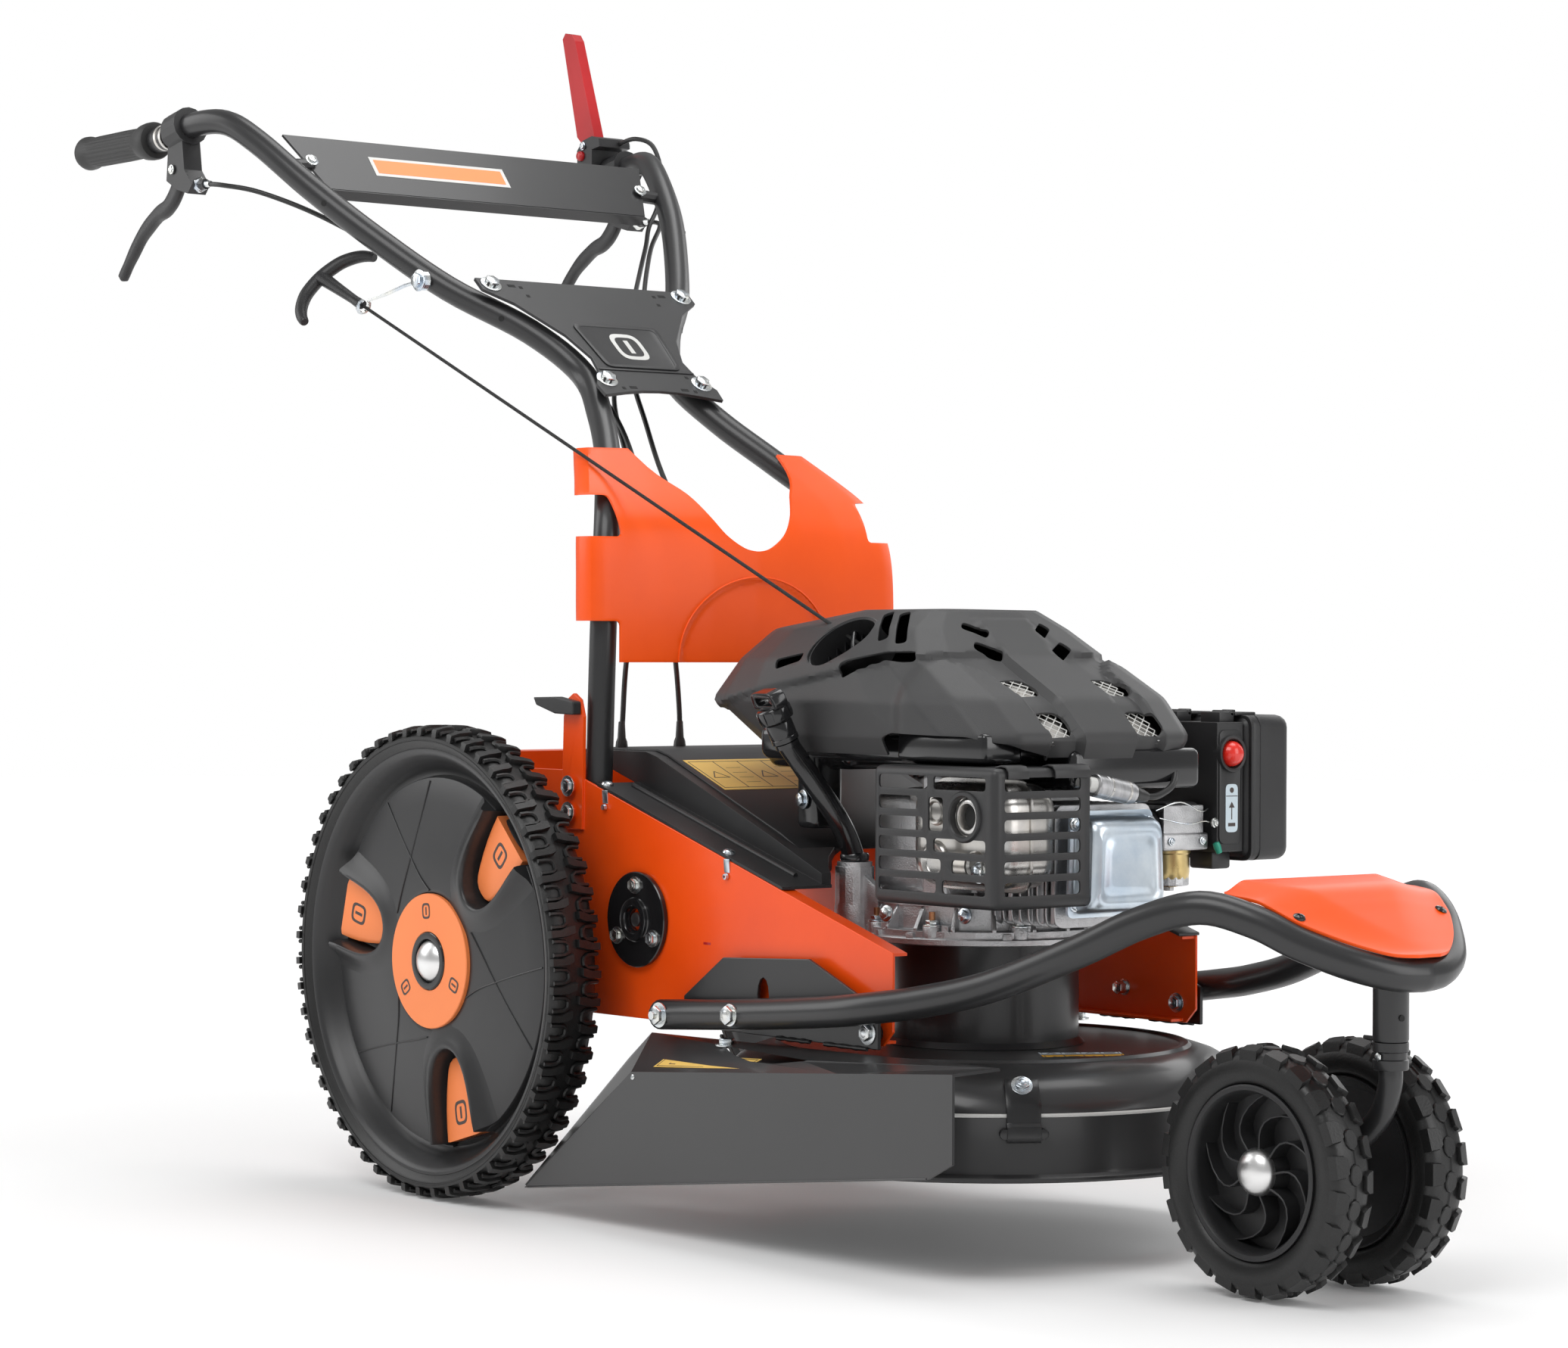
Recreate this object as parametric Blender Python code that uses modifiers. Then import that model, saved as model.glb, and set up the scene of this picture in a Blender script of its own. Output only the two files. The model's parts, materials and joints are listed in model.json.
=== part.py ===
"""Walk-behind brush mower with a twin caster front wheel, built from named sub-parts.

Units are metres, +Z is up, +X is the way the mower drives and +Y is its left side.
The numbers below are measured from the rear axle. The root empty then moves the whole
mower back by half of its length, so that the world origin is the middle of its footprint.
"""
import math

import bmesh
import bpy
from mathutils import Matrix, Vector

# ---------------------------------------------------------------- driving dimensions
GAP = 0.0003                    # clearance between pieces that touch
BAR_R = 0.0145                  # handlebar tube radius
LOOP_R = 0.0155                 # bumper tube radius
CABLE_R = 0.003
ROPE_R = 0.002

WHEEL_R = 0.255                 # rear wheel
WHEEL_OUT = 0.316
WHEEL_W = 0.062
RIM_R = 0.226
AXLE_R = 0.010
LUGS = 24

CASTER_X = 1.119                # swivel axis of the front wheels
TRAIL = 0.096
FRONT_R = 0.117
FRONT_RIM_R = 0.082
FRONT_OUT = 0.0875
FRONT_W = 0.050
FRONT_LUGS = 14
FRONT_AXLE_R = 0.008

PLATE_Y = 0.2045                # outer face of a chassis side plate
PLATE_T = 0.003
PLATE_TOP_REAR = (0.118, 0.463)
PLATE_TOP_FRONT = (0.661, 0.300)
SHAFT_X, SHAFT_Z = 0.250, 0.310

ENGINE_X = 0.560                # crankshaft and deck centre
DECK_R = 0.268
DECK_TOP = 0.196
DRUM_R = 0.097
DRUM_TOP = 0.2995
SKIRT_Y = 0.285
BRACKET_Y = 0.2182              # outer face of a deck bracket

GRIP_Y = 0.320
GRIP_Z = 1.192
GRIP_END = -0.732
GRIP_FRONT = -0.562

# Centre line of one handlebar tube, from the chassis up to the grip (x, |y|, z).
BAR_ROUTE = (
    (0.150, 0.186, 0.430), (0.150, 0.181, 0.600), (0.146, 0.174, 0.700), (0.125, 0.157, 0.750),
    (0.071, 0.118, 0.800), (0.008, 0.083, 0.850), (-0.051, 0.064, 0.900), (-0.108, 0.097, 0.950),
    (-0.178, 0.162, 1.000), (-0.250, 0.215, 1.060), (-0.319, 0.258, 1.120), (-0.385, 0.287, 1.175),
    (-0.430, 0.303, 1.201), (-0.480, 0.316, 1.203), (-0.530, GRIP_Y, 1.194), (-0.560, GRIP_Y, GRIP_Z),
    (-0.650, GRIP_Y, GRIP_Z), (-0.726, GRIP_Y, GRIP_Z))

# Centre line of half of the bumper loop, from its rear end to the nose (x, |y|, z).
LOOP_ROUTE = (
    (0.335, 0.240, 0.219), (0.470, 0.240, 0.229), (0.600, 0.240, 0.241), (0.660, 0.236, 0.2485),
    (0.720, 0.223, 0.258), (0.800, 0.205, 0.277), (0.900, 0.185, 0.315), (0.965, 0.166, 0.345),
    (1.020, 0.145, 0.361), (1.065, 0.121, 0.350), (1.098, 0.097, 0.331), (1.130, 0.065, 0.314),
    (1.149, 0.030, 0.304), (1.155, 0.000, 0.302))
NOSE_X = LOOP_ROUTE[-1][0]
MID_X = (GRIP_END + NOSE_X + LOOP_R) / 2

ROPE_LOW = Vector((0.459, -0.105, 0.611))
ROPE_HIGH = Vector((-0.261, -0.222, 0.982))
PULL = (ROPE_HIGH - ROPE_LOW).normalized()
CROSSBAR = Vector((0.25, 0.69, 0.68))

LEVER_PIVOT = (-0.508, 1.152)
LEVER_ROUTE = ((0.0, 0.0), (-0.010, -0.022), (-0.030, -0.040), (-0.057, -0.049), (-0.091, -0.069),
               (-0.119, -0.095), (-0.142, -0.119))
DEADMAN_PIVOT = (-0.540, 1.2315)
DEADMAN_Y = 0.303
STOP_SEAT = (-0.547, 0.286, 1.2205)             # middle of the face that the stop button sits in
FLIP_PIVOT = (0.135, 0.529)
TILT_AXIS = (0.131, 0.0, 0.418)                 # the handlebars tilt about the lower lug bolts

COLOURS = {
    "orange": ((0.90, 0.16, 0.02), 0.35, 0.0),
    "charcoal": ((0.035, 0.037, 0.040), 0.40, 0.4),
    "black": ((0.012, 0.012, 0.013), 0.55, 0.0),
    "rubber": ((0.018, 0.018, 0.018), 0.80, 0.0),
    "red": ((0.55, 0.015, 0.015), 0.35, 0.0),
    "aluminium": ((0.55, 0.56, 0.57), 0.35, 0.9),
    "zinc": ((0.62, 0.66, 0.70), 0.30, 0.9),
    "steel": ((0.45, 0.46, 0.47), 0.30, 1.0),
    "brass": ((0.60, 0.45, 0.16), 0.35, 0.8),
}


# ---------------------------------------------------------------- scene helpers
def clear_scene():
    for obj in list(bpy.data.objects):
        bpy.data.objects.remove(obj, do_unlink=True)


def collection(name):
    made = bpy.data.collections.new(name)
    bpy.context.scene.collection.children.link(made)
    return made


clear_scene()
PARTS = collection("brush_mower")
ROOT = bpy.data.objects.new("mower_root", None)
ROOT.location = (-MID_X, 0.0, 0.0)
PARTS.objects.link(ROOT)


def material(name):
    found = bpy.data.materials.get(name)
    if found:
        return found
    colour, roughness, metallic = COLOURS[name.split(".")[0]]
    made = bpy.data.materials.new(name)
    made.use_nodes = True
    shader = made.node_tree.nodes["Principled BSDF"]
    shader.inputs["Base Color"].default_value = (*colour, 1.0)
    shader.inputs["Roughness"].default_value = roughness
    shader.inputs["Metallic"].default_value = metallic
    return made


def shape(bm):
    """Turns a bmesh into a working object."""
    mesh = bpy.data.meshes.new("shape")
    bmesh.ops.recalc_face_normals(bm, faces=bm.faces)
    bm.to_mesh(mesh)
    bm.free()
    obj = bpy.data.objects.new("shape", mesh)
    PARTS.objects.link(obj)
    return obj


def bake(obj):
    """Replaces an object by the welded mesh that its bevel or modifiers make."""
    bpy.context.view_layer.update()
    graph = bpy.context.evaluated_depsgraph_get()
    mesh = bpy.data.meshes.new_from_object(obj.evaluated_get(graph))
    bm = bmesh.new()
    bm.from_mesh(mesh)
    bmesh.ops.remove_doubles(bm, verts=bm.verts, dist=0.00001)
    made = shape(bm)
    made.matrix_world = obj.matrix_world
    bpy.data.objects.remove(obj, do_unlink=True)
    return made


def combine(base, others, operation):
    for other in others:
        modifier = base.modifiers.new(operation, "BOOLEAN")
        modifier.operation = operation
        modifier.solver = "EXACT"
        modifier.object = other
    made = bake(base)
    for other in others:
        bpy.data.objects.remove(other, do_unlink=True)
    return made


def fuse(base, *others):
    return combine(base, others, "UNION")


def cut(base, *others):
    return combine(base, others, "DIFFERENCE")


def finish(obj, name, colour, pivot=(0.0, 0.0, 0.0), parent=None):
    """Names a finished sub-part, gives it its material and puts its origin on its pivot."""
    obj.data.transform(obj.matrix_world)
    obj.matrix_world = Matrix.Identity(4)
    origin = Vector(pivot)
    obj.data.transform(Matrix.Translation(-origin))
    obj.name = name
    obj.data.name = name
    obj.data.materials.clear()
    obj.data.materials.append(material(f"{colour}.{name}"))
    holder = parent or ROOT
    obj.parent = holder
    obj.location = origin - (Vector(parent["pivot"]) if parent else Vector())
    return obj


def joint_empty(name, pivot):
    empty = bpy.data.objects.new(name, None)
    PARTS.objects.link(empty)
    empty.parent = ROOT
    empty.location = pivot
    empty["pivot"] = tuple(pivot)
    return empty


HANDLE = joint_empty("handlebar_tilt_axis", TILT_AXIS)


# ---------------------------------------------------------------- solid helpers
def box(low, high):
    bm = bmesh.new()
    low, high = Vector(low), Vector(high)
    size = high - low
    spot = Matrix.Translation((low + high) / 2) @ Matrix.Diagonal((*size, 1.0))
    bmesh.ops.create_cube(bm, size=1.0, matrix=spot)
    return shape(bm)


def rod(start, end, radius, sides=16, end_radius=None):
    bm = bmesh.new()
    start, end = Vector(start), Vector(end)
    along = end - start
    spot = Matrix.Translation((start + end) / 2) @ along.to_track_quat("Z", "Y").to_matrix().to_4x4()
    tip = radius if end_radius is None else end_radius
    bmesh.ops.create_cone(bm, cap_ends=True, segments=sides, radius1=radius, radius2=tip,
                          depth=along.length, matrix=spot)
    return shape(bm)


def ball(centre, radius, sides=16, squash=(1.0, 1.0, 1.0)):
    bm = bmesh.new()
    spot = Matrix.Translation(centre) @ Matrix.Diagonal((*squash, 1.0))
    bmesh.ops.create_uvsphere(bm, u_segments=sides, v_segments=sides // 2, radius=radius, matrix=spot)
    return shape(bm)


def prism(outline, axis, start, end):
    """Extrudes a flat outline along X, Y or Z. The outline holds the other two coordinates."""
    bm = bmesh.new()
    spots = {"X": lambda a, b: (start, a, b), "Y": lambda a, b: (a, start, b),
             "Z": lambda a, b: (a, b, start)}
    direction = {"X": (1, 0, 0), "Y": (0, 1, 0), "Z": (0, 0, 1)}[axis]
    face = bm.faces.new([bm.verts.new(spots[axis](a, b)) for a, b in outline])
    moved = bmesh.ops.extrude_face_region(bm, geom=[face])["geom"]
    verts = [item for item in moved if isinstance(item, bmesh.types.BMVert)]
    bmesh.ops.translate(bm, verts=verts, vec=Vector(direction) * (end - start))
    return shape(bm)


def smooth_route(points, steps):
    """Reads a smooth curve through the route's own points."""
    spots = [Vector(point) for point in points]
    last = len(spots) - 1
    route = []
    for index in range(last):
        a, b = spots[max(index - 1, 0)], spots[index]
        c, d = spots[index + 1], spots[min(index + 2, last)]
        for step in range(steps):
            t = step / steps
            route.append(0.5 * (2 * b + (c - a) * t + (2 * a - 5 * b + 4 * c - d) * t * t
                                + (3 * b - a - 3 * c + d) * t * t * t))
    route.append(spots[last])
    return route


def tube(route, radius, resolution=3):
    curve = bpy.data.curves.new("tube", "CURVE")
    curve.dimensions = "3D"
    spline = curve.splines.new("POLY")
    spline.points.add(len(route) - 1)
    for point, spot in zip(spline.points, route):
        point.co = (*spot, 1.0)
    curve.bevel_depth = radius
    curve.bevel_resolution = resolution
    curve.use_fill_caps = True
    obj = bpy.data.objects.new("tube", curve)
    PARTS.objects.link(obj)
    return bake(obj)


def turned(profile, centre, axis, steps):
    """Turns a (radius, height) profile about an axis. The profile runs down its outer side."""
    mesh = bpy.data.meshes.new("profile")
    closed = profile[0][0] > 0.0
    count = len(profile)
    edges = [(i, i + 1) for i in range(count - 1)] + ([(count - 1, 0)] if closed else [])
    mesh.from_pydata([(radius, 0.0, height) for radius, height in profile], edges, [])
    obj = bpy.data.objects.new("turned", mesh)
    PARTS.objects.link(obj)
    screw = obj.modifiers.new("screw", "SCREW")
    screw.steps = steps
    screw.render_steps = steps
    screw.use_merge_vertices = True
    screw.merge_threshold = 0.00001
    quarter = math.pi / 2
    turn = {"Z": (0, 0, 0), "Y": (-quarter, 0, 0), "-Y": (quarter, 0, 0), "X": (0, quarter, 0),
            "-X": (0, -quarter, 0)}[axis]
    obj.rotation_euler = turn
    obj.location = centre
    return bake(obj)


def hex_bolt(centre, direction, radius=0.0075, height=0.005):
    """A hexagon head that sinks slightly into what it is screwed to."""
    along = Vector(direction).normalized()
    start = Vector(centre) - along * 0.001
    return rod(start, start + along * (height + 0.001), radius, sides=6)


# ---------------------------------------------------------------- wheels
def lug_tyre(outer, inner, width, lugs, tread):
    """Tyre ring about its own Z axis. Four rows of angles a lug give the blocks steep flanks."""
    half = width / 2
    base = outer - tread
    profile = [(base, half * 0.55), (base, -half * 0.55), (base - tread, -half * 0.95),
               (inner, -half), (inner, half), (base - tread, half * 0.95)]
    steps = lugs * 4
    ring = turned(profile, (0, 0, 0), "Z", steps)
    pitch = 2 * math.pi / lugs
    shares = (0.0, 0.10, 0.50, 0.60)
    for vert in ring.data.vertices:
        spot = vert.co
        radius = math.hypot(spot.x, spot.y)
        index = round(math.atan2(spot.y, spot.x) / (2 * math.pi) * steps) % steps
        angle = pitch * (index // 4 + shares[index % 4])
        raised = index % 4 in (1, 2) and radius > base - tread / 2
        flare = 1.5 if raised else 1.0
        radius = outer if raised else radius
        vert.co = (radius * math.cos(angle), radius * math.sin(angle), spot.z * flare)
    return ring


def rear_wheel(side, tag):
    centre = (0.0, side * (WHEEL_OUT - WHEEL_W / 2), WHEEL_R)
    hub = joint_empty(f"rear_wheel_{tag}_axis", centre)
    turn = Matrix.Translation(centre) @ Matrix.Rotation(-side * math.pi / 2, 4, "X")
    tyre = lug_tyre(WHEEL_R, RIM_R + 2 * GAP, WHEEL_W, LUGS, 0.009)
    tyre.matrix_world = turn
    finish(tyre, f"rear_tyre_{tag}", "rubber", centre, hub)

    axis = "Y" if side > 0 else "-Y"
    half = WHEEL_W / 2
    bore = AXLE_R + GAP
    rim_profile = [(RIM_R, half - 0.002), (RIM_R, -half + 0.004), (RIM_R - 0.006, -half + 0.004),
                   (RIM_R - 0.020, -0.002), (0.120, 0.001), (0.034, -0.018), (0.030, -half),
                   (bore, -half), (bore, 0.012), (0.044, 0.012), (0.046, 0.006), (0.110, 0.006),
                   (0.200, 0.004), (RIM_R - 0.018, 0.010), (RIM_R - 0.012, half - 0.002)]
    rim = turned(rim_profile, centre, axis, 22)
    finish(rim, f"rear_rim_{tag}", "black", centre, hub)

    ring_profile = [(0.0405, 0.0185), (0.0750, 0.0165), (0.0750, 0.0063), (0.0465, 0.0063),
                    (0.0445, 0.0123), (0.0160, 0.0123), (0.0160, 0.0185)]
    ring = turned(ring_profile, centre, axis, 22)
    cap_profile = [(0.0, 0.0275), (0.010, 0.0260), (0.018, 0.0225), (0.0225, 0.0150), (0.0, 0.0150)]
    cap = turned(cap_profile, centre, axis, 12)
    finish(fuse(ring, cap), f"rear_hub_ring_{tag}", "orange", centre, hub)


def front_wheel(side, tag, caster):
    centre = (CASTER_X - TRAIL, side * (FRONT_OUT - FRONT_W / 2), FRONT_R)
    axis = "Y" if side > 0 else "-Y"
    half = FRONT_W / 2
    tyre = lug_tyre(FRONT_R, FRONT_RIM_R + 2 * GAP, FRONT_W, FRONT_LUGS, 0.006)
    tyre.matrix_world = (Matrix.Translation(centre)
                         @ Matrix.Rotation(-side * math.pi / 2, 4, "X"))
    finish(tyre, f"front_tyre_{tag}", "rubber", centre, caster)

    bore = FRONT_AXLE_R + GAP
    rim_profile = [(FRONT_RIM_R, half - 0.001), (FRONT_RIM_R, -half + 0.001),
                   (FRONT_RIM_R - 0.004, -half + 0.001), (FRONT_RIM_R - 0.008, -0.004),
                   (0.018, -0.004), (0.016, -half), (bore, -half), (bore, half - 0.003),
                   (0.017, half - 0.003), (0.020, 0.004), (FRONT_RIM_R - 0.010, 0.003),
                   (FRONT_RIM_R - 0.005, half - 0.001)]
    rim = turned(rim_profile, centre, axis, 16)
    finish(rim, f"front_rim_{tag}", "black", centre, caster)


def caster():
    pivot = (CASTER_X, 0.0, 0.230)
    axis = joint_empty("caster_axis", pivot)
    axle_x = CASTER_X - TRAIL
    stem = rod((CASTER_X, 0, 0.205), (CASTER_X, 0, 0.296), 0.010)
    collar = rod((CASTER_X, 0, 0.214), (CASTER_X, 0, 0.2397), 0.0165)
    neck = tube(smooth_route([(CASTER_X, 0, 0.222), (CASTER_X - 0.001, 0, 0.198),
                              (CASTER_X - 0.012, 0, 0.172), (CASTER_X - 0.040, 0, 0.146),
                              (axle_x + 0.020, 0, 0.128), (axle_x - 0.004, 0, FRONT_R)], 3), 0.0112)
    sleeve = rod((axle_x, -0.036, FRONT_R), (axle_x, 0.036, FRONT_R), 0.015)
    axle = rod((axle_x, -0.0845, FRONT_R), (axle_x, 0.0845, FRONT_R), FRONT_AXLE_R)
    finish(fuse(stem, collar, neck, sleeve, axle), "caster_fork", "charcoal", pivot, axis)
    front_wheel(-1, "right", axis)
    front_wheel(1, "left", axis)


# ---------------------------------------------------------------- chassis
def plate_top(x):
    """Height of the sloping top edge of a side plate."""
    (rear_x, rear_z), (front_x, front_z) = PLATE_TOP_REAR, PLATE_TOP_FRONT
    return rear_z + (x - rear_x) * (front_z - rear_z) / (front_x - rear_x)


def handle_lug(side):
    """Upright lug, welded outside the side plate, that the handlebar leg is bolted to."""
    outer = side * (PLATE_Y + 0.0035)
    outline = [(0.112, 0.400), (0.150, 0.400), (0.152, 0.520), (0.146, 0.538), (0.134, 0.545),
               (0.122, 0.538), (0.116, 0.520)]
    lug = prism(outline, "Y", side * (PLATE_Y - 0.001), outer)
    return [lug] + [hex_bolt((0.131, outer, z), (0, side, 0)) for z in (0.418, 0.446)]


def side_plate(side, tag):
    inner, outer = side * (PLATE_Y - PLATE_T), side * PLATE_Y
    front_x, front_z = PLATE_TOP_FRONT
    outline = [(-0.060, 0.225), (-0.060, 0.400), (-0.010, 0.463), PLATE_TOP_REAR, (front_x, front_z),
               (front_x, 0.224), (front_x - 0.015, 0.209), (-0.045, 0.205)]
    plate = prism(outline, "Y", inner, outer)
    lip_in = side * (PLATE_Y - 0.020)
    lip_out = side * (PLATE_Y - 0.001)
    lip_end = front_x - 0.002
    top_lip = prism([(0.185, plate_top(0.185) - 0.0040), (0.185, plate_top(0.185) - 0.0010),
                     (lip_end, plate_top(lip_end) - 0.0010), (lip_end, plate_top(lip_end) - 0.0040)],
                    "Y", lip_in, lip_out)
    low_lip = prism([(0.330, 0.2105), (0.330, 0.2135), (lip_end - 0.016, 0.2135),
                     (lip_end - 0.016, 0.2105)], "Y", lip_in, lip_out)
    axle_hole = rod((0, side * 0.15, WHEEL_R), (0, side * 0.25, WHEEL_R), AXLE_R + 0.002)
    body = cut(fuse(plate, top_lip, low_lip, *handle_lug(side)), axle_hole)
    finish(body, f"side_plate_{tag}", "orange")


def crossmember():
    reach = PLATE_Y - PLATE_T - GAP
    outline = [(0.003, 0.330), (0.006, 0.330), (0.006, 0.480), (-0.045, 0.480), (-0.045, 0.465),
               (-0.042, 0.465), (-0.042, 0.477), (0.003, 0.477)]
    finish(prism(outline, "Y", -reach, reach), "crossmember", "orange")


def adjust_lever():
    """Cam lever that locks the handlebar height, on the right bracket."""
    x, z = FLIP_PIVOT
    near, far = -(PLATE_Y + 0.0035 + GAP), -(PLATE_Y + 0.0150)
    outline = [(x + 0.014, z - 0.007), (x + 0.014, z + 0.007), (x - 0.020, z + 0.012),
               (x - 0.060, z + 0.011), (x - 0.055, z + 0.003), (x - 0.020, z - 0.006)]
    finish(prism(outline, "Y", near, far), "adjust_lever", "black", (x, near, z))


def chassis_cover():
    rise = 0.0005
    sheet = 0.003
    skin = PLATE_Y - 0.0005
    rear, front = 0.172, 0.488
    flange = prism([(rear, plate_top(rear) + rise), (front, plate_top(front) + rise),
                    (front, plate_top(front) + rise + sheet), (rear, plate_top(rear) + rise + sheet)],
                   "Y", -skin, skin)
    hump = prism([(0.060, 0.4685), (0.120, 0.4640), (rear, plate_top(rear) + 0.0010),
                  (front - 0.004, plate_top(front) + 0.0010), (front - 0.004, 0.367), (0.400, 0.402),
                  (0.205, 0.478), (0.185, 0.4830), (0.060, 0.4830)], "Y", -0.150, 0.150)
    hollow = prism([(0.075, 0.440), (0.120, 0.440), (front - 0.050, 0.330), (front - 0.050, 0.3755),
                    (0.398, 0.398), (0.204, 0.4740), (0.184, 0.4790), (0.075, 0.4790)],
                   "Y", -0.146, 0.146)
    engine_room = rod((ENGINE_X, 0, 0.2), (ENGINE_X, 0, 0.6), 0.158, 32)
    body = cut(fuse(flange, hump), hollow, engine_room)
    finish(body, "chassis_cover", "black")


def drive_unit():
    """Gearbox on the rear axle, with the axle fused to it."""
    housing = box((-0.045, -0.055, 0.200), (0.080, 0.055, 0.325))
    nose = rod((0.075, 0.0, 0.262), (0.120, 0.0, 0.262), 0.045, 16)
    reach = PLATE_Y - PLATE_T - GAP
    sleeve = rod((0, -reach, WHEEL_R), (0, reach, WHEEL_R), 0.024)
    axle = rod((0, -WHEEL_OUT + 0.0195, WHEEL_R), (0, WHEEL_OUT - 0.0195, WHEEL_R), AXLE_R, 12)
    finish(fuse(housing, nose, sleeve, axle), "drive_unit", "aluminium")


def bearing_flange(side, tag):
    start = PLATE_Y + GAP
    disc = rod((SHAFT_X, side * start, SHAFT_Z), (SHAFT_X, side * (start + 0.006), SHAFT_Z), 0.050, 20)
    boss = rod((SHAFT_X, side * start, SHAFT_Z), (SHAFT_X, side * (start + 0.010), SHAFT_Z), 0.022)
    bolts = []
    for angle in (90, 210, 330):
        spot = (SHAFT_X + 0.036 * math.cos(math.radians(angle)), side * (start + 0.006),
                SHAFT_Z + 0.036 * math.sin(math.radians(angle)))
        bolts.append(hex_bolt(spot, (0, side, 0)))
    socket = rod((SHAFT_X, side * (start + 0.004), SHAFT_Z), (SHAFT_X, side * (start + 0.02), SHAFT_Z),
                 0.012, 16)
    body = cut(fuse(disc, boss, *bolts), socket)
    finish(body, f"bearing_flange_{tag}", "black")


# ---------------------------------------------------------------- cutting deck
def deck():
    profile = [(0.034, DECK_TOP), (0.190, DECK_TOP), (0.232, 0.189), (0.256, 0.172),
               (DECK_R - 0.002, 0.155), (DECK_R, 0.150), (DECK_R, 0.094), (DECK_R + 0.006, 0.092),
               (DECK_R + 0.006, 0.087), (DECK_R - 0.003, 0.087), (DECK_R - 0.003, 0.150),
               (0.253, 0.169), (0.230, 0.186), (0.189, DECK_TOP - 0.003), (0.034, DECK_TOP - 0.003)]
    finish(turned(profile, (ENGINE_X, 0, 0), "Z", 32), "deck", "charcoal")


def neck_drum():
    low = DECK_TOP + GAP
    profile = [(DRUM_R, DRUM_TOP), (DRUM_R, low), (DRUM_R - 0.006, low), (DRUM_R - 0.006, DRUM_TOP)]
    finish(turned(profile, (ENGINE_X, 0, 0), "Z", 24), "neck_drum", "black")


def skirt():
    """Side deflector on the right: an upright panel and the folded sheet that joins it to the deck."""
    outline = [(0.156, 0.026), (0.808, 0.104), (0.842, 0.121), (0.842, 0.2040), (0.345, 0.1640)]
    panel = prism(outline, "Y", -SKIRT_Y, -SKIRT_Y + 0.003)
    outer_edge = ((0.158, 0.0285), (0.345, 0.1625), (0.840, 0.2025))
    inner_edge = ((0.262, 0.1670), (0.301, 0.1960), (0.840, 0.2045))
    bm = bmesh.new()
    rows = [[bm.verts.new((x, y, z)) for x, z in edge]
            for y, edge in ((-SKIRT_Y + 0.0010, outer_edge), (-0.225, inner_edge))]
    for k in range(2):
        bm.faces.new((rows[0][k], rows[0][k + 1], rows[1][k + 1], rows[1][k]))
    sheet = shape(bm)
    wall = sheet.modifiers.new("wall", "SOLIDIFY")
    wall.thickness = 0.003
    wall.offset = 0.0
    ledge = bake(sheet)
    shoulder = rod((ENGINE_X, 0, 0.05), (ENGINE_X, 0, DECK_TOP + GAP), DECK_R + 0.0025, 40)
    finish(cut(fuse(panel, ledge), shoulder), "skirt", "charcoal")


def deck_bracket(side, tag):
    inner, outer = side * (BRACKET_Y - 0.004), side * BRACKET_Y
    outline = [(0.398, 0.2070), (0.655, 0.2070), (0.655, 0.246), (0.548, 0.288), (0.410, 0.281),
               (0.345, 0.238), (0.345, 0.222)]
    plate = prism(outline, "Y", inner, outer)
    slot = prism([(0.476 + 0.009 * math.cos(a), 0.247 + 0.018 * math.sin(a))
                  for a in [k * math.pi / 6 for k in range(12)]], "Y", side * 0.20, side * 0.25)
    bolts = [rod((x, side * (PLATE_Y + GAP), z), (x, side * (BRACKET_Y - 0.001), z), 0.008, 12)
             for x, z in ((0.420, 0.262), (0.560, 0.262), (0.640, 0.222))]
    finish(fuse(cut(plate, slot), *bolts), f"deck_bracket_{tag}", "charcoal")


# ---------------------------------------------------------------- bumper
def bumper():
    half = smooth_route(LOOP_ROUTE, 2)
    whole = [Vector((p.x, -p.y, p.z)) for p in half] + [p for p in reversed(half[:-1])]
    loop = tube(whole, LOOP_R, 2)
    gusset = prism([(CASTER_X - 0.024, 0.3200), (CASTER_X + 0.021, 0.3040), (CASTER_X + 0.021, 0.3090),
                    (CASTER_X - 0.024, 0.3250)], "Y", -0.070, 0.070)
    post = rod((CASTER_X, 0, 0.240), (CASTER_X, 0, 0.314), 0.0160)
    bolts = []
    for side in (-1, 1):
        for x, z in ((0.352, 0.2205), (0.470, 0.229)):
            bolts.append(hex_bolt((x, side * (0.240 + LOOP_R), z), (0, side, 0), 0.0095, 0.007))
    body = fuse(loop, gusset, post, *bolts)
    bore = rod((CASTER_X, 0, 0.20), (CASTER_X, 0, 0.300), 0.010 + GAP)
    finish(cut(body, bore), "bumper", "charcoal")


# Rows of the nose cover from its rear edge to its tip: x, half width, height of the underside.
COVER_ROWS = ((1.018, 0.110, 0.3795), (1.028, 0.119, 0.3780), (1.040, 0.122, 0.3760),
              (1.065, 0.118, 0.3690), (1.085, 0.108, 0.3590), (1.100, 0.099, 0.3500),
              (1.120, 0.081, 0.3390), (1.138, 0.061, 0.3295), (1.155, 0.037, 0.3210),
              (1.166, 0.014, 0.3190))


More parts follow.
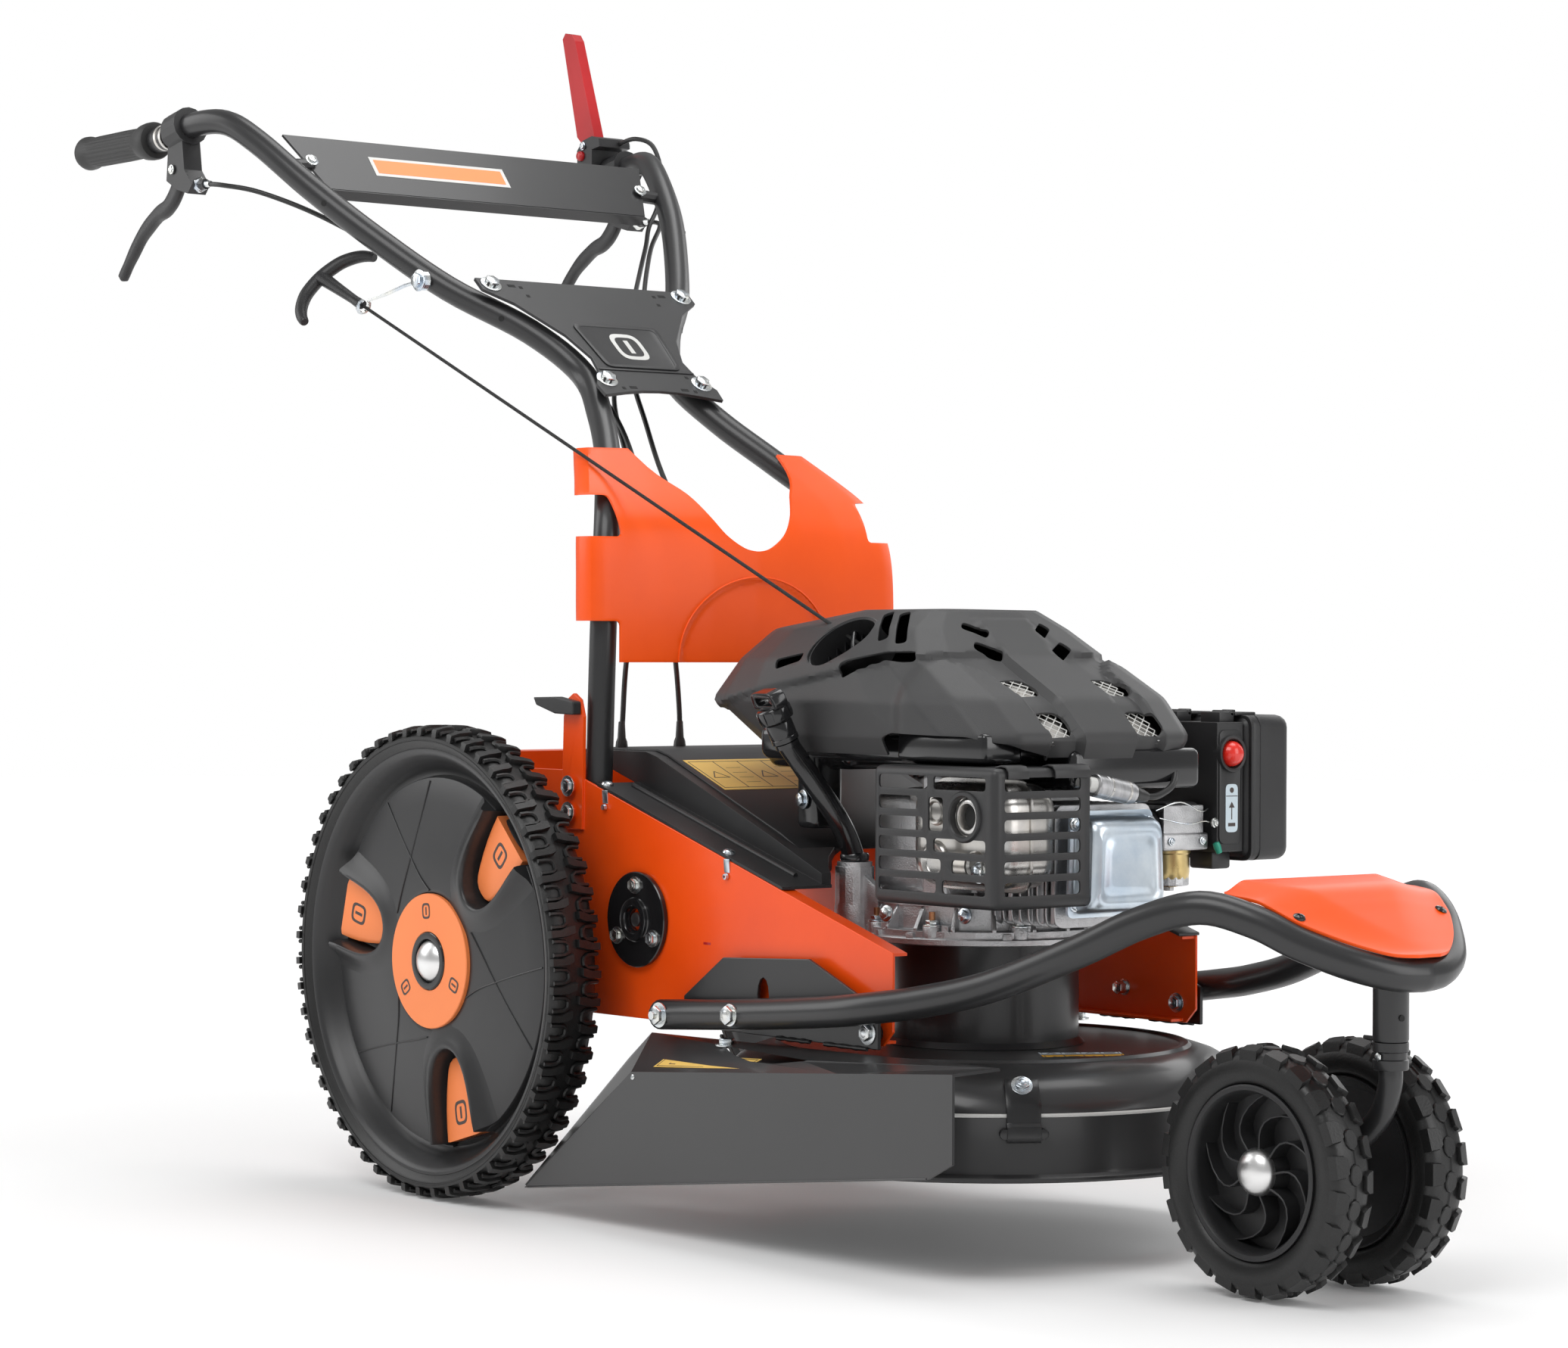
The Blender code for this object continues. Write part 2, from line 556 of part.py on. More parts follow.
def bumper_cover():
    """Moulded nose cover: a rounded triangle that slopes down over the loop."""
    bm = bmesh.new()
    shares = (-1.0, -0.5, 0.0, 0.5, 1.0)
    rows = [[bm.verts.new((x, share * half, z)) for share in shares] for x, half, z in COVER_ROWS]
    for rear, front in zip(rows, rows[1:]):
        for k in range(len(shares) - 1):
            bm.faces.new((rear[k], front[k], front[k + 1], rear[k + 1]))
    sheet = shape(bm)
    wall = sheet.modifiers.new("wall", "SOLIDIFY")
    wall.thickness = 0.0035
    wall.offset = 1.0 if sheet.data.polygons[0].normal.z > 0 else -1.0
    plate = bake(sheet)
    screws = [rod((1.094, side * 0.089, 0.3555), (1.094, side * 0.089, 0.3600), 0.006, 12)
              for side in (-1, 1)]
    finish(fuse(plate, *screws), "bumper_cover", "orange")


# ---------------------------------------------------------------- handlebars
def bar_route(side):
    return [Vector((p.x, side * p.y, p.z)) for p in smooth_route(BAR_ROUTE, 2)]


def bar_space(side, extra=GAP):
    """The room that a handlebar tube takes, used to cut clear what is clamped to it."""
    return tube(bar_route(side), BAR_R + extra, 2)


def handlebar(side, tag):
    bar = tube(bar_route(side), BAR_R, 2)
    finish(bar, f"handlebar_{tag}", "charcoal", TILT_AXIS, HANDLE)


def grip(side, tag):
    centre = (0.0, side * GRIP_Y, GRIP_Z)
    bore = BAR_R + 2 * GAP
    profile = [(0.0, -GRIP_END), (0.019, -GRIP_END), (0.0205, 0.725), (0.0175, 0.715), (0.0175, 0.584),
               (0.0225, 0.572), (0.0225, -GRIP_FRONT), (bore, -GRIP_FRONT), (bore, 0.7263), (0.0, 0.7263)]
    finish(turned(profile, centre, "-X", 16), f"grip_{tag}", "rubber", centre, HANDLE)


def lever_housing(side, tag):
    x, z = LEVER_PIVOT
    y = side * 0.3170
    clamp = rod((-0.520, y, 1.1965), (-0.488, y, 1.2025), 0.0225, 16)
    body = prism([(-0.488, 1.190), (-0.520, 1.190), (-0.521, 1.166), (-0.5235, 1.140), (-0.500, 1.128),
                  (-0.474, 1.121), (-0.464, 1.131), (-0.482, 1.150)], "Y", y - 0.012, y + 0.012)
    fork = box((x - 0.040, y - 0.0065, z - 0.045), (x + 0.0115, y + 0.0065, z + 0.014))
    adjuster = rod((-0.480, y, 1.132), (-0.452, y, 1.131), 0.0062, 8)
    pin = rod((x, y - 0.014, z), (x, y + 0.014, z), 0.0035, 10)
    body = fuse(cut(fuse(clamp, body), fork), adjuster, pin)
    finish(cut(body, bar_space(side)), f"lever_housing_{tag}", "black", (x, y, z), HANDLE)


def hand_lever(side, tag):
    x, z = LEVER_PIVOT
    y = side * 0.3170
    pivot = (x, y, z)
    route = smooth_route([(x + dx, y, z + dz) for dx, dz in LEVER_ROUTE], 2)
    blade = tube(route, 0.0058, 1)
    eye = rod((x, y - 0.0055, z), (x, y + 0.0055, z), 0.0095, 14)
    tip = ball((x - 0.142, y, z - 0.119), 0.0075, 8)
    hole = rod((x, y - 0.02, z), (x, y + 0.02, z), 0.0035 + GAP, 10)
    finish(cut(fuse(blade, eye, tip), hole), f"hand_lever_{tag}", "black", pivot, HANDLE)


def switch_housing():
    """Clamped block on the left bar that carries the dead-man lever and the stop button."""
    clamp = rod((-0.556, GRIP_Y - 0.001, 1.1945), (-0.5245, GRIP_Y - 0.002, 1.197), 0.0215, 16)
    body = prism([(-0.556, 1.205), (-0.5245, 1.205), (-0.5245, 1.2272), (-0.508, 1.2295), (-0.510, 1.240),
                  (-0.525, 1.244), (-0.545, 1.240), (-0.557, 1.228)], "Y", 0.286, 0.334)
    x, z = DEADMAN_PIVOT
    room = box((x - 0.060, DEADMAN_Y - 0.0078, 1.2175), (x + 0.0125, DEADMAN_Y + 0.0078, 1.280))
    pin = rod((x, 0.284, z), (x, 0.336, z), 0.0030, 10)
    x, y, z = STOP_SEAT
    pocket = rod((x, y - 0.01, z), (x, y + 0.0075, z), 0.0068, 12)
    body = cut(fuse(cut(fuse(clamp, body), room), pin), bar_space(1), pocket)
    finish(body, "switch_housing", "black", STOP_SEAT, HANDLE)


def stop_button():
    x, y, z = STOP_SEAT
    button = rod((x, y + 0.0022, z), (x, y - 0.0060, z), 0.0062, 12)
    finish(button, "stop_button", "red", STOP_SEAT, HANDLE)


def deadman_lever():
    x, z = DEADMAN_PIVOT
    outline = [(x + 0.009, z - 0.004), (x + 0.010, z + 0.006), (x + 0.002, z + 0.030), (x - 0.036, 1.372),
               (x - 0.043, 1.381), (x - 0.057, 1.384), (x - 0.063, 1.377), (x - 0.030, z + 0.016),
               (x - 0.010, z - 0.002), (x, z - 0.009)]
    blade = prism(outline, "Y", DEADMAN_Y - 0.0074, DEADMAN_Y + 0.0074)
    hole = rod((x, DEADMAN_Y - 0.02, z), (x, DEADMAN_Y + 0.02, z), 0.0030 + GAP, 10)
    finish(cut(blade, hole), "deadman_lever", "red", (x, DEADMAN_Y, z), HANDLE)


def cross_panel():
    """Folded sheet between the two bars."""
    top, low = Vector((-0.384, 0.0, 1.186)), Vector((-0.330, 0.0, 1.121))
    down = (low - top).normalized()
    normal = Vector((-down.z, 0.0, down.x))
    tall = (low - top).length
    sheet = prism([(-0.256, 0.0), (0.256, 0.0), (0.226, -tall), (-0.226, -tall)], "X", -0.0015, 0.0015)
    lip = prism([(-0.226, -tall + 0.0015), (0.226, -tall + 0.0015), (0.226, -tall - 0.0015),
                 (-0.226, -tall - 0.0015)], "X", -0.0140, 0.0010)
    body = fuse(sheet, lip)
    frame = Matrix((normal, Vector((0, 1, 0)), -down)).transposed().to_4x4()
    body.matrix_world = Matrix.Translation(top) @ frame
    ears = []
    for side in (-1, 1):
        ears.append(rod((-0.356, side * 0.235, 1.150), (-0.3535, side * 0.268, 1.1475), 0.008, 10))
    body.data.transform(body.matrix_world)
    body.matrix_world = Matrix.Identity(4)
    body = cut(fuse(body, *ears), bar_space(-1), bar_space(1))
    finish(body, "cross_panel", "charcoal", top, HANDLE)


CONSOLE_LOW = Vector((0.0155, 0.0, 0.8710))
CONSOLE_TOP = Vector((-0.1450, 0.0, 1.0080))


def console():
    """Hourglass plate over the place where the bars come together."""
    up = (CONSOLE_TOP - CONSOLE_LOW).normalized()
    tall = (CONSOLE_TOP - CONSOLE_LOW).length
    normal = Vector((up.z, 0.0, -up.x))
    half = [(0.082, 0.000), (0.084, 0.020), (0.068, 0.045), (0.064, 0.070), (0.078, 0.110),
            (0.118, 0.165), (0.150, tall - 0.022), (0.150, tall)]
    low_arc = [(0.075 * s, 0.012 * (1 - s * s)) for s in (-0.66, -0.33, 0.0, 0.33, 0.66)]
    outline = low_arc + half + [(-y, s) for y, s in reversed(half)]
    body = prism(outline, "X", 0.0, 0.004)
    bolts = []
    for side in (-1, 1):
        bolts.append(hex_bolt((0.004, side * 0.066, 0.028), (1, 0, 0), 0.0085, 0.006))
        bolts.append(hex_bolt((0.004, side * 0.134, tall - 0.012), (1, 0, 0), 0.0085, 0.006))
    ribs = [box((-0.006, -0.040, 0.100), (0.001, 0.040, 0.104))]
    body = fuse(body, *bolts, *ribs)
    frame = Matrix((normal, Vector((0, 1, 0)), up)).transposed().to_4x4()
    body.matrix_world = Matrix.Translation(CONSOLE_LOW) @ frame
    body.data.transform(body.matrix_world)
    body.matrix_world = Matrix.Identity(4)
    finish(cut(body, bar_space(-1), bar_space(1)), "console", "black", CONSOLE_LOW, HANDLE)


SHIELD_ROWS = ((0.578, 0.206), (0.620, 0.208), (0.660, 0.208), (0.700, 0.206), (0.730, 0.200),
               (0.755, 0.190), (0.780, 0.172), (0.810, 0.148))


def bar_at(z):
    """Place of the bar's centre line (x, |y|) at a height."""
    for (x0, y0, z0), (x1, y1, z1) in zip(BAR_ROUTE, BAR_ROUTE[1:]):
        if z0 <= z <= z1:
            t = (z - z0) / (z1 - z0)
            return x0 + (x1 - x0) * t, y0 + (y1 - y0) * t
    return BAR_ROUTE[0][:2]


def shield():
    """Moulded guard that is clipped round both legs, with a round notch in its top."""
    across = ((-1.0, 0.0165), (-0.93, 0.0215), (-0.62, 0.031), (-0.30, 0.038), (0.0, 0.041),
              (0.30, 0.038), (0.62, 0.031), (0.93, 0.0215), (1.0, 0.0165))
    bm = bmesh.new()
    rows = []
    for z, half in SHIELD_ROWS:
        x = bar_at(z)[0]
        rows.append([bm.verts.new((x + forward, share * half, z)) for share, forward in across])
    for low, high in zip(rows, rows[1:]):
        for k in range(len(across) - 1):
            bm.faces.new((low[k], low[k + 1], high[k + 1], high[k]))
    sheet = shape(bm)
    wall = sheet.modifiers.new("wall", "SOLIDIFY")
    wall.thickness = 0.003
    wall.offset = 0.0
    body = bake(sheet)
    half_notch = [(0.018, 0.702), (0.040, 0.716), (0.056, 0.736), (0.072, 0.760), (0.098, 0.790),
                  (0.110, 0.850)]
    notch = prism([(-y, z) for y, z in reversed(half_notch)] + half_notch, "X", 0.0, 0.4)
    windows = []
    for side in (-1, 1):
        for low, high in ((0.560, 0.622), (0.712, 0.757)):
            ends = sorted((side * 0.168, side * 0.300))
            windows.append(box((0.0, ends[0], low), (0.4, ends[1], high)))
    body = cut(body, notch, *windows)
    clear = (bar_space(-1, 0.001), bar_space(1, 0.001))
    finish(cut(body, *clear), "shield", "orange", TILT_AXIS, HANDLE)


# ---------------------------------------------------------------- starter and cables
def rope_guide():
    """Bent wire, bolted to the right bar, that the starter handle rests in."""
    bolt_at = Vector((-0.188, -0.1845, 1.008))
    loop_at = ROPE_HIGH
    side_step = PULL.cross(Vector((0, 0, 1))).normalized()
    under = side_step.cross(PULL).normalized()
    ring = []
    for degrees in range(-60, 241, 30):
        a = math.radians(degrees)
        ring.append(loop_at + 0.0085 * (math.cos(a) * side_step + math.sin(a) * -under))
    route = [bolt_at + Vector((0.0, -0.006, 0.0)), bolt_at + Vector((-0.030, -0.010, -0.004))]
    route += [ring[0] + Vector((0.020, 0.010, 0.006))] + ring
    wire = tube(smooth_route(route, 1), 0.0021, 1)
    washer = rod(bolt_at + Vector((0, -0.0015, 0)), bolt_at + Vector((0, -0.0100, 0)), 0.0110, 12)
    body = cut(fuse(wire, washer), bar_space(-1))
    finish(body, "rope_guide", "zinc", bolt_at, HANDLE)


def starter_handle():
    foot = ROPE_HIGH + PULL * 0.0045
    neck = ROPE_HIGH + PULL * 0.080
    bar_dir = (CROSSBAR - PULL * CROSSBAR.dot(PULL)).normalized()
    arms = []
    for reach, drop in ((-0.056, -0.034), (-0.048, -0.017), (-0.028, -0.003), (0.0, 0.003), (0.028, -0.003),
                        (0.048, -0.017), (0.056, -0.034)):
        arms.append(neck + bar_dir * reach + PULL * drop)
    bar = tube(smooth_route(arms, 2), 0.0075, 2)
    stem = rod(foot, neck, 0.0062, 14, end_radius=0.0095)
    body = fuse(bar, stem)
    hole = rod(ROPE_HIGH, foot + PULL * 0.012, ROPE_R + GAP, 8)
    finish(cut(body, hole), "starter_handle", "black", foot, HANDLE)


def starter_rope():
    end = ROPE_HIGH + PULL * 0.012
    route = [ROPE_LOW.lerp(end, k / 10) for k in range(11)]
    finish(tube(route, ROPE_R, 2), "starter_rope", "black")


# Routes of the cables, chosen by hand (x, y, z).
DRIVE_CABLE = ((-0.4510, -0.3170, 1.1310), (-0.420, -0.3120, 1.1270), (-0.385, -0.285, 1.118),
               (-0.340, -0.238, 1.093), (-0.285, -0.190, 1.055), (-0.225, -0.140, 1.010),
               (-0.165, -0.085, 0.965), (-0.105, -0.040, 0.915), (-0.050, -0.024, 0.860),
               (-0.005, -0.026, 0.800), (0.030, -0.040, 0.740), (0.060, -0.070, 0.660),
               (0.082, -0.100, 0.580), (0.092, -0.112, 0.520), (0.094, -0.115, 0.4838))
BRAKE_CABLE = ((-0.4510, 0.3170, 1.1310), (-0.420, 0.3130, 1.1270), (-0.385, 0.290, 1.116),
               (-0.340, 0.244, 1.085), (-0.285, 0.196, 1.045), (-0.225, 0.146, 1.000),
               (-0.165, 0.091, 0.955), (-0.105, 0.044, 0.905), (-0.055, 0.026, 0.850),
               (-0.015, 0.020, 0.790), (0.025, 0.030, 0.720), (0.060, 0.050, 0.650),
               (0.085, 0.075, 0.580), (0.098, 0.088, 0.520), (0.100, 0.092, 0.4838))
STOP_CABLE = ((-0.5077, 0.318, 1.2350), (-0.480, 0.322, 1.2390), (-0.456, 0.332, 1.228),
              (-0.440, 0.334, 1.190), (-0.432, 0.322, 1.150), (-0.415, 0.296, 1.120),
              (-0.375, 0.262, 1.092), (-0.325, 0.218, 1.060), (-0.270, 0.168, 1.018),
              (-0.212, 0.116, 0.978), (-0.155, 0.064, 0.930), (-0.105, 0.018, 0.878),
              (-0.060, 0.000, 0.820), (-0.020, -0.004, 0.750), (0.020, -0.010, 0.680),
              (0.060, -0.020, 0.600), (0.082, -0.028, 0.530), (0.086, -0.030, 0.4838))


def cable(name, points):
    finish(tube(smooth_route(points, 2), CABLE_R, 1), name, "black", points[0], HANDLE)


# ---------------------------------------------------------------- engine
OIL_FOOT = Vector((0.466, -0.092, 0.0))
OIL_LIP = Vector((0.4560, -0.1740, 0.500))
OIL_TOP = Vector((0.4540, -0.1830, 0.520))
OIL_AXIS = (OIL_TOP - OIL_LIP).normalized()
OIL_SEAT = OIL_TOP + OIL_AXIS * 0.0012


def engine_block():
    low = DRUM_TOP + GAP
    flange = rod((ENGINE_X, 0, low), (ENGINE_X, 0, 0.314), 0.120, 24)
    sump = rod((ENGINE_X, 0, 0.310), (ENGINE_X, 0, 0.345), 0.106, 20)
    case = rod((ENGINE_X, 0, 0.340), (ENGINE_X, 0, 0.452), 0.078, 16)
    neck = rod((ENGINE_X, 0, 0.445), (ENGINE_X, 0, 0.492), 0.050, 12)
    blower = rod((ENGINE_X - 0.030, 0, 0.486), (ENGINE_X - 0.030, 0, 0.575), 0.094, 20)
    barrel = box((0.600, -0.042, 0.336), (0.746, 0.042, 0.430))
    fins = [box((0.650 + 0.0155 * k, -0.060, 0.326), (0.655 + 0.0155 * k, 0.060, 0.440)) for k in range(6)]
    boss = rod((OIL_FOOT.x, OIL_FOOT.y, low + 0.001), (OIL_FOOT.x, OIL_FOOT.y, 0.372), 0.020, 16)
    tank = box((0.345, -0.040, 0.500), (0.480, 0.090, 0.560))
    bolts = []
    for degrees in range(-100, 101, 40):
        a = math.radians(degrees)
        spot = (ENGINE_X + 0.113 * math.cos(a), 0.113 * math.sin(a), 0.314)
        bolts.append(hex_bolt(spot, (0, 0, 1), 0.0065, 0.006))
    body = fuse(flange, sump, case, neck, blower, barrel, *fins, boss, tank, *bolts)
    finish(body, "engine_block", "aluminium")


def valve_cover():
    x = 0.746 + GAP
    rim = prism([(-0.058, 0.333), (0.058, 0.333), (0.058, 0.428), (0.046, 0.436), (-0.046, 0.436),
                 (-0.058, 0.428)], "X", x, x + 0.004)
    dome = rod((x + 0.003, 0, 0.3845), (x + 0.034, 0, 0.3845), 0.064, 4, end_radius=0.058)
    dome.data.transform(Matrix.Translation((0, 0, 0.3845)) @ Matrix.Diagonal((1, 1.05, 0.88, 1))
                        @ Matrix.Rotation(math.pi / 4, 4, "X") @ Matrix.Translation((0, 0, -0.3845)))
    finish(fuse(rim, dome), "valve_cover", "zinc")


MUFFLER_PORT = (0.7270, 0.4330)


def muffler():
    body = box((0.616, -0.152, 0.362), (0.752, -0.066, 0.464))
    edge = body.modifiers.new("edge", "BEVEL")
    edge.width = 0.014
    edge.segments = 2
    body = bake(body)
    x, z = MUFFLER_PORT
    outlet = rod((x, -0.140, z), (x, -0.166, z), 0.0165, 16)
    bore = rod((x, -0.153, z), (x, -0.170, z), 0.0120, 16)
    port = box((0.660, -0.080, 0.385), (0.700, -0.0605, 0.415))
    finish(cut(fuse(body, outlet, port), bore), "muffler", "steel")


def muffler_guard():
    wall = 0.002
    low, high = Vector((0.590, -0.172, 0.345)), Vector((0.772, -0.050, 0.480))
    shell = box(low, high)
    inside = box((low.x - 0.01, low.y + wall, low.z + wall), (high.x - wall, high.y + 0.01, high.z - wall))
    under = box((low.x - 0.01, low.y + 0.020, low.z - 0.01), (high.x - 0.020, high.y + 0.01, low.z + 0.01))
    slots = []
    near = (((0.600, 0.686), (0.695, 0.758)), ((0.600, 0.693), (0.709, 0.758)),
            ((0.600, 0.672), (0.682, 0.758)), ((0.600, 0.666),), ((0.600, 0.658),),
            ((0.600, 0.673), (0.682, 0.758)))
    for row, spans in enumerate(near):
        z = 0.3582 + 0.0200 * row
        for start, end in spans:
            slots.append(box((start, low.y - 0.01, z), (end, low.y + 0.01, z + 0.0125)))
        slots.append(box((high.x - 0.01, -0.160, z), (high.x + 0.01, -0.062, z + 0.0125)))
    slots.append(box((0.6745, low.y - 0.01, 0.4182), (0.6960, low.y + 0.01, 0.4507)))
    x, z = MUFFLER_PORT
    port = rod((x, low.y - 0.01, z), (x, low.y + 0.01, z), 0.0200, 16)
    finish(cut(cut(shell, inside, under), *slots, port), "muffler_guard", "black")


# Sections of the cowl from its hem to its crown: height, half width, then rear, front and their centre.
COWL_RINGS = ((0.4880, 0.148, 0.325, 0.738), (0.5060, 0.158, 0.300, 0.745), (0.5400, 0.163, 0.242, 0.710),
              (0.5800, 0.150, 0.284, 0.632), (0.6100, 0.120, 0.316, 0.594), (0.6290, 0.082, 0.440, 0.570))


def cowl():
    """Faceted engine cover: a thin shell lofted through its sections, open at the bottom."""
    corners = 20
    bm = bmesh.new()
    rings = []
    for z, half, rear, front in COWL_RINGS:
        middle, reach = (rear + front) / 2, (front - rear) / 2
        ring = []
        for k in range(corners):
            a = 2 * math.pi * (k + 0.5) / corners
            c, s = math.cos(a), math.sin(a)
            power = 0.50
            x = middle + reach * math.copysign(abs(c) ** power, c)
            y = half * math.copysign(abs(s) ** power, s) * (1.0 - 0.10 * max(0.0, (middle - x) / reach))
            ring.append(bm.verts.new((x, y, z)))
        rings.append(ring)
    for low, high in zip(rings, rings[1:]):
        for k in range(corners):
            bm.faces.new((low[k], low[(k + 1) % corners], high[(k + 1) % corners], high[k]))
    bm.faces.new(rings[-1])
    sheet = shape(bm)
    wall = sheet.modifiers.new("wall", "SOLIDIFY")
    wall.thickness = 0.003
    wall.offset = -1.0
    body = bake(sheet)
    well = rod((0.462, -0.100, 0.56), (0.462, -0.100, 0.70), 0.030, 16)
    eye = rod(ROPE_LOW - PULL * 0.05, ROPE_LOW + PULL * 0.10, 0.012, 12)
    finish(cut(body, well, eye), "cowl", "black")


def oil_tube():
    route = smooth_route([(OIL_FOOT.x, OIL_FOOT.y, 0.3600), (OIL_FOOT.x, OIL_FOOT.y, 0.3780),
                          (0.468, -0.112, 0.415), (0.459, -0.146, 0.465), OIL_LIP, OIL_TOP], 2)
    pipe = tube(route, 0.0105, 2)
    lip = rod(OIL_LIP, OIL_TOP, 0.014, 16)
    below = box((0.42, -0.14, 0.340), (0.52, -0.04, 0.372 + GAP))
    finish(cut(fuse(pipe, lip), below), "oil_tube", "black")


def oil_cap():
    knob = rod(OIL_SEAT, OIL_SEAT + OIL_AXIS * 0.014, 0.0155, 16)
    across = OIL_AXIS.cross(Vector((0, 0, 1))).normalized()
    top = OIL_SEAT + OIL_AXIS * 0.020
    wings = tube([top - across * 0.021, top + across * 0.021], 0.0075, 2)
    finish(fuse(knob, wings), "oil_cap", "black", OIL_SEAT)


def carburettor():
    y0 = 0.060 + GAP
    throat = rod((0.672, y0, 0.412), (0.672, 0.1847, 0.412), 0.015, 16)
    body = box((0.648, 0.122, 0.3905), (0.696, 0.178, 0.436))
    bowl = rod((0.672, 0.152, 0.354), (0.672, 0.152, 0.394), 0.0205)
    finish(fuse(throat, body, bowl), "carburettor", "brass")


PRIMER_SEAT = Vector((0.708, 0.2035, 0.488))    # middle of the face that the primer bulb sits in
FILTER_FOOT = (0.649, 0.2223, 0.378)            # hinge line of the filter cover


def filter_base():
    plate = box((0.590, 0.185, 0.388), (0.708, 0.2220, 0.520))
    arm = box((0.640, 0.1005, 0.470), (0.660, 0.187, 0.480))
    pocket = rod((PRIMER_SEAT.x - 0.0085, *PRIMER_SEAT.yz), (PRIMER_SEAT.x + 0.01, *PRIMER_SEAT.yz), 0.0145)
    finish(cut(fuse(plate, arm), pocket), "filter_base", "black")


def filter_cover():
    body = box((0.584, 0.2220 + GAP, 0.378), (0.714, 0.2870, 0.527))
    edge = body.modifiers.new("edge", "BEVEL")
    edge.width = 0.012
    edge.segments = 2
    finish(bake(body), "filter_cover", "black", FILTER_FOOT)


def primer_bulb():
    """Rubber button that slides into its pocket."""
    profile = [(0.0, 0.014), (0.008, 0.012), (0.0125, 0.006), (0.0135, 0.0), (0.0135, -0.001),
               (0.0, -0.001)]
    finish(turned(profile, PRIMER_SEAT, "X", 14), "primer_bulb", "red", PRIMER_SEAT)


def spark_boot():
    boot = rod((0.762, -0.036, 0.462), (0.762, 0.030, 0.450), 0.0115, 16)
    lead = rod((0.762, 0.028, 0.450), (0.758, 0.052, 0.452), 0.006, 10)
    finish(fuse(boot, lead), "spark_boot", "steel")


def blade():
    pivot = (ENGINE_X, 0.0, 0.125)
    axis = joint_empty("blade_axis", pivot)
    shaft = rod((ENGINE_X, 0, 0.1300), (ENGINE_X, 0, DRUM_TOP), 0.0125)
    finish(shaft, "crankshaft", "steel", pivot, axis)
    low, high = 0.1180, 0.1220
    bar = prism([(ENGINE_X - 0.245, -0.028), (ENGINE_X + 0.245, -0.028), (ENGINE_X + 0.245, 0.020),
                 (ENGINE_X + 0.190, 0.028), (ENGINE_X - 0.245, 0.028)], "Z", low, high)
    hub = rod((ENGINE_X, 0, low + 0.001), (ENGINE_X, 0, 0.1300 - GAP), 0.026)
    nut = rod((ENGINE_X, 0, low + 0.001), (ENGINE_X, 0, low - 0.010), 0.012, 6)
    finish(fuse(bar, hub, nut), "blade", "steel", pivot, axis)


# ---------------------------------------------------------------- build
SIDES = ((-1, "right"), (1, "left"))


def build():
    for side, tag in SIDES:
        rear_wheel(side, tag)
        side_plate(side, tag)
        bearing_flange(side, tag)
        deck_bracket(side, tag)
        handlebar(side, tag)
        grip(side, tag)
        lever_housing(side, tag)
        hand_lever(side, tag)
    caster()
    crossmember()
    adjust_lever()
    chassis_cover()
    drive_unit()
    deck()
    neck_drum()
    skirt()
    bumper()
    bumper_cover()
    switch_housing()
    stop_button()
    deadman_lever()
    cross_panel()
    console()
    shield()
    rope_guide()
    starter_handle()
    starter_rope()
    cable("drive_cable", DRIVE_CABLE)
    cable("brake_cable", BRAKE_CABLE)
    cable("stop_cable", STOP_CABLE)
    engine_block()
    valve_cover()
    muffler()
    muffler_guard()
    cowl()
    oil_tube()
    oil_cap()
    carburettor()
    filter_base()
    filter_cover()
    primer_bulb()
    spark_boot()
    blade()


build()
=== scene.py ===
"""Looks for the walk-behind brush mower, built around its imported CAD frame.

Lengths are metres. at(x, y, z) takes x from the rear axle, as the mower's own drawings would.
Each section makes the pieces of one assembly, gives them their materials and rides them on a body.
"""
import json
import math

import bmesh
import bpy
from mathutils import Matrix, Vector


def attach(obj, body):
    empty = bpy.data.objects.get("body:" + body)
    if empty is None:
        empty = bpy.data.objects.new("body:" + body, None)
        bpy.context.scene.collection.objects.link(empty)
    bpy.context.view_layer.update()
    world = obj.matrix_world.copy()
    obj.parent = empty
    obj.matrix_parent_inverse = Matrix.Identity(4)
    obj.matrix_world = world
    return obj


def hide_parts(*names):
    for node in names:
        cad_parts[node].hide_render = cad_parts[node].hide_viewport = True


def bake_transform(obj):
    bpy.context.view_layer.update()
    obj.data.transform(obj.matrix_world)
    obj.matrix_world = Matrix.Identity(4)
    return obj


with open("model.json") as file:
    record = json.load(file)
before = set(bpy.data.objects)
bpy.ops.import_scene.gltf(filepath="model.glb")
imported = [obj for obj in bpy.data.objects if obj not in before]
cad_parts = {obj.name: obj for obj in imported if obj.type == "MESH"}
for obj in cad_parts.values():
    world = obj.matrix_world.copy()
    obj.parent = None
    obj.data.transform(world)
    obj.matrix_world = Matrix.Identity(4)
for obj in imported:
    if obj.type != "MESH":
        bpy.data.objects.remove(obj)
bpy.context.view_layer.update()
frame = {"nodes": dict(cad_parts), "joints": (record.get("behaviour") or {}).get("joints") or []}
NODES = frame["nodes"]
JOINTS = {joint["name"]: joint for joint in frame["joints"]}
AXLE = Vector(JOINTS["rear_wheel_right_spin"]["pos_m"])
AXLE_X = AXLE.x
UP = Vector((0, 0, 1))


def at(x, y, z):
    return Vector((x + AXLE_X, y, z))


# ------------------------------------------------------------------ materials
def node(tree, kind, **values):
    made = tree.nodes.new(kind)
    for key, value in values.items():
        if hasattr(made, key):
            setattr(made, key, value)
        else:
            made.inputs[key.replace("_", " ")].default_value = value
    return made


def wire(tree, source, target):
    tree.links.new(source, target)


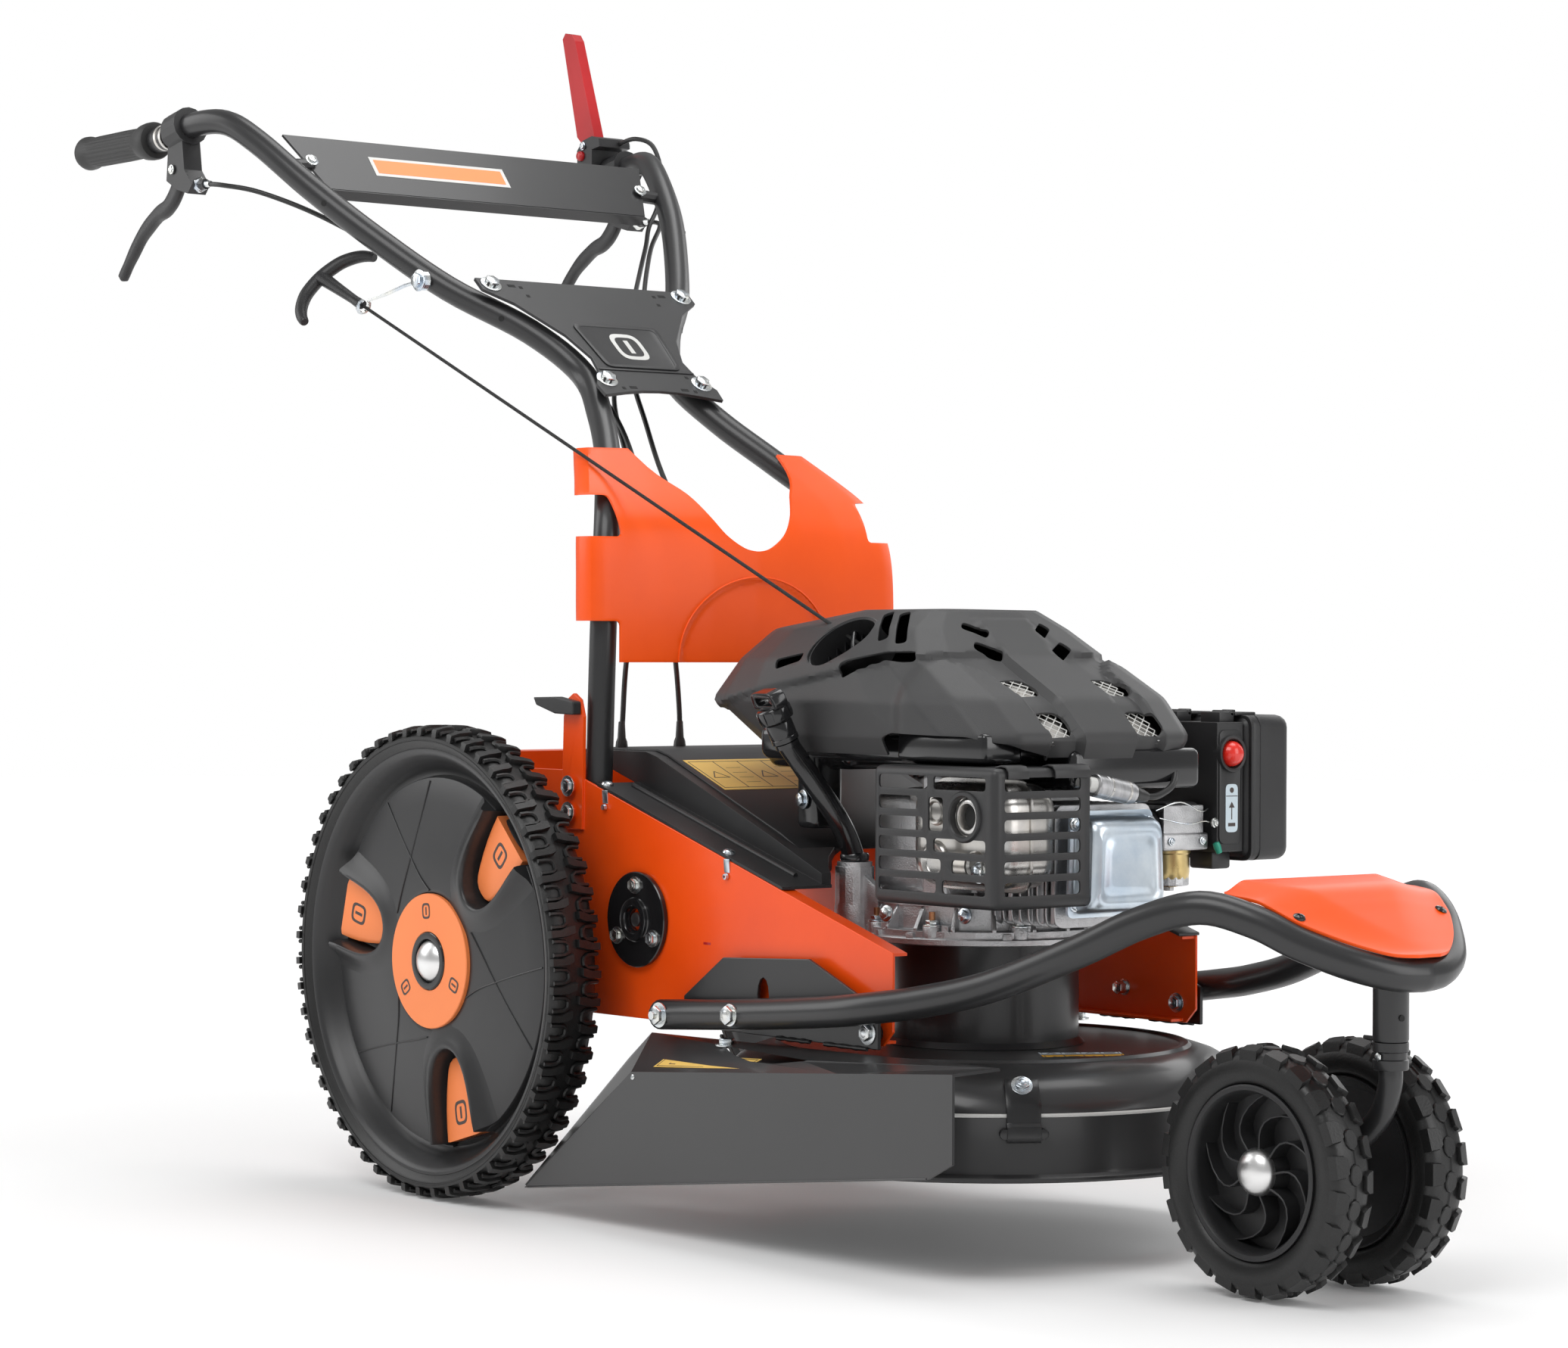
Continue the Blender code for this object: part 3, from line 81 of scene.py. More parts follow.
def procedural(name, colour, rough, metallic=0.0, mottle=(9.0, 0.12), grain=(700.0, 0.06, 0.0004),
               tone=None, rough_swing=0.06, coat=0.0, stretch=(1, 1, 1), specular=0.5, dust=None):
    """A surface whose colour, roughness and fine relief all vary with the place on the object.

    mottle is (scale, share of the second tone), grain is (scale, strength, depth).
    """
    made = bpy.data.materials.new(name)
    made.use_nodes = True
    tree = made.node_tree
    shader = tree.nodes["Principled BSDF"]
    shader.inputs["Metallic"].default_value = metallic
    shader.inputs["Specular IOR Level"].default_value = specular
    shader.inputs["Coat Weight"].default_value = coat
    shader.inputs["Coat Roughness"].default_value = 0.12
    place = node(tree, "ShaderNodeTexCoord")
    spread = node(tree, "ShaderNodeMapping")
    spread.inputs["Scale"].default_value = stretch
    wire(tree, place.outputs["Object"], spread.inputs["Vector"])

    cloud = node(tree, "ShaderNodeTexNoise", Scale=mottle[0], Detail=5.0, Roughness=0.6)
    wire(tree, spread.outputs["Vector"], cloud.inputs["Vector"])
    ramp = node(tree, "ShaderNodeValToRGB")
    ramp.color_ramp.elements[0].position = 0.30
    ramp.color_ramp.elements[1].position = 0.72
    second = tone or tuple(min(1.0, c * (1.0 + 2.0 * mottle[1])) for c in colour)
    first = tuple(c * (1.0 - mottle[1]) for c in colour)
    ramp.color_ramp.elements[0].color = (*first, 1.0)
    ramp.color_ramp.elements[1].color = (*second, 1.0)
    wire(tree, cloud.outputs["Fac"], ramp.inputs["Fac"])
    surface_colour = ramp.outputs["Color"]
    if dust:
        speck = node(tree, "ShaderNodeTexNoise", Scale=dust[1], Detail=8.0, Roughness=0.75)
        wire(tree, place.outputs["Object"], speck.inputs["Vector"])
        band = node(tree, "ShaderNodeMapRange")
        band.inputs["From Min"].default_value = 0.52
        band.inputs["From Max"].default_value = 0.80
        band.inputs["To Max"].default_value = dust[2]
        wire(tree, speck.outputs["Fac"], band.inputs["Value"])
        mixed = node(tree, "ShaderNodeMix", data_type="RGBA")
        for socket in mixed.inputs:
            if socket.name == "A" and socket.type == "RGBA":
                wire(tree, surface_colour, socket)
            if socket.name == "B" and socket.type == "RGBA":
                socket.default_value = (*dust[0], 1.0)
        wire(tree, band.outputs["Result"], mixed.inputs["Factor"])
        surface_colour = [out for out in mixed.outputs if out.type == "RGBA"][0]
    wire(tree, surface_colour, shader.inputs["Base Color"])

    swing = node(tree, "ShaderNodeMapRange")
    swing.inputs["To Min"].default_value = max(0.02, rough - rough_swing)
    swing.inputs["To Max"].default_value = min(1.0, rough + rough_swing)
    wire(tree, cloud.outputs["Fac"], swing.inputs["Value"])
    wire(tree, swing.outputs["Result"], shader.inputs["Roughness"])

    relief = node(tree, "ShaderNodeTexNoise", Scale=grain[0], Detail=3.0)
    wire(tree, spread.outputs["Vector"], relief.inputs["Vector"])
    bump = node(tree, "ShaderNodeBump", Strength=grain[1], Distance=grain[2])
    wire(tree, relief.outputs["Fac"], bump.inputs["Height"])
    wire(tree, bump.outputs["Normal"], shader.inputs["Normal"])
    return made


def look(*values, **more):
    return values, more


LOOKS = {
    "orange_paint": look((0.90, 0.075, 0.003), 0.30, mottle=(6.0, 0.05), coat=0.12, grain=(420.0, 0.10, 0.0006),
                         tone=(0.96, 0.090, 0.004), specular=0.4),
    "orange_plastic": look((0.88, 0.080, 0.002), 0.36, mottle=(5.0, 0.04), coat=0.04, grain=(900.0, 0.05, 0.0003),
                           tone=(0.95, 0.098, 0.003), specular=0.3),
    "orange_label": look((0.98, 0.26, 0.075), 0.45, mottle=(8.0, 0.03), grain=(1200.0, 0.04, 0.0002)),
    "charcoal_paint": look((0.016, 0.016, 0.017), 0.36, mottle=(7.0, 0.05), coat=0.15, grain=(520.0, 0.10, 0.0005),
                           tone=(0.020, 0.020, 0.021), rough_swing=0.03),
    "deck_paint": look((0.032, 0.032, 0.033), 0.32, mottle=(5.0, 0.04), coat=0.20, grain=(520.0, 0.05, 0.0004),
                       tone=(0.036, 0.036, 0.037), rough_swing=0.03),
    "black_paint": look((0.012, 0.012, 0.013), 0.32, mottle=(9.0, 0.15), coat=0.15, grain=(520.0, 0.12, 0.0005)),
    "guard_paint": look((0.022, 0.022, 0.023), 0.45, mottle=(9.0, 0.12), grain=(800.0, 0.20, 0.0006)),
    "cowl_plastic": look((0.032, 0.032, 0.033), 0.50, mottle=(6.0, 0.10), grain=(1500.0, 0.35, 0.0005),
                         tone=(0.042, 0.042, 0.043)),
    "black_plastic": look((0.016, 0.016, 0.017), 0.42, mottle=(8.0, 0.12), grain=(1400.0, 0.25, 0.0004),
                          tone=(0.024, 0.024, 0.025)),
    "rim_plastic": look((0.022, 0.022, 0.023), 0.34, mottle=(5.0, 0.12), grain=(1300.0, 0.18, 0.0004),
                        tone=(0.030, 0.030, 0.031)),
    "gloss_black": look((0.010, 0.010, 0.011), 0.16, mottle=(8.0, 0.10), grain=(300.0, 0.04, 0.0004), coat=0.3),
    "grip_rubber": look((0.014, 0.014, 0.014), 0.52, mottle=(10.0, 0.15), grain=(900.0, 0.30, 0.0006)),
    "tyre_rubber": look((0.008, 0.008, 0.008), 0.40, mottle=(14.0, 0.15), grain=(500.0, 0.30, 0.0006),
                        tone=(0.013, 0.013, 0.013), dust=((0.040, 0.039, 0.038), 60.0, 0.22)),
    "cable_rubber": look((0.012, 0.012, 0.012), 0.38, mottle=(30.0, 0.15), grain=(1500.0, 0.20, 0.0003)),
    "rope_cord": look((0.010, 0.010, 0.010), 0.80, mottle=(400.0, 0.50), grain=(2600.0, 0.90, 0.0006),
                      tone=(0.030, 0.030, 0.030)),
    "red_plastic": look((0.40, 0.006, 0.009), 0.30, mottle=(9.0, 0.07), coat=0.15, grain=(1000.0, 0.08, 0.0003),
                        tone=(0.48, 0.009, 0.012)),
    "red_rubber": look((0.72, 0.022, 0.012), 0.25, mottle=(40.0, 0.12), coat=0.5, grain=(700.0, 0.05, 0.0003)),
    "zinc": look((0.60, 0.68, 0.78), 0.26, 1.0, mottle=(38.0, 0.10), grain=(900.0, 0.14, 0.0003),
                 tone=(0.86, 0.84, 0.76)),
    "zinc_sheet": look((0.55, 0.66, 0.78), 0.34, 1.0, mottle=(16.0, 0.10), grain=(700.0, 0.18, 0.0004),
                       tone=(0.78, 0.84, 0.88)),
    "chrome": look((0.80, 0.80, 0.80), 0.30, 1.0, mottle=(12.0, 0.05), grain=(300.0, 0.05, 0.0002),
                   tone=(0.90, 0.90, 0.89)),
    "cast_aluminium": look((0.50, 0.50, 0.51), 0.40, 1.0, mottle=(24.0, 0.16), grain=(650.0, 0.55, 0.0010),
                           tone=(0.70, 0.70, 0.71)),
    "silver_sheet": look((0.62, 0.62, 0.62), 0.28, 1.0, mottle=(20.0, 0.16), grain=(260.0, 0.12, 0.0005),
                         tone=(0.78, 0.74, 0.68)),
    "bare_steel": look((0.46, 0.46, 0.47), 0.33, 1.0, mottle=(30.0, 0.15), grain=(500.0, 0.22, 0.0004),
                       stretch=(1.0, 8.0, 1.0)),
    "copper": look((0.42, 0.20, 0.10), 0.40, 1.0, mottle=(60.0, 0.25), grain=(900.0, 0.25, 0.0003)),
    "brass": look((0.62, 0.46, 0.20), 0.30, 1.0, mottle=(30.0, 0.12), grain=(700.0, 0.16, 0.0003),
                  tone=(0.76, 0.60, 0.30)),
    "pale_label": look((0.60, 0.70, 0.76), 0.40, mottle=(14.0, 0.05), grain=(900.0, 0.04, 0.0002)),
    "amber_label": look((0.84, 0.55, 0.14), 0.42, mottle=(14.0, 0.05), grain=(900.0, 0.04, 0.0002)),
    "yellow_label": look((0.82, 0.42, 0.02), 0.40, mottle=(14.0, 0.05), grain=(900.0, 0.04, 0.0002)),
    "ink": look((0.055, 0.040, 0.036), 0.45, mottle=(20.0, 0.10), grain=(900.0, 0.05, 0.0002)),
    # Pale grey; the deck's painted highlight line uses it too.
    "pale_ring": look((0.62, 0.62, 0.60), 0.35, mottle=(20.0, 0.06), grain=(900.0, 0.06, 0.0003)),
    "green_plastic": look((0.02, 0.30, 0.20), 0.35, mottle=(30.0, 0.08), grain=(900.0, 0.10, 0.0003)),
    # Painted shade: the near-black surface of thin discs and boxes that stand for the dark inside of holes and slots;
    # in the muffler's bore it is also its soot.
    "painted_hole_shade": look((0.010, 0.010, 0.010), 0.85, mottle=(30.0, 0.25), grain=(900.0, 0.5, 0.0006)),
}
MATS = {name: procedural(name, *values, **more) for name, (values, more) in LOOKS.items()}


# ------------------------------------------------------------------ mesh tools
def fresh(bm, name="shape"):
    mesh = bpy.data.meshes.new(name)
    bmesh.ops.recalc_face_normals(bm, faces=bm.faces)
    bm.to_mesh(mesh)
    bm.free()
    obj = bpy.data.objects.new(name, mesh)
    bpy.context.scene.collection.objects.link(obj)
    return obj


def bake(obj):
    """Replaces an object by the mesh that its modifiers or its bevel make."""
    bpy.context.view_layer.update()
    graph = bpy.context.evaluated_depsgraph_get()
    mesh = bpy.data.meshes.new_from_object(obj.evaluated_get(graph))
    mesh.transform(obj.matrix_world)
    bm = bmesh.new()
    bm.from_mesh(mesh)
    bmesh.ops.remove_doubles(bm, verts=bm.verts, dist=0.000005)
    made = fresh(bm)
    bpy.data.objects.remove(obj, do_unlink=True)
    return made


def joined(*objs):
    """One mesh of several shapes, without a Boolean."""
    bm = bmesh.new()
    for obj in objs:
        obj.data.transform(obj.matrix_world)
        bm.from_mesh(obj.data)
        bpy.data.objects.remove(obj, do_unlink=True)
    return fresh(bm)


def cut(base, *tools):
    for tool in tools:
        modifier = base.modifiers.new("cut", "BOOLEAN")
        modifier.operation = "DIFFERENCE"
        modifier.solver = "EXACT"
        modifier.object = tool
    made = bake(base)
    for tool in tools:
        bpy.data.objects.remove(tool, do_unlink=True)
    return made


def softened(obj, width, segments=2, angle=32.0):
    modifier = obj.modifiers.new("edge", "BEVEL")
    modifier.width = width
    modifier.segments = segments
    modifier.limit_method = "ANGLE"
    modifier.angle_limit = math.radians(angle)
    modifier.use_clamp_overlap = True
    return bake(obj)


def box(low, high):
    bm = bmesh.new()
    low, high = Vector(low), Vector(high)
    spot = Matrix.Translation((low + high) / 2) @ Matrix.Diagonal((*(high - low), 1.0))
    bmesh.ops.create_cube(bm, size=1.0, matrix=spot)
    return fresh(bm)


def rod(start, end, radius, sides=24, end_radius=None):
    bm = bmesh.new()
    start, end = Vector(start), Vector(end)
    along = end - start
    spot = Matrix.Translation((start + end) / 2) @ along.to_track_quat("Z", "Y").to_matrix().to_4x4()
    tip = radius if end_radius is None else end_radius
    bmesh.ops.create_cone(bm, cap_ends=True, segments=sides, radius1=radius, radius2=tip,
                          depth=along.length, matrix=spot)
    return fresh(bm)


def prism(outline, axis, start, end):
    """Extrudes a flat outline along X, Y or Z. The outline holds the other two coordinates."""
    bm = bmesh.new()
    spots = {"X": lambda a, b: (start, a, b), "Y": lambda a, b: (a, start, b),
             "Z": lambda a, b: (a, b, start)}
    direction = {"X": (1, 0, 0), "Y": (0, 1, 0), "Z": (0, 0, 1)}[axis]
    face = bm.faces.new([bm.verts.new(spots[axis](a, b)) for a, b in outline])
    moved = bmesh.ops.extrude_face_region(bm, geom=[face])["geom"]
    verts = [item for item in moved if isinstance(item, bmesh.types.BMVert)]
    bmesh.ops.translate(bm, verts=verts, vec=Vector(direction) * (end - start))
    return fresh(bm)


def side_prism(outline, start, end):
    """A plate across the mower, from an (x, z) outline."""
    return prism([(x + AXLE_X, z) for x, z in outline], "Y", start, end)


def block(low, high, edge, segments=2):
    """A box with rounded edges."""
    return softened(box(at(*low), at(*high)), edge, segments)


def loft(rows, closed=False, caps=(0, -1)):
    """Skins rows of points of equal length. closed joins each row's ends, and caps says which rows get a face."""
    bm = bmesh.new()
    made = [[bm.verts.new(spot) for spot in row] for row in rows]
    count = len(made[0])
    for low, high in zip(made, made[1:]):
        for k in range(count if closed else count - 1):
            n = (k + 1) % count
            bm.faces.new((low[k], low[n], high[n], high[k]))
    for end in caps if closed else ():
        bm.faces.new(made[end])
    return fresh(bm)


def thick(sheet, wall, offset=0.0):
    modifier = sheet.modifiers.new("wall", "SOLIDIFY")
    modifier.thickness = wall
    modifier.offset = offset
    return bake(sheet)


def smooth_route(points, steps):
    """Reads a smooth curve through the route's own points."""
    spots = [Vector(point) for point in points]
    last = len(spots) - 1
    route = []
    for index in range(last):
        a, b = spots[max(index - 1, 0)], spots[index]
        c, d = spots[index + 1], spots[min(index + 2, last)]
        for step in range(steps):
            t = step / steps
            route.append(0.5 * (2 * b + (c - a) * t + (2 * a - 5 * b + 4 * c - d) * t * t
                                + (3 * b - a - 3 * c + d) * t * t * t))
    route.append(spots[last])
    return route


def tube(route, radius, resolution=8, radii=None):
    curve = bpy.data.curves.new("tube", "CURVE")
    curve.dimensions = "3D"
    spline = curve.splines.new("POLY")
    spline.points.add(len(route) - 1)
    for k, (point, spot) in enumerate(zip(spline.points, route)):
        point.co = (*spot, 1.0)
        point.radius = 1.0 if radii is None else radii[k]
    curve.bevel_depth = radius
    curve.bevel_resolution = resolution
    curve.use_fill_caps = True
    obj = bpy.data.objects.new("tube", curve)
    bpy.context.scene.collection.objects.link(obj)
    return bake(obj)


def turned(profile, steps=64):
    """Turns a (radius, height) profile about local Z. The profile is closed onto itself."""
    rows = []
    for k in range(steps):
        a = 2 * math.pi * k / steps
        rows.append([(r * math.cos(a), r * math.sin(a), h) for r, h in profile])
    bm = bmesh.new()
    made = [[bm.verts.new(spot) for spot in row] for row in rows]
    count = len(profile)
    open_ends = profile[0][0] < 1e-9
    for k in range(steps):
        a, b = made[k], made[(k + 1) % steps]
        for i in range(count - 1 if open_ends else count):
            n = (i + 1) % count
            bm.faces.new((a[i], a[n], b[n], b[i]))
    bmesh.ops.remove_doubles(bm, verts=bm.verts, dist=0.0000005)
    return fresh(bm)


def rounded(profile, radius, steps=3):
    """Rounds the corners of an open or closed (a, b) outline with short arcs."""
    out = []
    count = len(profile)
    for i in range(count):
        p = Vector(profile[i])
        a, b = Vector(profile[i - 1]), Vector(profile[(i + 1) % count])
        r = min(radius, (a - p).length * 0.45, (b - p).length * 0.45)
        start, end = p + (a - p).normalized() * r, p + (b - p).normalized() * r
        for k in range(steps + 1):
            t = k / steps
            out.append(tuple(start * (1 - t) ** 2 + p * 2 * t * (1 - t) + end * t * t))
    return out


def axes(x, y, z, place=(0, 0, 0)):
    """Matrix that turns the local axes to x, y and z and moves the origin to place."""
    return Matrix.Translation(Vector(place)) @ Matrix((x, y, z)).transposed().to_4x4()


def frame_at(place, direction):
    """Matrix whose Z runs along direction and whose origin is place."""
    z = Vector(direction).normalized()
    x = (Vector((1, 0, 0)) if abs(z.z) > 0.98 else UP).cross(z).normalized()
    return axes(x, z.cross(x), z, place)


def placed(obj, matrix):
    obj.data.transform(matrix)
    return obj


def turned_at(place, direction, profile, steps):
    """A turned shape that starts at place and has its axis along direction."""
    return placed(turned(profile, steps), frame_at(place, direction))


def upright(place, profile, steps):
    """A turned shape with its axis straight up through place."""
    return placed(turned(profile, steps), Matrix.Translation(place))


def pin(start, end, radius, sides, edge):
    """A rod with a rounded edge at its ends."""
    return softened(rod(start, end, radius, sides), edge)


def hex_bolt(place, direction, radius=0.0075, height=0.005, washer=1.45):
    """Flanged hexagon head with a domed top and a washer."""
    head = rod((0, 0, 0.0012), (0, 0, height), radius, 6)
    head = softened(head, radius * 0.10, 2, 20)
    plate = softened(rod((0, 0, -0.0006), (0, 0, 0.0014), radius * washer, 24), 0.0004, 2)
    dimple = rod((0, 0, height - 0.0001), (0, 0, height + 0.0005), radius * 0.55, 16, radius * 0.42)
    return placed(joined(head, plate, dimple), frame_at(place, direction))


def pan_screw(place, direction, radius=0.006, height=0.003):
    """Domed screw head with a cross recess."""
    profile = [(0.0, height), (radius * 0.5, height * 0.93), (radius * 0.85, height * 0.6),
               (radius, 0.0), (0.0, 0.0)]
    head = turned(profile, 20)
    slots = [box((-radius * 0.55, -0.0006, height * 0.55), (radius * 0.55, 0.0006, height * 1.3)),
             box((-0.0006, -radius * 0.55, height * 0.55), (0.0006, radius * 0.55, height * 1.3))]
    return placed(cut(head, *slots), frame_at(place, direction))


def piece(shape, name, material, body="chassis", replaces=(), smooth=38.0):
    """Names a finished shape or list of shapes, gives it its material and rides it on its body."""
    obj = joined(*shape) if isinstance(shape, (list, tuple)) else shape
    obj.name = name
    obj.data.name = name
    obj.data.materials.clear()
    obj.data.materials.append(MATS[material])
    for polygon in obj.data.polygons:
        polygon.use_smooth = True
    obj.data.set_sharp_from_angle(angle=math.radians(smooth))
    if replaces:
        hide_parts(*replaces)
    if body:
        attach(obj, body)
    return obj


def dress(name, material, bevel=0.0008, segments=2):
    """Gives a CAD node its material, and a rounded edge that catches the light."""
    obj = NODES[name]
    obj.data.materials.clear()
    obj.data.materials.append(MATS[material])
    weld = obj.modifiers.new("weld", "WELD")
    weld.merge_threshold = 0.00001
    if bevel:
        edge = obj.modifiers.new("edge", "BEVEL")
        edge.width = bevel
        edge.segments = segments
        edge.limit_method = "ANGLE"
        edge.angle_limit = math.radians(30)
        edge.harden_normals = False
    normals = obj.modifiers.new("normals", "WEIGHTED_NORMAL")
    normals.keep_sharp = True
    return obj


# ------------------------------------------------------------------ camera and studio
def studio():
    azimuth, elevation, roll = math.radians(51.3), math.radians(0.4), 0.0035
    back = Vector((math.sin(azimuth) * math.cos(elevation), -math.cos(azimuth) * math.cos(elevation),
                   math.sin(elevation)))
    right = Vector((math.cos(azimuth), math.sin(azimuth), 0))
    up = back.cross(right)
    turned_right = right * math.cos(roll) + up * math.sin(roll)
    turned_up = up * math.cos(roll) - right * math.sin(roll)
    data = bpy.data.cameras.new("camera")
    data.sensor_width = 36.0
    data.lens = 91.07
    data.shift_x, data.shift_y = -0.01153, 0.00043
    data.clip_end = 60.0
    camera = bpy.data.objects.new("camera", data)
    bpy.context.scene.collection.objects.link(camera)
    camera.matrix_world = axes(turned_right, turned_up, back, at(3.587, -2.662, 0.595))
    bpy.context.scene.camera = camera

    world = bpy.data.worlds.new("studio")
    bpy.context.scene.world = world
    world.use_nodes = True
    tree = world.node_tree
    tree.nodes["Background"].inputs["Color"].default_value = (1.0, 1.0, 1.0, 1.0)
    tree.nodes["Background"].inputs["Strength"].default_value = 0.40
    seen = node(tree, "ShaderNodeBackground", Color=(1.0, 1.0, 1.0, 1.0), Strength=1.0)
    path = node(tree, "ShaderNodeLightPath")
    mix = node(tree, "ShaderNodeMixShader")
    wire(tree, path.outputs["Is Camera Ray"], mix.inputs["Fac"])
    wire(tree, tree.nodes["Background"].outputs["Background"], mix.inputs[1])
    wire(tree, seen.outputs["Background"], mix.inputs[2])
    wire(tree, mix.outputs["Shader"], tree.nodes["World Output"].inputs["Surface"])
    bpy.context.scene.view_settings.view_transform = "Standard"

    aim = at(0.35, 0.0, 0.45)
    for name, place, size, power in (
            ("key", (1.3, -2.2, 2.9), (2.2, 1.6), 46.0), ("front", (3.4, 0.9, 1.5), (1.6, 2.2), 30.0),
            ("rear", (-1.9, -1.9, 1.9), (1.6, 2.2), 26.0), ("top", (0.3, 0.6, 3.1), (2.6, 1.4), 36.0),
            ("left", (-0.2, 3.0, 1.8), (2.4, 1.8), 20.0)):
        light = bpy.data.lights.new(name, "AREA")
        light.shape = "RECTANGLE"
        light.size, light.size_y = size
        light.energy = power
        lamp = bpy.data.objects.new(name, light)
        lamp.matrix_world = frame_at(at(*place), at(*place) - aim)
        bpy.context.scene.collection.objects.link(lamp)

    floor_mat = procedural("floor", (0.90, 0.90, 0.90), 0.55, mottle=(0.6, 0.004), grain=(90.0, 0.02, 0.0005),
                           specular=0.2)
    # The floor glows more with distance, so that it runs into the background without an edge.
    tree = floor_mat.node_tree
    tree.nodes["Principled BSDF"].inputs["Emission Color"].default_value = (1.0, 1.0, 1.0, 1.0)
    place = node(tree, "ShaderNodeTexCoord")
    away = node(tree, "ShaderNodeVectorMath", operation="LENGTH")
    wire(tree, place.outputs["Object"], away.inputs[0])
    glow = node(tree, "ShaderNodeMapRange")
    for socket, value in (("From Min", 0.9), ("From Max", 5.0), ("To Min", 0.07), ("To Max", 0.72)):
        glow.inputs[socket].default_value = value
    wire(tree, away.outputs["Value"], glow.inputs["Value"])
    wire(tree, glow.outputs["Result"], tree.nodes["Principled BSDF"].inputs["Emission Strength"])
    bm = bmesh.new()
    bmesh.ops.create_circle(bm, cap_ends=True, radius=14.0, segments=96)
    floor = fresh(bm, "floor")
    floor.data.materials.append(floor_mat)
    floor.location = at(0.4, 0.0, -0.0005)


# ------------------------------------------------------------------ rear wheels
REAR_R, TREAD_LUGS = 0.255, 54
DISC_IN, DISC_OUT = (0.0790, 0.0142), (0.1975, 0.0045)
SCOOP_MIDDLE = 45.4
SCOOP_SIDE = ((0.1980, 12.0), (0.1880, 12.2), (0.1760, 12.8), (0.1620, 13.7), (0.1480, 14.5), (0.1350, 14.9),
              (0.1240, 14.6), (0.1150, 13.6), (0.1075, 11.8), (0.1020, 9.2), (0.0980, 6.0), (0.0960, 3.0),
              (0.0955, 0.0))
INSERT_SIDE = ((0.1955, 9.6), (0.1800, 10.2), (0.1620, 10.6), (0.1450, 10.5), (0.1290, 9.9), (0.1180, 9.0),
               (0.1110, 7.4), (0.1070, 4.4), (0.1055, 0.0))
HOOD_FLOOR, HOOD_SINK = -0.0125, 0.0008
# The raised hood's section: distance from its crest and share of its height, and the two points of its foot.
HOOD_PROFILE = ((0.030, 0.0), (0.022, 0.08), (0.015, 0.30), (0.009, 0.66), (0.0045, 0.92), (0.0015, 1.0),
                (-0.0003, 0.94), (-0.0014, 0.70), (-0.0022, 0.30), (-0.0030, None), (0.030, None))


def mirrored(side, inward=0.0, lift=0.0, turn=0.0):
    """A U-shaped outline from one of its sides, as (radius, degrees)."""
    low = [(r + lift * (1 - a / side[0][1]), turn + SCOOP_MIDDLE - max(0.0, a - inward)) for r, a in side]
    high = [(r + lift * (1 - a / side[0][1]), turn + SCOOP_MIDDLE + max(0.0, a - inward)) for r, a in side]
    return low + list(reversed(high[:-1]))


def disc_height(radius):
    """Height of the rim's conical face at a radius."""
    share = (radius - DISC_IN[0]) / (DISC_OUT[0] - DISC_IN[0])
    return DISC_IN[1] + (DISC_OUT[1] - DISC_IN[1]) * min(1.0, max(0.0, share))


def polar(radius, degrees, z=0.0):
    angle = math.radians(degrees)
    return Vector((radius * math.cos(angle), radius * math.sin(angle), z))


def wheel_frame(centre, side):
    """Local Z points away from the mower, local Y points up."""
    if side < 0:
        turn = Matrix(((1, 0, 0), (0, 0, -1), (0, 1, 0)))
    else:
        turn = Matrix(((-1, 0, 0), (0, 0, 1), (0, 1, 0)))
    return Matrix.Translation(centre) @ turn.to_4x4()


def lug_block(outline, low, high, inset):
    """A tread block as a stack of three loops: its foot, its shoulder and its inset top.

    outline is a list of (turn angle, z) and low or high are functions from z to a radius.
    """
    rows = []
    middle_a = sum(a for a, _ in outline) / len(outline)
    middle_z = sum(z for _, z in outline) / len(outline)
    for height, pull in ((0.0, -inset * 0.9), (0.80, 0.0), (1.0, inset)):
        row = []
        for a, z in outline:
            radius = low(z) + (high(z) - low(z)) * height
            away = Vector(((a - middle_a) * radius, z - middle_z))
            length = away.length
            scale = (length - pull) / length if length > 1e-6 else 1.0
            row.append(polar(radius, math.degrees(middle_a + away.x * scale / radius),
                             middle_z + away.y * scale))
        rows.append(row)
    return loft(rows, closed=True)


def rear_lugs():
    """Narrow ribs from each shoulder to the middle, and a U-shaped lip between each pair of ribs."""
    pitch = 2 * math.pi / TREAD_LUGS
    half = 0.155 * pitch

    def foot(z):
        return 0.2462 - 26.0 * max(0.0, abs(z) - 0.020) ** 2

    def crown(z):
        return REAR_R - 0.0003 - 9.0 * max(0.0, abs(z) - 0.014) ** 2 * (1 + 60 * max(0.0, abs(z) - 0.028))

    blocks = []
    for side in (-1, 1):
        for k in range(TREAD_LUGS):
            a = pitch * (k + (0.5 if side > 0 else 0.0))
            lean = half * 0.9
            tip = 0.001 if k % 2 else 0.005
            outline = [(a - half * 0.85, side * 0.0308), (a - half * 0.85, side * 0.020),
                       (a - half * 1.1 + lean * 0.5, side * 0.011), (a - half * 0.9 + lean, side * tip),
                       (a + half * 0.9 + lean, side * tip), (a + half * 1.1 + lean * 0.5, side * 0.011),
                       (a + half * 0.85, side * 0.020), (a + half * 0.85, side * 0.0308)]
            blocks.append(lug_block(outline, foot, crown, inset=0.0007))
            middle, wide = a + pitch * 0.5, pitch * 0.245
            path = [(middle - wide, 0.0275), (middle - wide, 0.0200), (middle - wide * 0.92, 0.0135),
                    (middle - wide * 0.50, 0.0098), (middle, 0.0092), (middle + wide * 0.50, 0.0098),
                    (middle + wide * 0.92, 0.0135), (middle + wide, 0.0200), (middle + wide, 0.0275)]
            route = [polar(crown(z) - 0.0048, math.degrees(turn), side * z) for turn, z in path]
            blocks.append(tube(route, 0.0024, 1))
    return joined(*blocks)


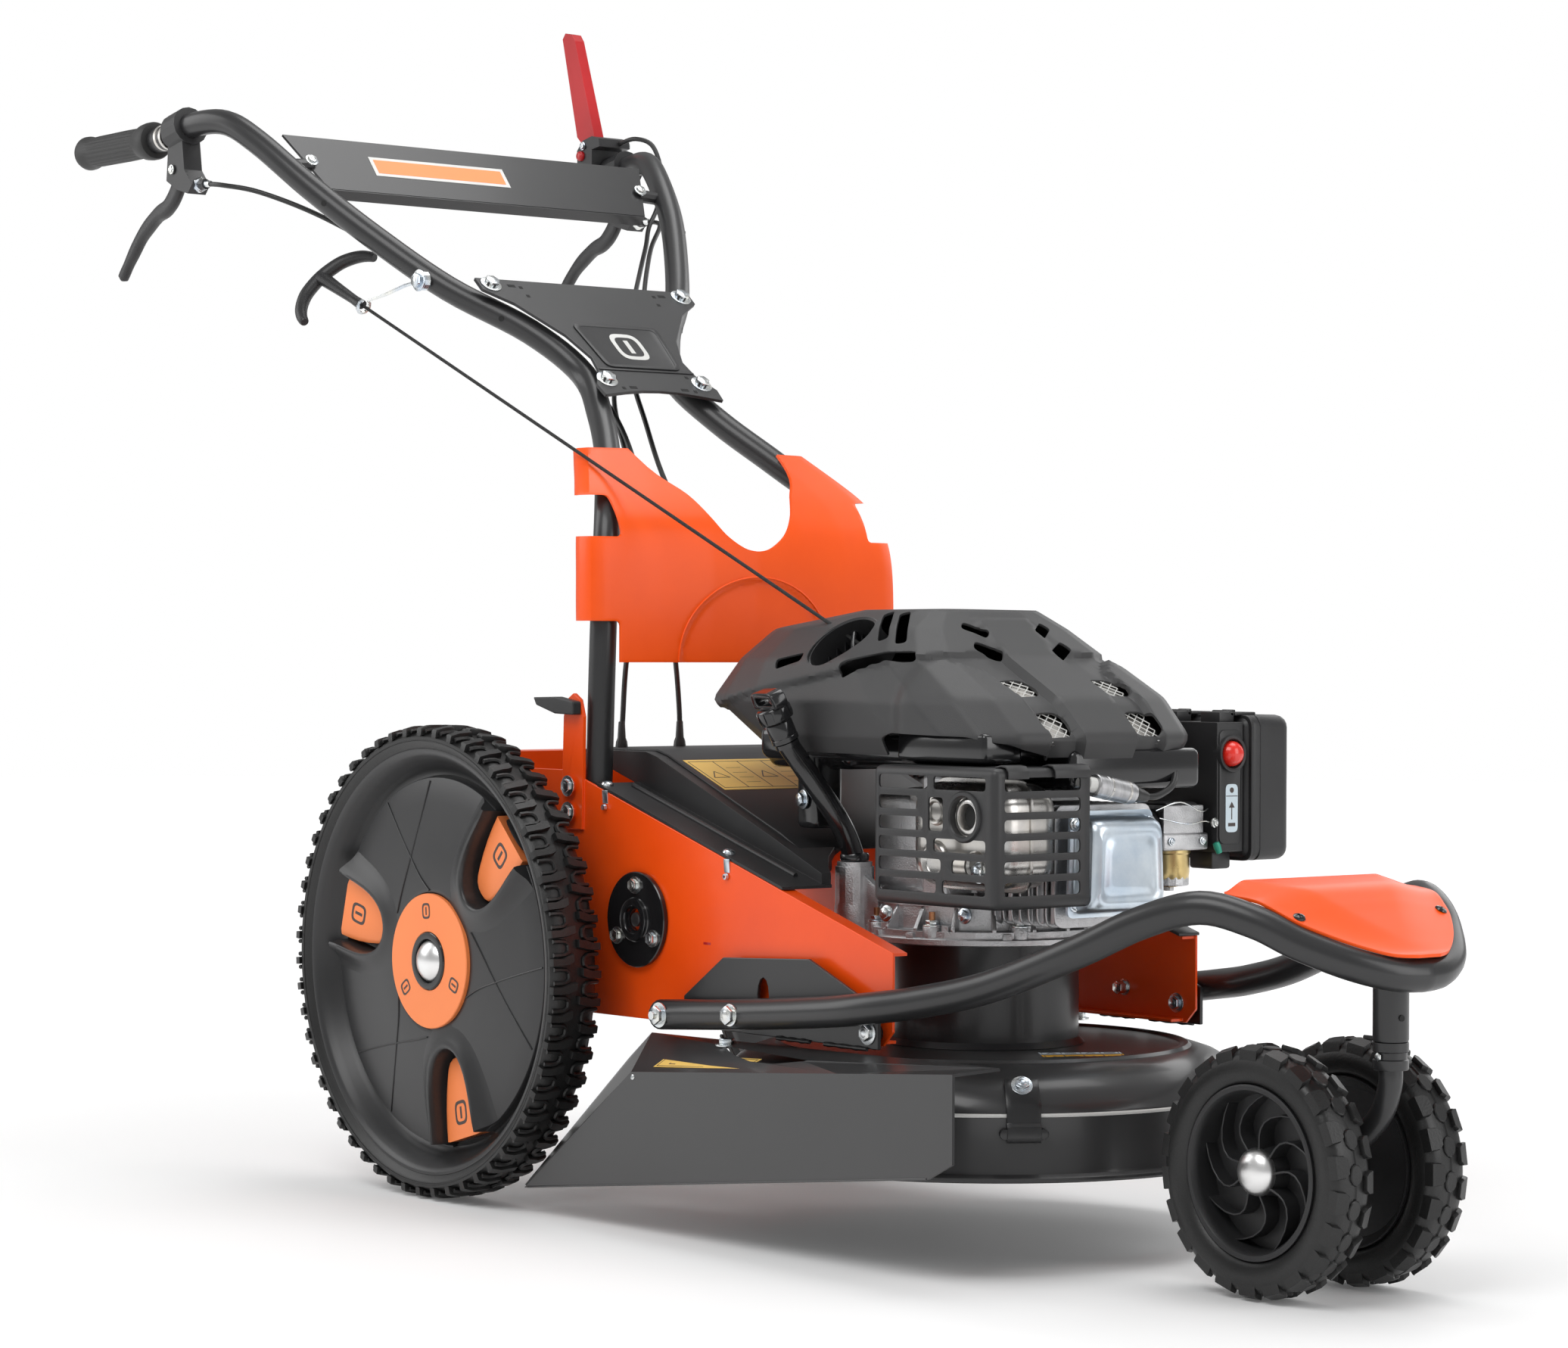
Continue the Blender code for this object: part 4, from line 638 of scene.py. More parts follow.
def rear_wheel(side, tag):
    centre = at(0.0, side * 0.285, REAR_R)
    spot = wheel_frame(centre, side)
    body = f"rear_wheel_{tag}"

    section = [(0.2282, 0.0215), (0.2310, 0.0240), (0.2350, 0.0268), (0.2395, 0.0288), (0.2425, 0.0286),
               (0.2450, 0.0255), (0.2476, 0.0200), (0.2486, 0.0120), (0.2488, 0.0)]
    section = section + [(r, -z) for r, z in reversed(section[:-1])]
    carcass = turned(section, 120)
    beads = []
    for z in (-1, 1):
        beads.append(turned([(0.2385 + 0.0010 * math.cos(t), z * (0.0282 + 0.0010 * math.sin(t)))
                             for t in (k * math.pi / 3 for k in range(6))], 96))
    tyre = placed(joined(carcass, rear_lugs(), *beads), spot)
    piece(tyre, f"rear_tyre_{tag}_treaded", "tyre_rubber", body, (f"rear_tyre_{tag}",), 34)

    dish = [(0.2278, 0.0205), (0.2298, 0.0205), (0.2305, 0.0218), (0.2290, 0.0232), (0.2255, 0.0228),
            (0.2215, 0.0190), (0.2165, 0.0110), (0.2120, 0.0030), (0.2080, -0.0030), (0.2040, -0.0062),
            (0.2005, -0.0068), (0.1992, -0.0055), (0.1988, 0.0018), (0.1982, 0.0035), DISC_OUT,
            (0.1700, disc_height(0.170) + 0.0004), (0.1400, disc_height(0.140) + 0.0006),
            (0.1100, disc_height(0.110) + 0.0004), DISC_IN, (0.0745, 0.0140), (0.0735, 0.0120),
            (0.0440, 0.0125), (0.0420, 0.0145), (0.0310, 0.0150), (0.0300, 0.0200), (0.0240, 0.0200),
            (0.0235, 0.0120), (0.0120, 0.0100), (0.0120, -0.0290), (0.0300, -0.0290), (0.0330, -0.0240),
            (0.0340, -0.0170), (0.1200, -0.0170), (0.1900, -0.0180), (0.2000, -0.0190), (0.2180, -0.0265),
            (0.2278, -0.0265)]
    rim = turned(dish, 128)
    cutters, hoods = [], []
    for turn in (0, 120, 240):
        path = [polar(r, a) for r, a in mirrored(SCOOP_SIDE, 0.0, 0.0, turn)]
        opening = [p + (p - polar(0.150, SCOOP_MIDDLE + turn)).normalized() * -0.0015 for p in path]
        outer = [polar(0.2020, SCOOP_MIDDLE + 12.0 + turn), polar(0.2020, SCOOP_MIDDLE - 12.0 + turn)]
        cutters.append(prism([tuple(p.xy) for p in opening + outer], "Z", -0.0120, 0.0500))
        # A raised hood runs round each opening: a broad slope outside, a steep wall inside.
        rows = []
        last = len(path) - 1
        for k, crest in enumerate(path):
            along = (path[min(k + 1, last)] - path[max(k - 1, 0)]).normalized()
            out = Vector((along.y, -along.x, 0))
            if out.dot(crest - polar(0.170, SCOOP_MIDDLE + turn)) < 0:
                out = -out
            tall = 0.0050 + max(0.0, crest.length - 0.0955) * 0.115
            row = []
            for away, share in HOOD_PROFILE:
                spot_on = crest + out * away
                reach = min(1.0, DISC_OUT[0] / max(0.001, spot_on.length))
                spot_on = Vector((spot_on.x * reach, spot_on.y * reach, 0))
                sink = HOOD_SINK if share == 0.0 else 0.0
                spot_on.z = HOOD_FLOOR if share is None else disc_height(spot_on.length) + tall * share - sink
                row.append(spot_on)
            rows.append(row)
        hoods.append(loft(rows, closed=True))
    rim = cut(rim, *cutters)
    rim = softened(rim, 0.0008, 2, 40)
    rim = joined(rim, *hoods)
    lines = []
    for turn in (0, 120, 240):
        spin = Matrix.Rotation(math.radians(turn), 4, "Z")

        def on_disc(points):
            return [spin @ Vector((p.x, p.y, disc_height(p.xy.length) + 0.0006))
                    for p in smooth_route([(x, y, 0) for x, y in points], 8)]
        for points in (((-0.0175, 0.1940), (-0.0310, 0.1520), (-0.0453, 0.1110), (-0.0600, 0.0720),
                        (-0.0680, 0.0480)),
                       ((-0.1020, 0.1670), (-0.0730, 0.1370), (-0.0465, 0.1110), (-0.0240, 0.0900),
                        (-0.0040, 0.0760))):
            lines.append(tube(on_disc(points), 0.00085, 2))
    rim = placed(joined(rim, *lines), spot)
    piece(rim, f"rear_rim_{tag}_moulded", "rim_plastic", body, (f"rear_rim_{tag}",), 44)

    inserts, marks, marks_small = [], [], []
    for turn in (0, 120, 240):
        rows = []
        for inward, pull, drop in ((0.0, 0.0, 0.0150), (0.0, 0.0, 0.0016), (0.5, 0.0008, 0.0007),
                                   (2.0, 0.0026, 0.0)):
            rows.append([polar(r, a, 0.0010 + (r - 0.1055) * 0.062 - drop if drop < 0.01 else -0.0125)
                         for r, a in mirrored(INSERT_SIDE, inward, pull, turn)])
        inserts.append(loft(rows, closed=True))
        radial, across = polar(1.0, SCOOP_MIDDLE + turn), polar(1.0, SCOOP_MIDDLE + turn + 90)
        slope = (radial + Vector((0, 0, 0.062))).normalized()
        foot = axes(across * -1.0, slope, slope.cross(across),
                    polar(0.166, SCOOP_MIDDLE + turn, 0.0010 + (0.166 - 0.1055) * 0.062))
        marks.append(placed(badge(Vector((0, 0, 0)), 0, 0.0130), foot))
        marks_small.append(badge(polar(0.054, turn + 95, 0.0182), turn + 5, 0.0085))
    insert = placed(joined(*inserts), spot)
    piece(insert, f"rear_rim_{tag}_inserts", "orange_label", body)

    ring = turned([(0.0728, 0.0130), (0.0728, 0.0172), (0.0720, 0.0180), (0.0320, 0.0184), (0.0315, 0.0178),
                   (0.0315, 0.0145)], 96)
    piece(placed(ring, spot), f"rear_hub_disc_{tag}", "orange_label", body, (f"rear_hub_ring_{tag}",))
    mark = placed(joined(*marks, *marks_small), spot)
    piece(mark, f"rear_wheel_{tag}_marks", "ink", body)
    dark = turned([(0.0312, 0.0150), (0.0312, 0.0188), (0.0303, 0.0196), (0.0240, 0.0190), (0.0235, 0.0150)], 64)
    piece(placed(dark, spot), f"rear_hub_collar_{tag}", "gloss_black", body)
    cap = turned([(0.0, 0.0272), (0.0060, 0.0268), (0.0120, 0.0252), (0.0172, 0.0225), (0.0208, 0.0190),
                  (0.0228, 0.0160), (0.0233, 0.0140), (0.0, 0.0140)], 64)
    piece(placed(cap, spot), f"rear_hub_cap_{tag}", "chrome", body)


def badge(place, degrees, size):
    """A plain rounded outline with one bar: a mark that means nothing."""
    bm = bmesh.new()
    rings = []
    for scale in (1.0, 0.74):
        ring = []
        for k in range(28):
            a = 2 * math.pi * k / 28
            x = math.copysign(abs(math.cos(a)) ** 0.55, math.cos(a)) * size * scale * 0.86
            y = math.copysign(abs(math.sin(a)) ** 0.55, math.sin(a)) * size * scale
            ring.append((x, y))
        rings.append(ring)
    lower = [[bm.verts.new((x, y, 0.0)) for x, y in ring] for ring in rings]
    upper = [[bm.verts.new((x, y, 0.0003)) for x, y in ring] for ring in rings]
    for k in range(28):
        n = (k + 1) % 28
        bm.faces.new((upper[0][k], upper[0][n], upper[1][n], upper[1][k]))
        bm.faces.new((lower[0][n], lower[0][k], lower[1][k], lower[1][n]))
        bm.faces.new((lower[0][k], lower[0][n], upper[0][n], upper[0][k]))
        bm.faces.new((lower[1][n], lower[1][k], upper[1][k], upper[1][n]))
    outline = fresh(bm)
    bar = softened(box((-size * 0.13, -size * 0.50, 0.0), (size * 0.13, size * 0.50, 0.0003)), 0.0001, 1)
    mark = joined(outline, bar)
    return placed(mark, Matrix.Translation(place) @ Matrix.Rotation(math.radians(degrees), 4, "Z"))


# ------------------------------------------------------------------ front wheels, caster and bumper
FRONT_R = 0.117


def front_wheel(side, tag):
    centre = at(1.023, side * 0.0625, FRONT_R)
    spot = wheel_frame(centre, side)
    body = f"front_wheel_{tag}"

    section = [(0.0806, 0.0180), (0.0822, 0.0205), (0.0870, 0.0232), (0.0940, 0.0248), (0.1000, 0.0246),
               (0.1050, 0.0232), (0.1085, 0.0210), (0.1108, 0.0170), (0.1120, 0.0100), (0.1124, 0.0022),
               (0.1112, 0.0010), (0.1112, 0.0)]
    section = section + [(r, -z) for r, z in reversed(section[:-1])]
    carcass = turned(section, 112)
    blocks = []
    count = 22
    pitch = 2 * math.pi / count
    half = pitch * 0.34

    def foot(z):
        return 0.1108 - 60.0 * max(0.0, abs(z) - 0.010) ** 2

    def crown(z):
        return 0.1166 - 22.0 * max(0.0, abs(z) - 0.010) ** 2

    for end in (-1, 1):
        for k in range(count):
            a = pitch * (k + (0.5 if end > 0 else 0.0))
            outline = [(a - half, end * 0.0235), (a - half * 0.92, end * 0.0150), (a - half * 0.60, end * 0.0105),
                       (a + half * 0.60, end * 0.0105), (a + half * 0.92, end * 0.0150), (a + half, end * 0.0235)]
            blocks.append(lug_block(outline, foot, crown, inset=0.0008))
    for k in range(count):
        a = pitch * (k + 0.25)
        leaf = [(a + pitch * 0.30 * math.cos(t), 0.0075 * math.sin(t)) for t in
                (2 * math.pi * i / 12 for i in range(12))]
        blocks.append(lug_block(leaf, lambda z: 0.1105, lambda z: 0.1146, inset=0.0010))
    tyre = placed(joined(carcass, *blocks), spot)
    piece(tyre, f"front_tyre_{tag}_treaded", "tyre_rubber", body, (f"front_tyre_{tag}",), 34)

    dish = [(0.0806, 0.0185), (0.0806, 0.0218), (0.0790, 0.0226), (0.0755, 0.0220), (0.0735, 0.0195),
            (0.0722, 0.0130), (0.0715, -0.0060), (0.0240, -0.0080), (0.0215, 0.0090), (0.0195, 0.0130),
            (0.0085, 0.0140), (0.0085, -0.0245), (0.0180, -0.0245), (0.0200, -0.0160), (0.0700, -0.0130),
            (0.0790, -0.0225), (0.0806, -0.0225)]
    rim = turned(dish, 80)
    spokes = []
    for k in range(9):
        turn = 40.0 * k
        rows = []
        for i in range(9):
            t = i / 8
            radius = 0.0195 + (0.0735 - 0.0195) * t
            swing = turn - 26.0 * t + 15.0 * math.sin(math.pi * 1.25 * t)
            centre_spot = polar(radius, swing)
            ahead = polar(radius + 0.002, turn - 26.0 * (t + 0.04) + 15.0 * math.sin(math.pi * 1.25 * (t + 0.04)))
            across = (ahead - centre_spot).cross(UP).normalized() * (0.0011 - 0.0003 * t)
            top = 0.0125 - 0.0050 * t
            rows.append([centre_spot - across + Vector((0, 0, -0.0090)), centre_spot - across + Vector((0, 0, top)),
                         centre_spot + across + Vector((0, 0, top)), centre_spot + across + Vector((0, 0, -0.0090))])
        spokes.append(softened(loft(rows, closed=True), 0.0004, 1))
    rim = placed(joined(rim, *spokes), spot)
    piece(rim, f"front_rim_{tag}_spoked", "black_plastic", body, (f"front_rim_{tag}",), 34)
    cap = turned([(0.0, 0.0238), (0.0070, 0.0232), (0.0130, 0.0215), (0.0180, 0.0185), (0.0212, 0.0145),
                  (0.0222, 0.0110), (0.0222, 0.0092), (0.0, 0.0092)], 56)
    piece(placed(cap, spot), f"front_hub_cap_{tag}", "chrome", body)
    washer = turned([(0.0085, -0.0245), (0.0150, -0.0245), (0.0150, -0.0256), (0.0085, -0.0256)], 32)
    piece(placed(washer, spot), f"front_axle_washer_{tag}", "zinc", body)


LOOP_ROUTE = (
    (0.335, 0.240, 0.219), (0.470, 0.240, 0.229), (0.600, 0.240, 0.241), (0.660, 0.236, 0.2485),
    (0.720, 0.223, 0.258), (0.800, 0.205, 0.277), (0.900, 0.185, 0.315), (0.965, 0.166, 0.345),
    (1.020, 0.145, 0.361), (1.065, 0.121, 0.350), (1.098, 0.097, 0.331), (1.130, 0.065, 0.314),
    (1.149, 0.030, 0.304), (1.155, 0.000, 0.302))
COVER_ROWS = ((1.018, 0.112, 0.3715), (1.028, 0.120, 0.3705), (1.040, 0.1215, 0.3695),
              (1.065, 0.117, 0.3660), (1.085, 0.108, 0.3560), (1.100, 0.099, 0.3475),
              (1.120, 0.081, 0.3370), (1.138, 0.061, 0.3280), (1.155, 0.037, 0.3205),
              (1.166, 0.014, 0.3190))
COVER_FIELD = 0.086      # half width of its raised field at the rear edge
COVER_RISE = 0.0100


def bumper():
    half = smooth_route(LOOP_ROUTE, 6)
    whole = [at(p.x, -p.y, p.z) for p in half] + [at(*p) for p in reversed(half[:-1])]
    loop = tube(whole, 0.0155, 8)
    gusset = side_prism([(1.095, 0.3200), (1.140, 0.3040), (1.140, 0.3080), (1.095, 0.3240)], -0.070, 0.070)
    post = turned([(0.0103, 0.240), (0.0160, 0.240), (0.0165, 0.242), (0.0165, 0.300), (0.0175, 0.303),
                   (0.0175, 0.312), (0.0160, 0.314), (0.0103, 0.314)], 40)
    post.data.transform(Matrix.Translation(at(1.119, 0, 0)))
    frame_piece = joined(loop, softened(gusset, 0.001), post)
    piece(frame_piece, "bumper_frame", "charcoal_paint", "chassis", ("bumper",), 40)
    bolts = []
    for side in (-1, 1):
        stud = rod(at(0.352, side * 0.250, 0.2205), at(0.352, side * 0.2655, 0.2205), 0.0044, 16)
        nut = pin(at(0.352, side * 0.2545, 0.2205), at(0.352, side * 0.2620, 0.2205), 0.0100, 6, 0.0008)
        washer = [(0.0045, -0.0003), (0.0128, -0.0003), (0.0128, 0.0010), (0.0045, 0.0010)]
        bolts += [stud, nut, turned_at(at(0.352, side * 0.2548, 0.2205), (0, side, 0), washer, 28)]
        bolts.append(hex_bolt(at(0.470, side * 0.2548, 0.229), (0, side, 0), 0.0098, 0.0070, 1.15))
        bolts.append(hex_bolt(at(0.335, side * 0.236, 0.2190), (-1, 0, 0), 0.0080, 0.0045, 1.1))
    piece(bolts, "bumper_bolts", "zinc")
    # Painted shade: a thin dark disc on the swivel post stands for the dark inside of its hole.
    bore = rod(at(1.1352, -0.0035, 0.262), at(1.1362, -0.0036, 0.262), 0.0030, 16)
    piece(bore, "swivel_post_hole_shade", "painted_hole_shade")


def nose_cover():
    """Moulded cover over the nose of the bumper: a raised flat field inside a sloping border."""
    rows = []
    count = 72
    spine = smooth_route([(x, half, z) for x, half, z in COVER_ROWS], 6)
    length = spine[-1].x - spine[0].x
    for spot in spine:
        t = (spot.x - spine[0].x) / length
        wide = COVER_FIELD * max(0.0, 1.0 - t / 0.80)
        row = []
        for k in range(count + 1):
            y = spot.y * (-1.0 + 2.0 * k / count)
            slope = (spot.y - abs(y)) / max(spot.y - wide, 0.001)
            rise = COVER_RISE * ease(slope) * max(0.0, 1.0 - (t / 0.92) ** 2)
            row.append(at(spot.x, y, spot.z + 0.0012 + rise))
        rows.append(row)
    top = loft(rows)
    cover = thick(top, 0.0030, 0.0)
    cover = softened(cover, 0.0010, 2, 50)
    piece(cover, "nose_cover", "orange_plastic", "chassis", ("bumper_cover",), 60)
    screws = []
    for side in (-1, 1):
        screws.append(pan_screw(at(1.094, side * 0.0935, 0.3540), (0.42, side * 0.22, 0.88), 0.0062, 0.0030))
    piece(screws, "nose_cover_screws", "gloss_black")


def caster():
    axle_x = 1.023
    neck = tube([at(*p) for p in smooth_route(
        [(1.119, 0, 0.236), (1.119, 0, 0.215), (1.118, 0, 0.198), (1.107, 0, 0.172), (1.079, 0, 0.146),
         (axle_x + 0.020, 0, 0.128), (axle_x - 0.004, 0, FRONT_R)], 6)], 0.0112, 8)
    stem = rod(at(1.119, 0, 0.205), at(1.119, 0, 0.296), 0.0100, 32)
    collar = upright(at(1.119, 0, 0.214), [(0.0, 0.0), (0.0158, 0.0), (0.0165, 0.0010), (0.0165, 0.0090),
                                           (0.0150, 0.0100), (0.0150, 0.0160), (0.0165, 0.0170), (0.0165, 0.0250),
                                           (0.0158, 0.0255), (0.0, 0.0255)], 40)
    sleeve = rod(at(axle_x, -0.036, FRONT_R), at(axle_x, 0.036, FRONT_R), 0.0150, 32)
    axle = rod(at(axle_x, -0.0840, FRONT_R), at(axle_x, 0.0840, FRONT_R), 0.0080, 24)
    fork = joined(neck, softened(stem, 0.0008), collar, softened(sleeve, 0.0008), axle)
    piece(fork, "caster_fork_bent", "charcoal_paint", "caster", ("caster_fork",), 40)
    nut = pin(at(1.119, -0.0162, 0.2265), at(1.119, -0.0175, 0.2265), 0.0040, 6, 0.0003)
    piece(nut, "caster_grease_nipple", "zinc", "caster")


# ------------------------------------------------------------------ labels
LABEL_LIFT = 0.0004


def label(name, corners, material, cells):
    """A printed label on the chassis, of plain frames, bars and triangles. corners run from its top left."""
    a, b, c, d = [Vector(p) for p in corners]
    normal = (b - a).cross(d - a).normalized()
    if normal.z < 0 and abs(normal.z) > 0.3:
        normal = -normal

    def spot(u, v, up=0.0):
        return (a.lerp(b, u)).lerp(d.lerp(c, u), v) + normal * (LABEL_LIFT + up)

    def patch(u0, u1, v0, v1, low, high):
        ring = [(u0, v0), (u1, v0), (u1, v1), (u0, v1)]
        return loft([[spot(u, v, up) for u, v in ring] for up in (low, high)], closed=True)

    plate = patch(0.0, 1.0, 0.0, 1.0, -0.0004, 0.0)
    piece(plate, name, material)
    wide, tall = (b - a).length, (d - a).length
    line = 0.0011
    lu, lv = line / wide, line / tall
    inks = [patch(0.02, 0.98, 0.06, 0.06 + lv, 0.0, 0.0001), patch(0.02, 0.98, 0.94 - lv, 0.94, 0.0, 0.0001),
            patch(0.02, 0.02 + lu, 0.06, 0.94, 0.0, 0.0001), patch(0.98 - lu, 0.98, 0.06, 0.94, 0.0, 0.0001)]
    for k in range(1, cells):
        u = 0.02 + 0.96 * k / cells
        inks.append(patch(u, u + lu, 0.06, 0.94, 0.0, 0.0001))
    for k in range(cells):
        u = 0.02 + 0.96 * (k + 0.5) / cells
        if k % 2:
            for v in (0.28, 0.44, 0.60, 0.76):
                inks.append(patch(u - 0.28 / cells, u + 0.28 / cells, v, v + 0.5 * lv, 0.0, 0.0001))
        else:
            size = min(0.30 * wide / cells, 0.32 * tall)
            ends = [(u - size / wide, 0.5 + 0.8 * size / tall), (u + size / wide, 0.5 + 0.8 * size / tall),
                    (u, 0.5 - 0.8 * size / tall)]
            for (u0, v0), (u1, v1) in zip(ends, ends[1:] + ends[:1]):
                start, end = spot(u0, v0, 0.0001), spot(u1, v1, 0.0001)
                across = (end - start).cross(normal).normalized() * 0.0006
                bm = bmesh.new()
                bm.faces.new([bm.verts.new(p) for p in
                              (start - across, start + across, end + across, end - across)])
                inks.append(thick(fresh(bm), 0.0001))
    piece(inks, f"{name}_print", "ink")


# ------------------------------------------------------------------ chassis
ENGINE_X = 0.560         # the crankshaft, which the deck, the neck drum and the engine share
PLATE_Y = 0.2045         # outer face of a side plate
DRUM_R, DRUM_TOP, DRUM_FOOT = 0.097, 0.2995, 0.1964


def plate_top(x):
    """Height of a side plate's sloping top edge."""
    return 0.463 + (x - 0.118) * (0.300 - 0.463) / (0.661 - 0.118)


def chassis():
    for tag in ("right", "left"):
        dress(f"side_plate_{tag}", "orange_paint", 0.0006)
        dress(f"deck_bracket_{tag}", "charcoal_paint", 0.0009)
    dress("crossmember", "orange_paint", 0.0008)
    dress("adjust_lever", "black_plastic", 0.0016, 3)
    dress("chassis_cover", "black_plastic", 0.0026, 3)
    dress("drive_unit", "cast_aluminium", 0.0030, 3)
    drum = turned([(DRUM_R, DRUM_TOP), (DRUM_R, DRUM_FOOT + 0.006), (DRUM_R + 0.006, DRUM_FOOT),
                   (DRUM_R - 0.006, DRUM_FOOT), (DRUM_R - 0.006, DRUM_TOP)], 128)
    piece(placed(drum, Matrix.Translation(at(ENGINE_X, 0, 0))), "neck_drum_turned", "black_paint", "chassis",
          ("neck_drum",), 40)

    # The cover's second, narrower step, and the ribs along its sides.
    outline = [(0.074, 0.4820), (0.186, 0.4820), (0.2060, 0.4770), (0.3985, 0.4012), (0.430, 0.3862),
               (0.430, 0.3895), (0.4000, 0.4042), (0.2070, 0.4800), (0.1870, 0.4852), (0.074, 0.4852)]
    piece(softened(side_prism(outline, -0.136, 0.136), 0.0014, 3), "chassis_cover_step", "black_plastic")
    for side in (-1, 1):
        rib = tube([at(x, side * 0.166, plate_top(x) + 0.0045) for x in (0.186, 0.20, 0.30, 0.40, 0.462)],
                   0.0030, 4)
        piece(rib, f"chassis_cover_rib_{'right' if side < 0 else 'left'}", "black_plastic")

    def on_cover(x, y):
        return at(x, y, 0.4800 + (x - 0.2070) * (0.4042 - 0.4800) / (0.4000 - 0.2070))
    label("cover_label", (on_cover(0.222, -0.128), on_cover(0.222, 0.007), on_cover(0.296, 0.007),
                          on_cover(0.296, -0.128)), "amber_label", 4)

    fasteners, clips = [], []
    slope = Vector((0.287, 0, 0.958))
    for side in (-1, 1):
        for x in (0.178, 0.389):
            spot = at(x, side * 0.1945, plate_top(x) + 0.0036)
            fasteners.append(pan_screw(spot, slope, 0.0068, 0.0036))
            z = plate_top(x)
            clip = prism([(side * 0.2046, z - 0.016), (side * 0.2046, z - 0.002), (side * 0.2062, z - 0.002),
                          (side * 0.2062, z - 0.006), (side * 0.2052, z - 0.016)], "X",
                         x + 0.006 + AXLE_X, x + 0.015 + AXLE_X)
            clips.append(softened(clip, 0.0003))
            clips.append(turned_at(at(x + 0.0105, side * 0.2056, z - 0.020), (0, side, 0),
                                   [(0.0016, 0.0), (0.0034, 0.0), (0.0030, 0.0030), (0.0016, 0.0032)], 16))
        fasteners.append(hex_bolt(at(0.131, side * 0.2125, 0.418), (0, side, 0), 0.0078, 0.0050))
        fasteners.append(hex_bolt(at(0.131, side * 0.2125, 0.446), (0, side, 0), 0.0078, 0.0050))
    piece(fasteners, "cover_screws", "zinc")
    piece(clips, "cover_clips", "zinc_sheet")

    for side, tag in ((-1, "right"), (1, "left")):
        start = PLATE_Y + 0.0003
        plate = turned([(0.0115, 0.0), (0.0490, 0.0), (0.0500, 0.0010), (0.0500, 0.0050), (0.0490, 0.0060),
                        (0.0235, 0.0060), (0.0225, 0.0068), (0.0220, 0.0096), (0.0210, 0.0102),
                        (0.0150, 0.0102), (0.0142, 0.0095), (0.0135, 0.0050), (0.0115, 0.0045)], 64)
        spot = frame_at(at(0.250, side * start, 0.310), (0, side, 0))
        piece(placed(plate, spot), f"bearing_plate_{tag}", "gloss_black", "chassis", (f"bearing_flange_{tag}",))
        nuts = []
        for angle in (90, 210, 330):
            place = at(0.250 + 0.036 * math.cos(math.radians(angle)), side * (start + 0.0060),
                       0.310 + 0.036 * math.sin(math.radians(angle)))
            nuts.append(hex_bolt(place, (0, side, 0), 0.0068, 0.0058, 1.35))
        piece(nuts, f"bearing_nuts_{tag}", "zinc")
        shaft = pin(at(0.250, side * 0.2060, 0.310), at(0.250, side * 0.2110, 0.310), 0.0075, 24, 0.0008)
        piece(shaft, f"drive_shaft_end_{tag}", "bare_steel")
        heads = [hex_bolt(at(0.640, side * 0.2180, 0.2225), (0, side, 0), 0.0082, 0.0062),
                 hex_bolt(at(0.4440, side * 0.2390, 0.1960), (0, 0, 1), 0.0080, 0.0072),
                 hex_bolt(at(0.634, side * 0.2012, 0.2290), (0, -side, 0), 0.0072, 0.0062, 1.45),
                 hex_bolt(at(0.556, side * 0.2012, 0.2400), (0, -side, 0), 0.0072, 0.0120, 1.20)]
        piece(heads, f"bracket_bolts_{tag}", "zinc")
        mark = softened(box(at(0.360, side * 0.2046, 0.2905) - Vector((0, 0.0002, 0)),
                            at(0.372, side * 0.2046, 0.2930) + Vector((0, 0.0002, 0))), 0.0002)
        piece(mark, f"plate_slot_{tag}", "red_plastic")
        welds = []
        for x0, x1 in ((0.50, 0.552), (0.575, 0.64)):
            bead = [at(x0 + (x1 - x0) * k / 8, side * (0.2192 + 0.0006 * math.sin(3.1 * k)), 0.2068) for k in range(9)]
            welds.append(tube(bead, 0.0022, 3, [1 + 0.25 * math.sin(2.3 * k) for k in range(9)]))
        piece(welds, f"bracket_weld_{tag}", "charcoal_paint")
    cap = side_prism([(0.606, plate_top(0.606) + 0.0006), (0.663, plate_top(0.663) + 0.0006),
                      (0.663, plate_top(0.663) + 0.0040), (0.606, plate_top(0.606) + 0.0040)], 0.176, 0.2055)
    piece(softened(cap, 0.0010), "plate_edge_cap_left", "black_plastic")


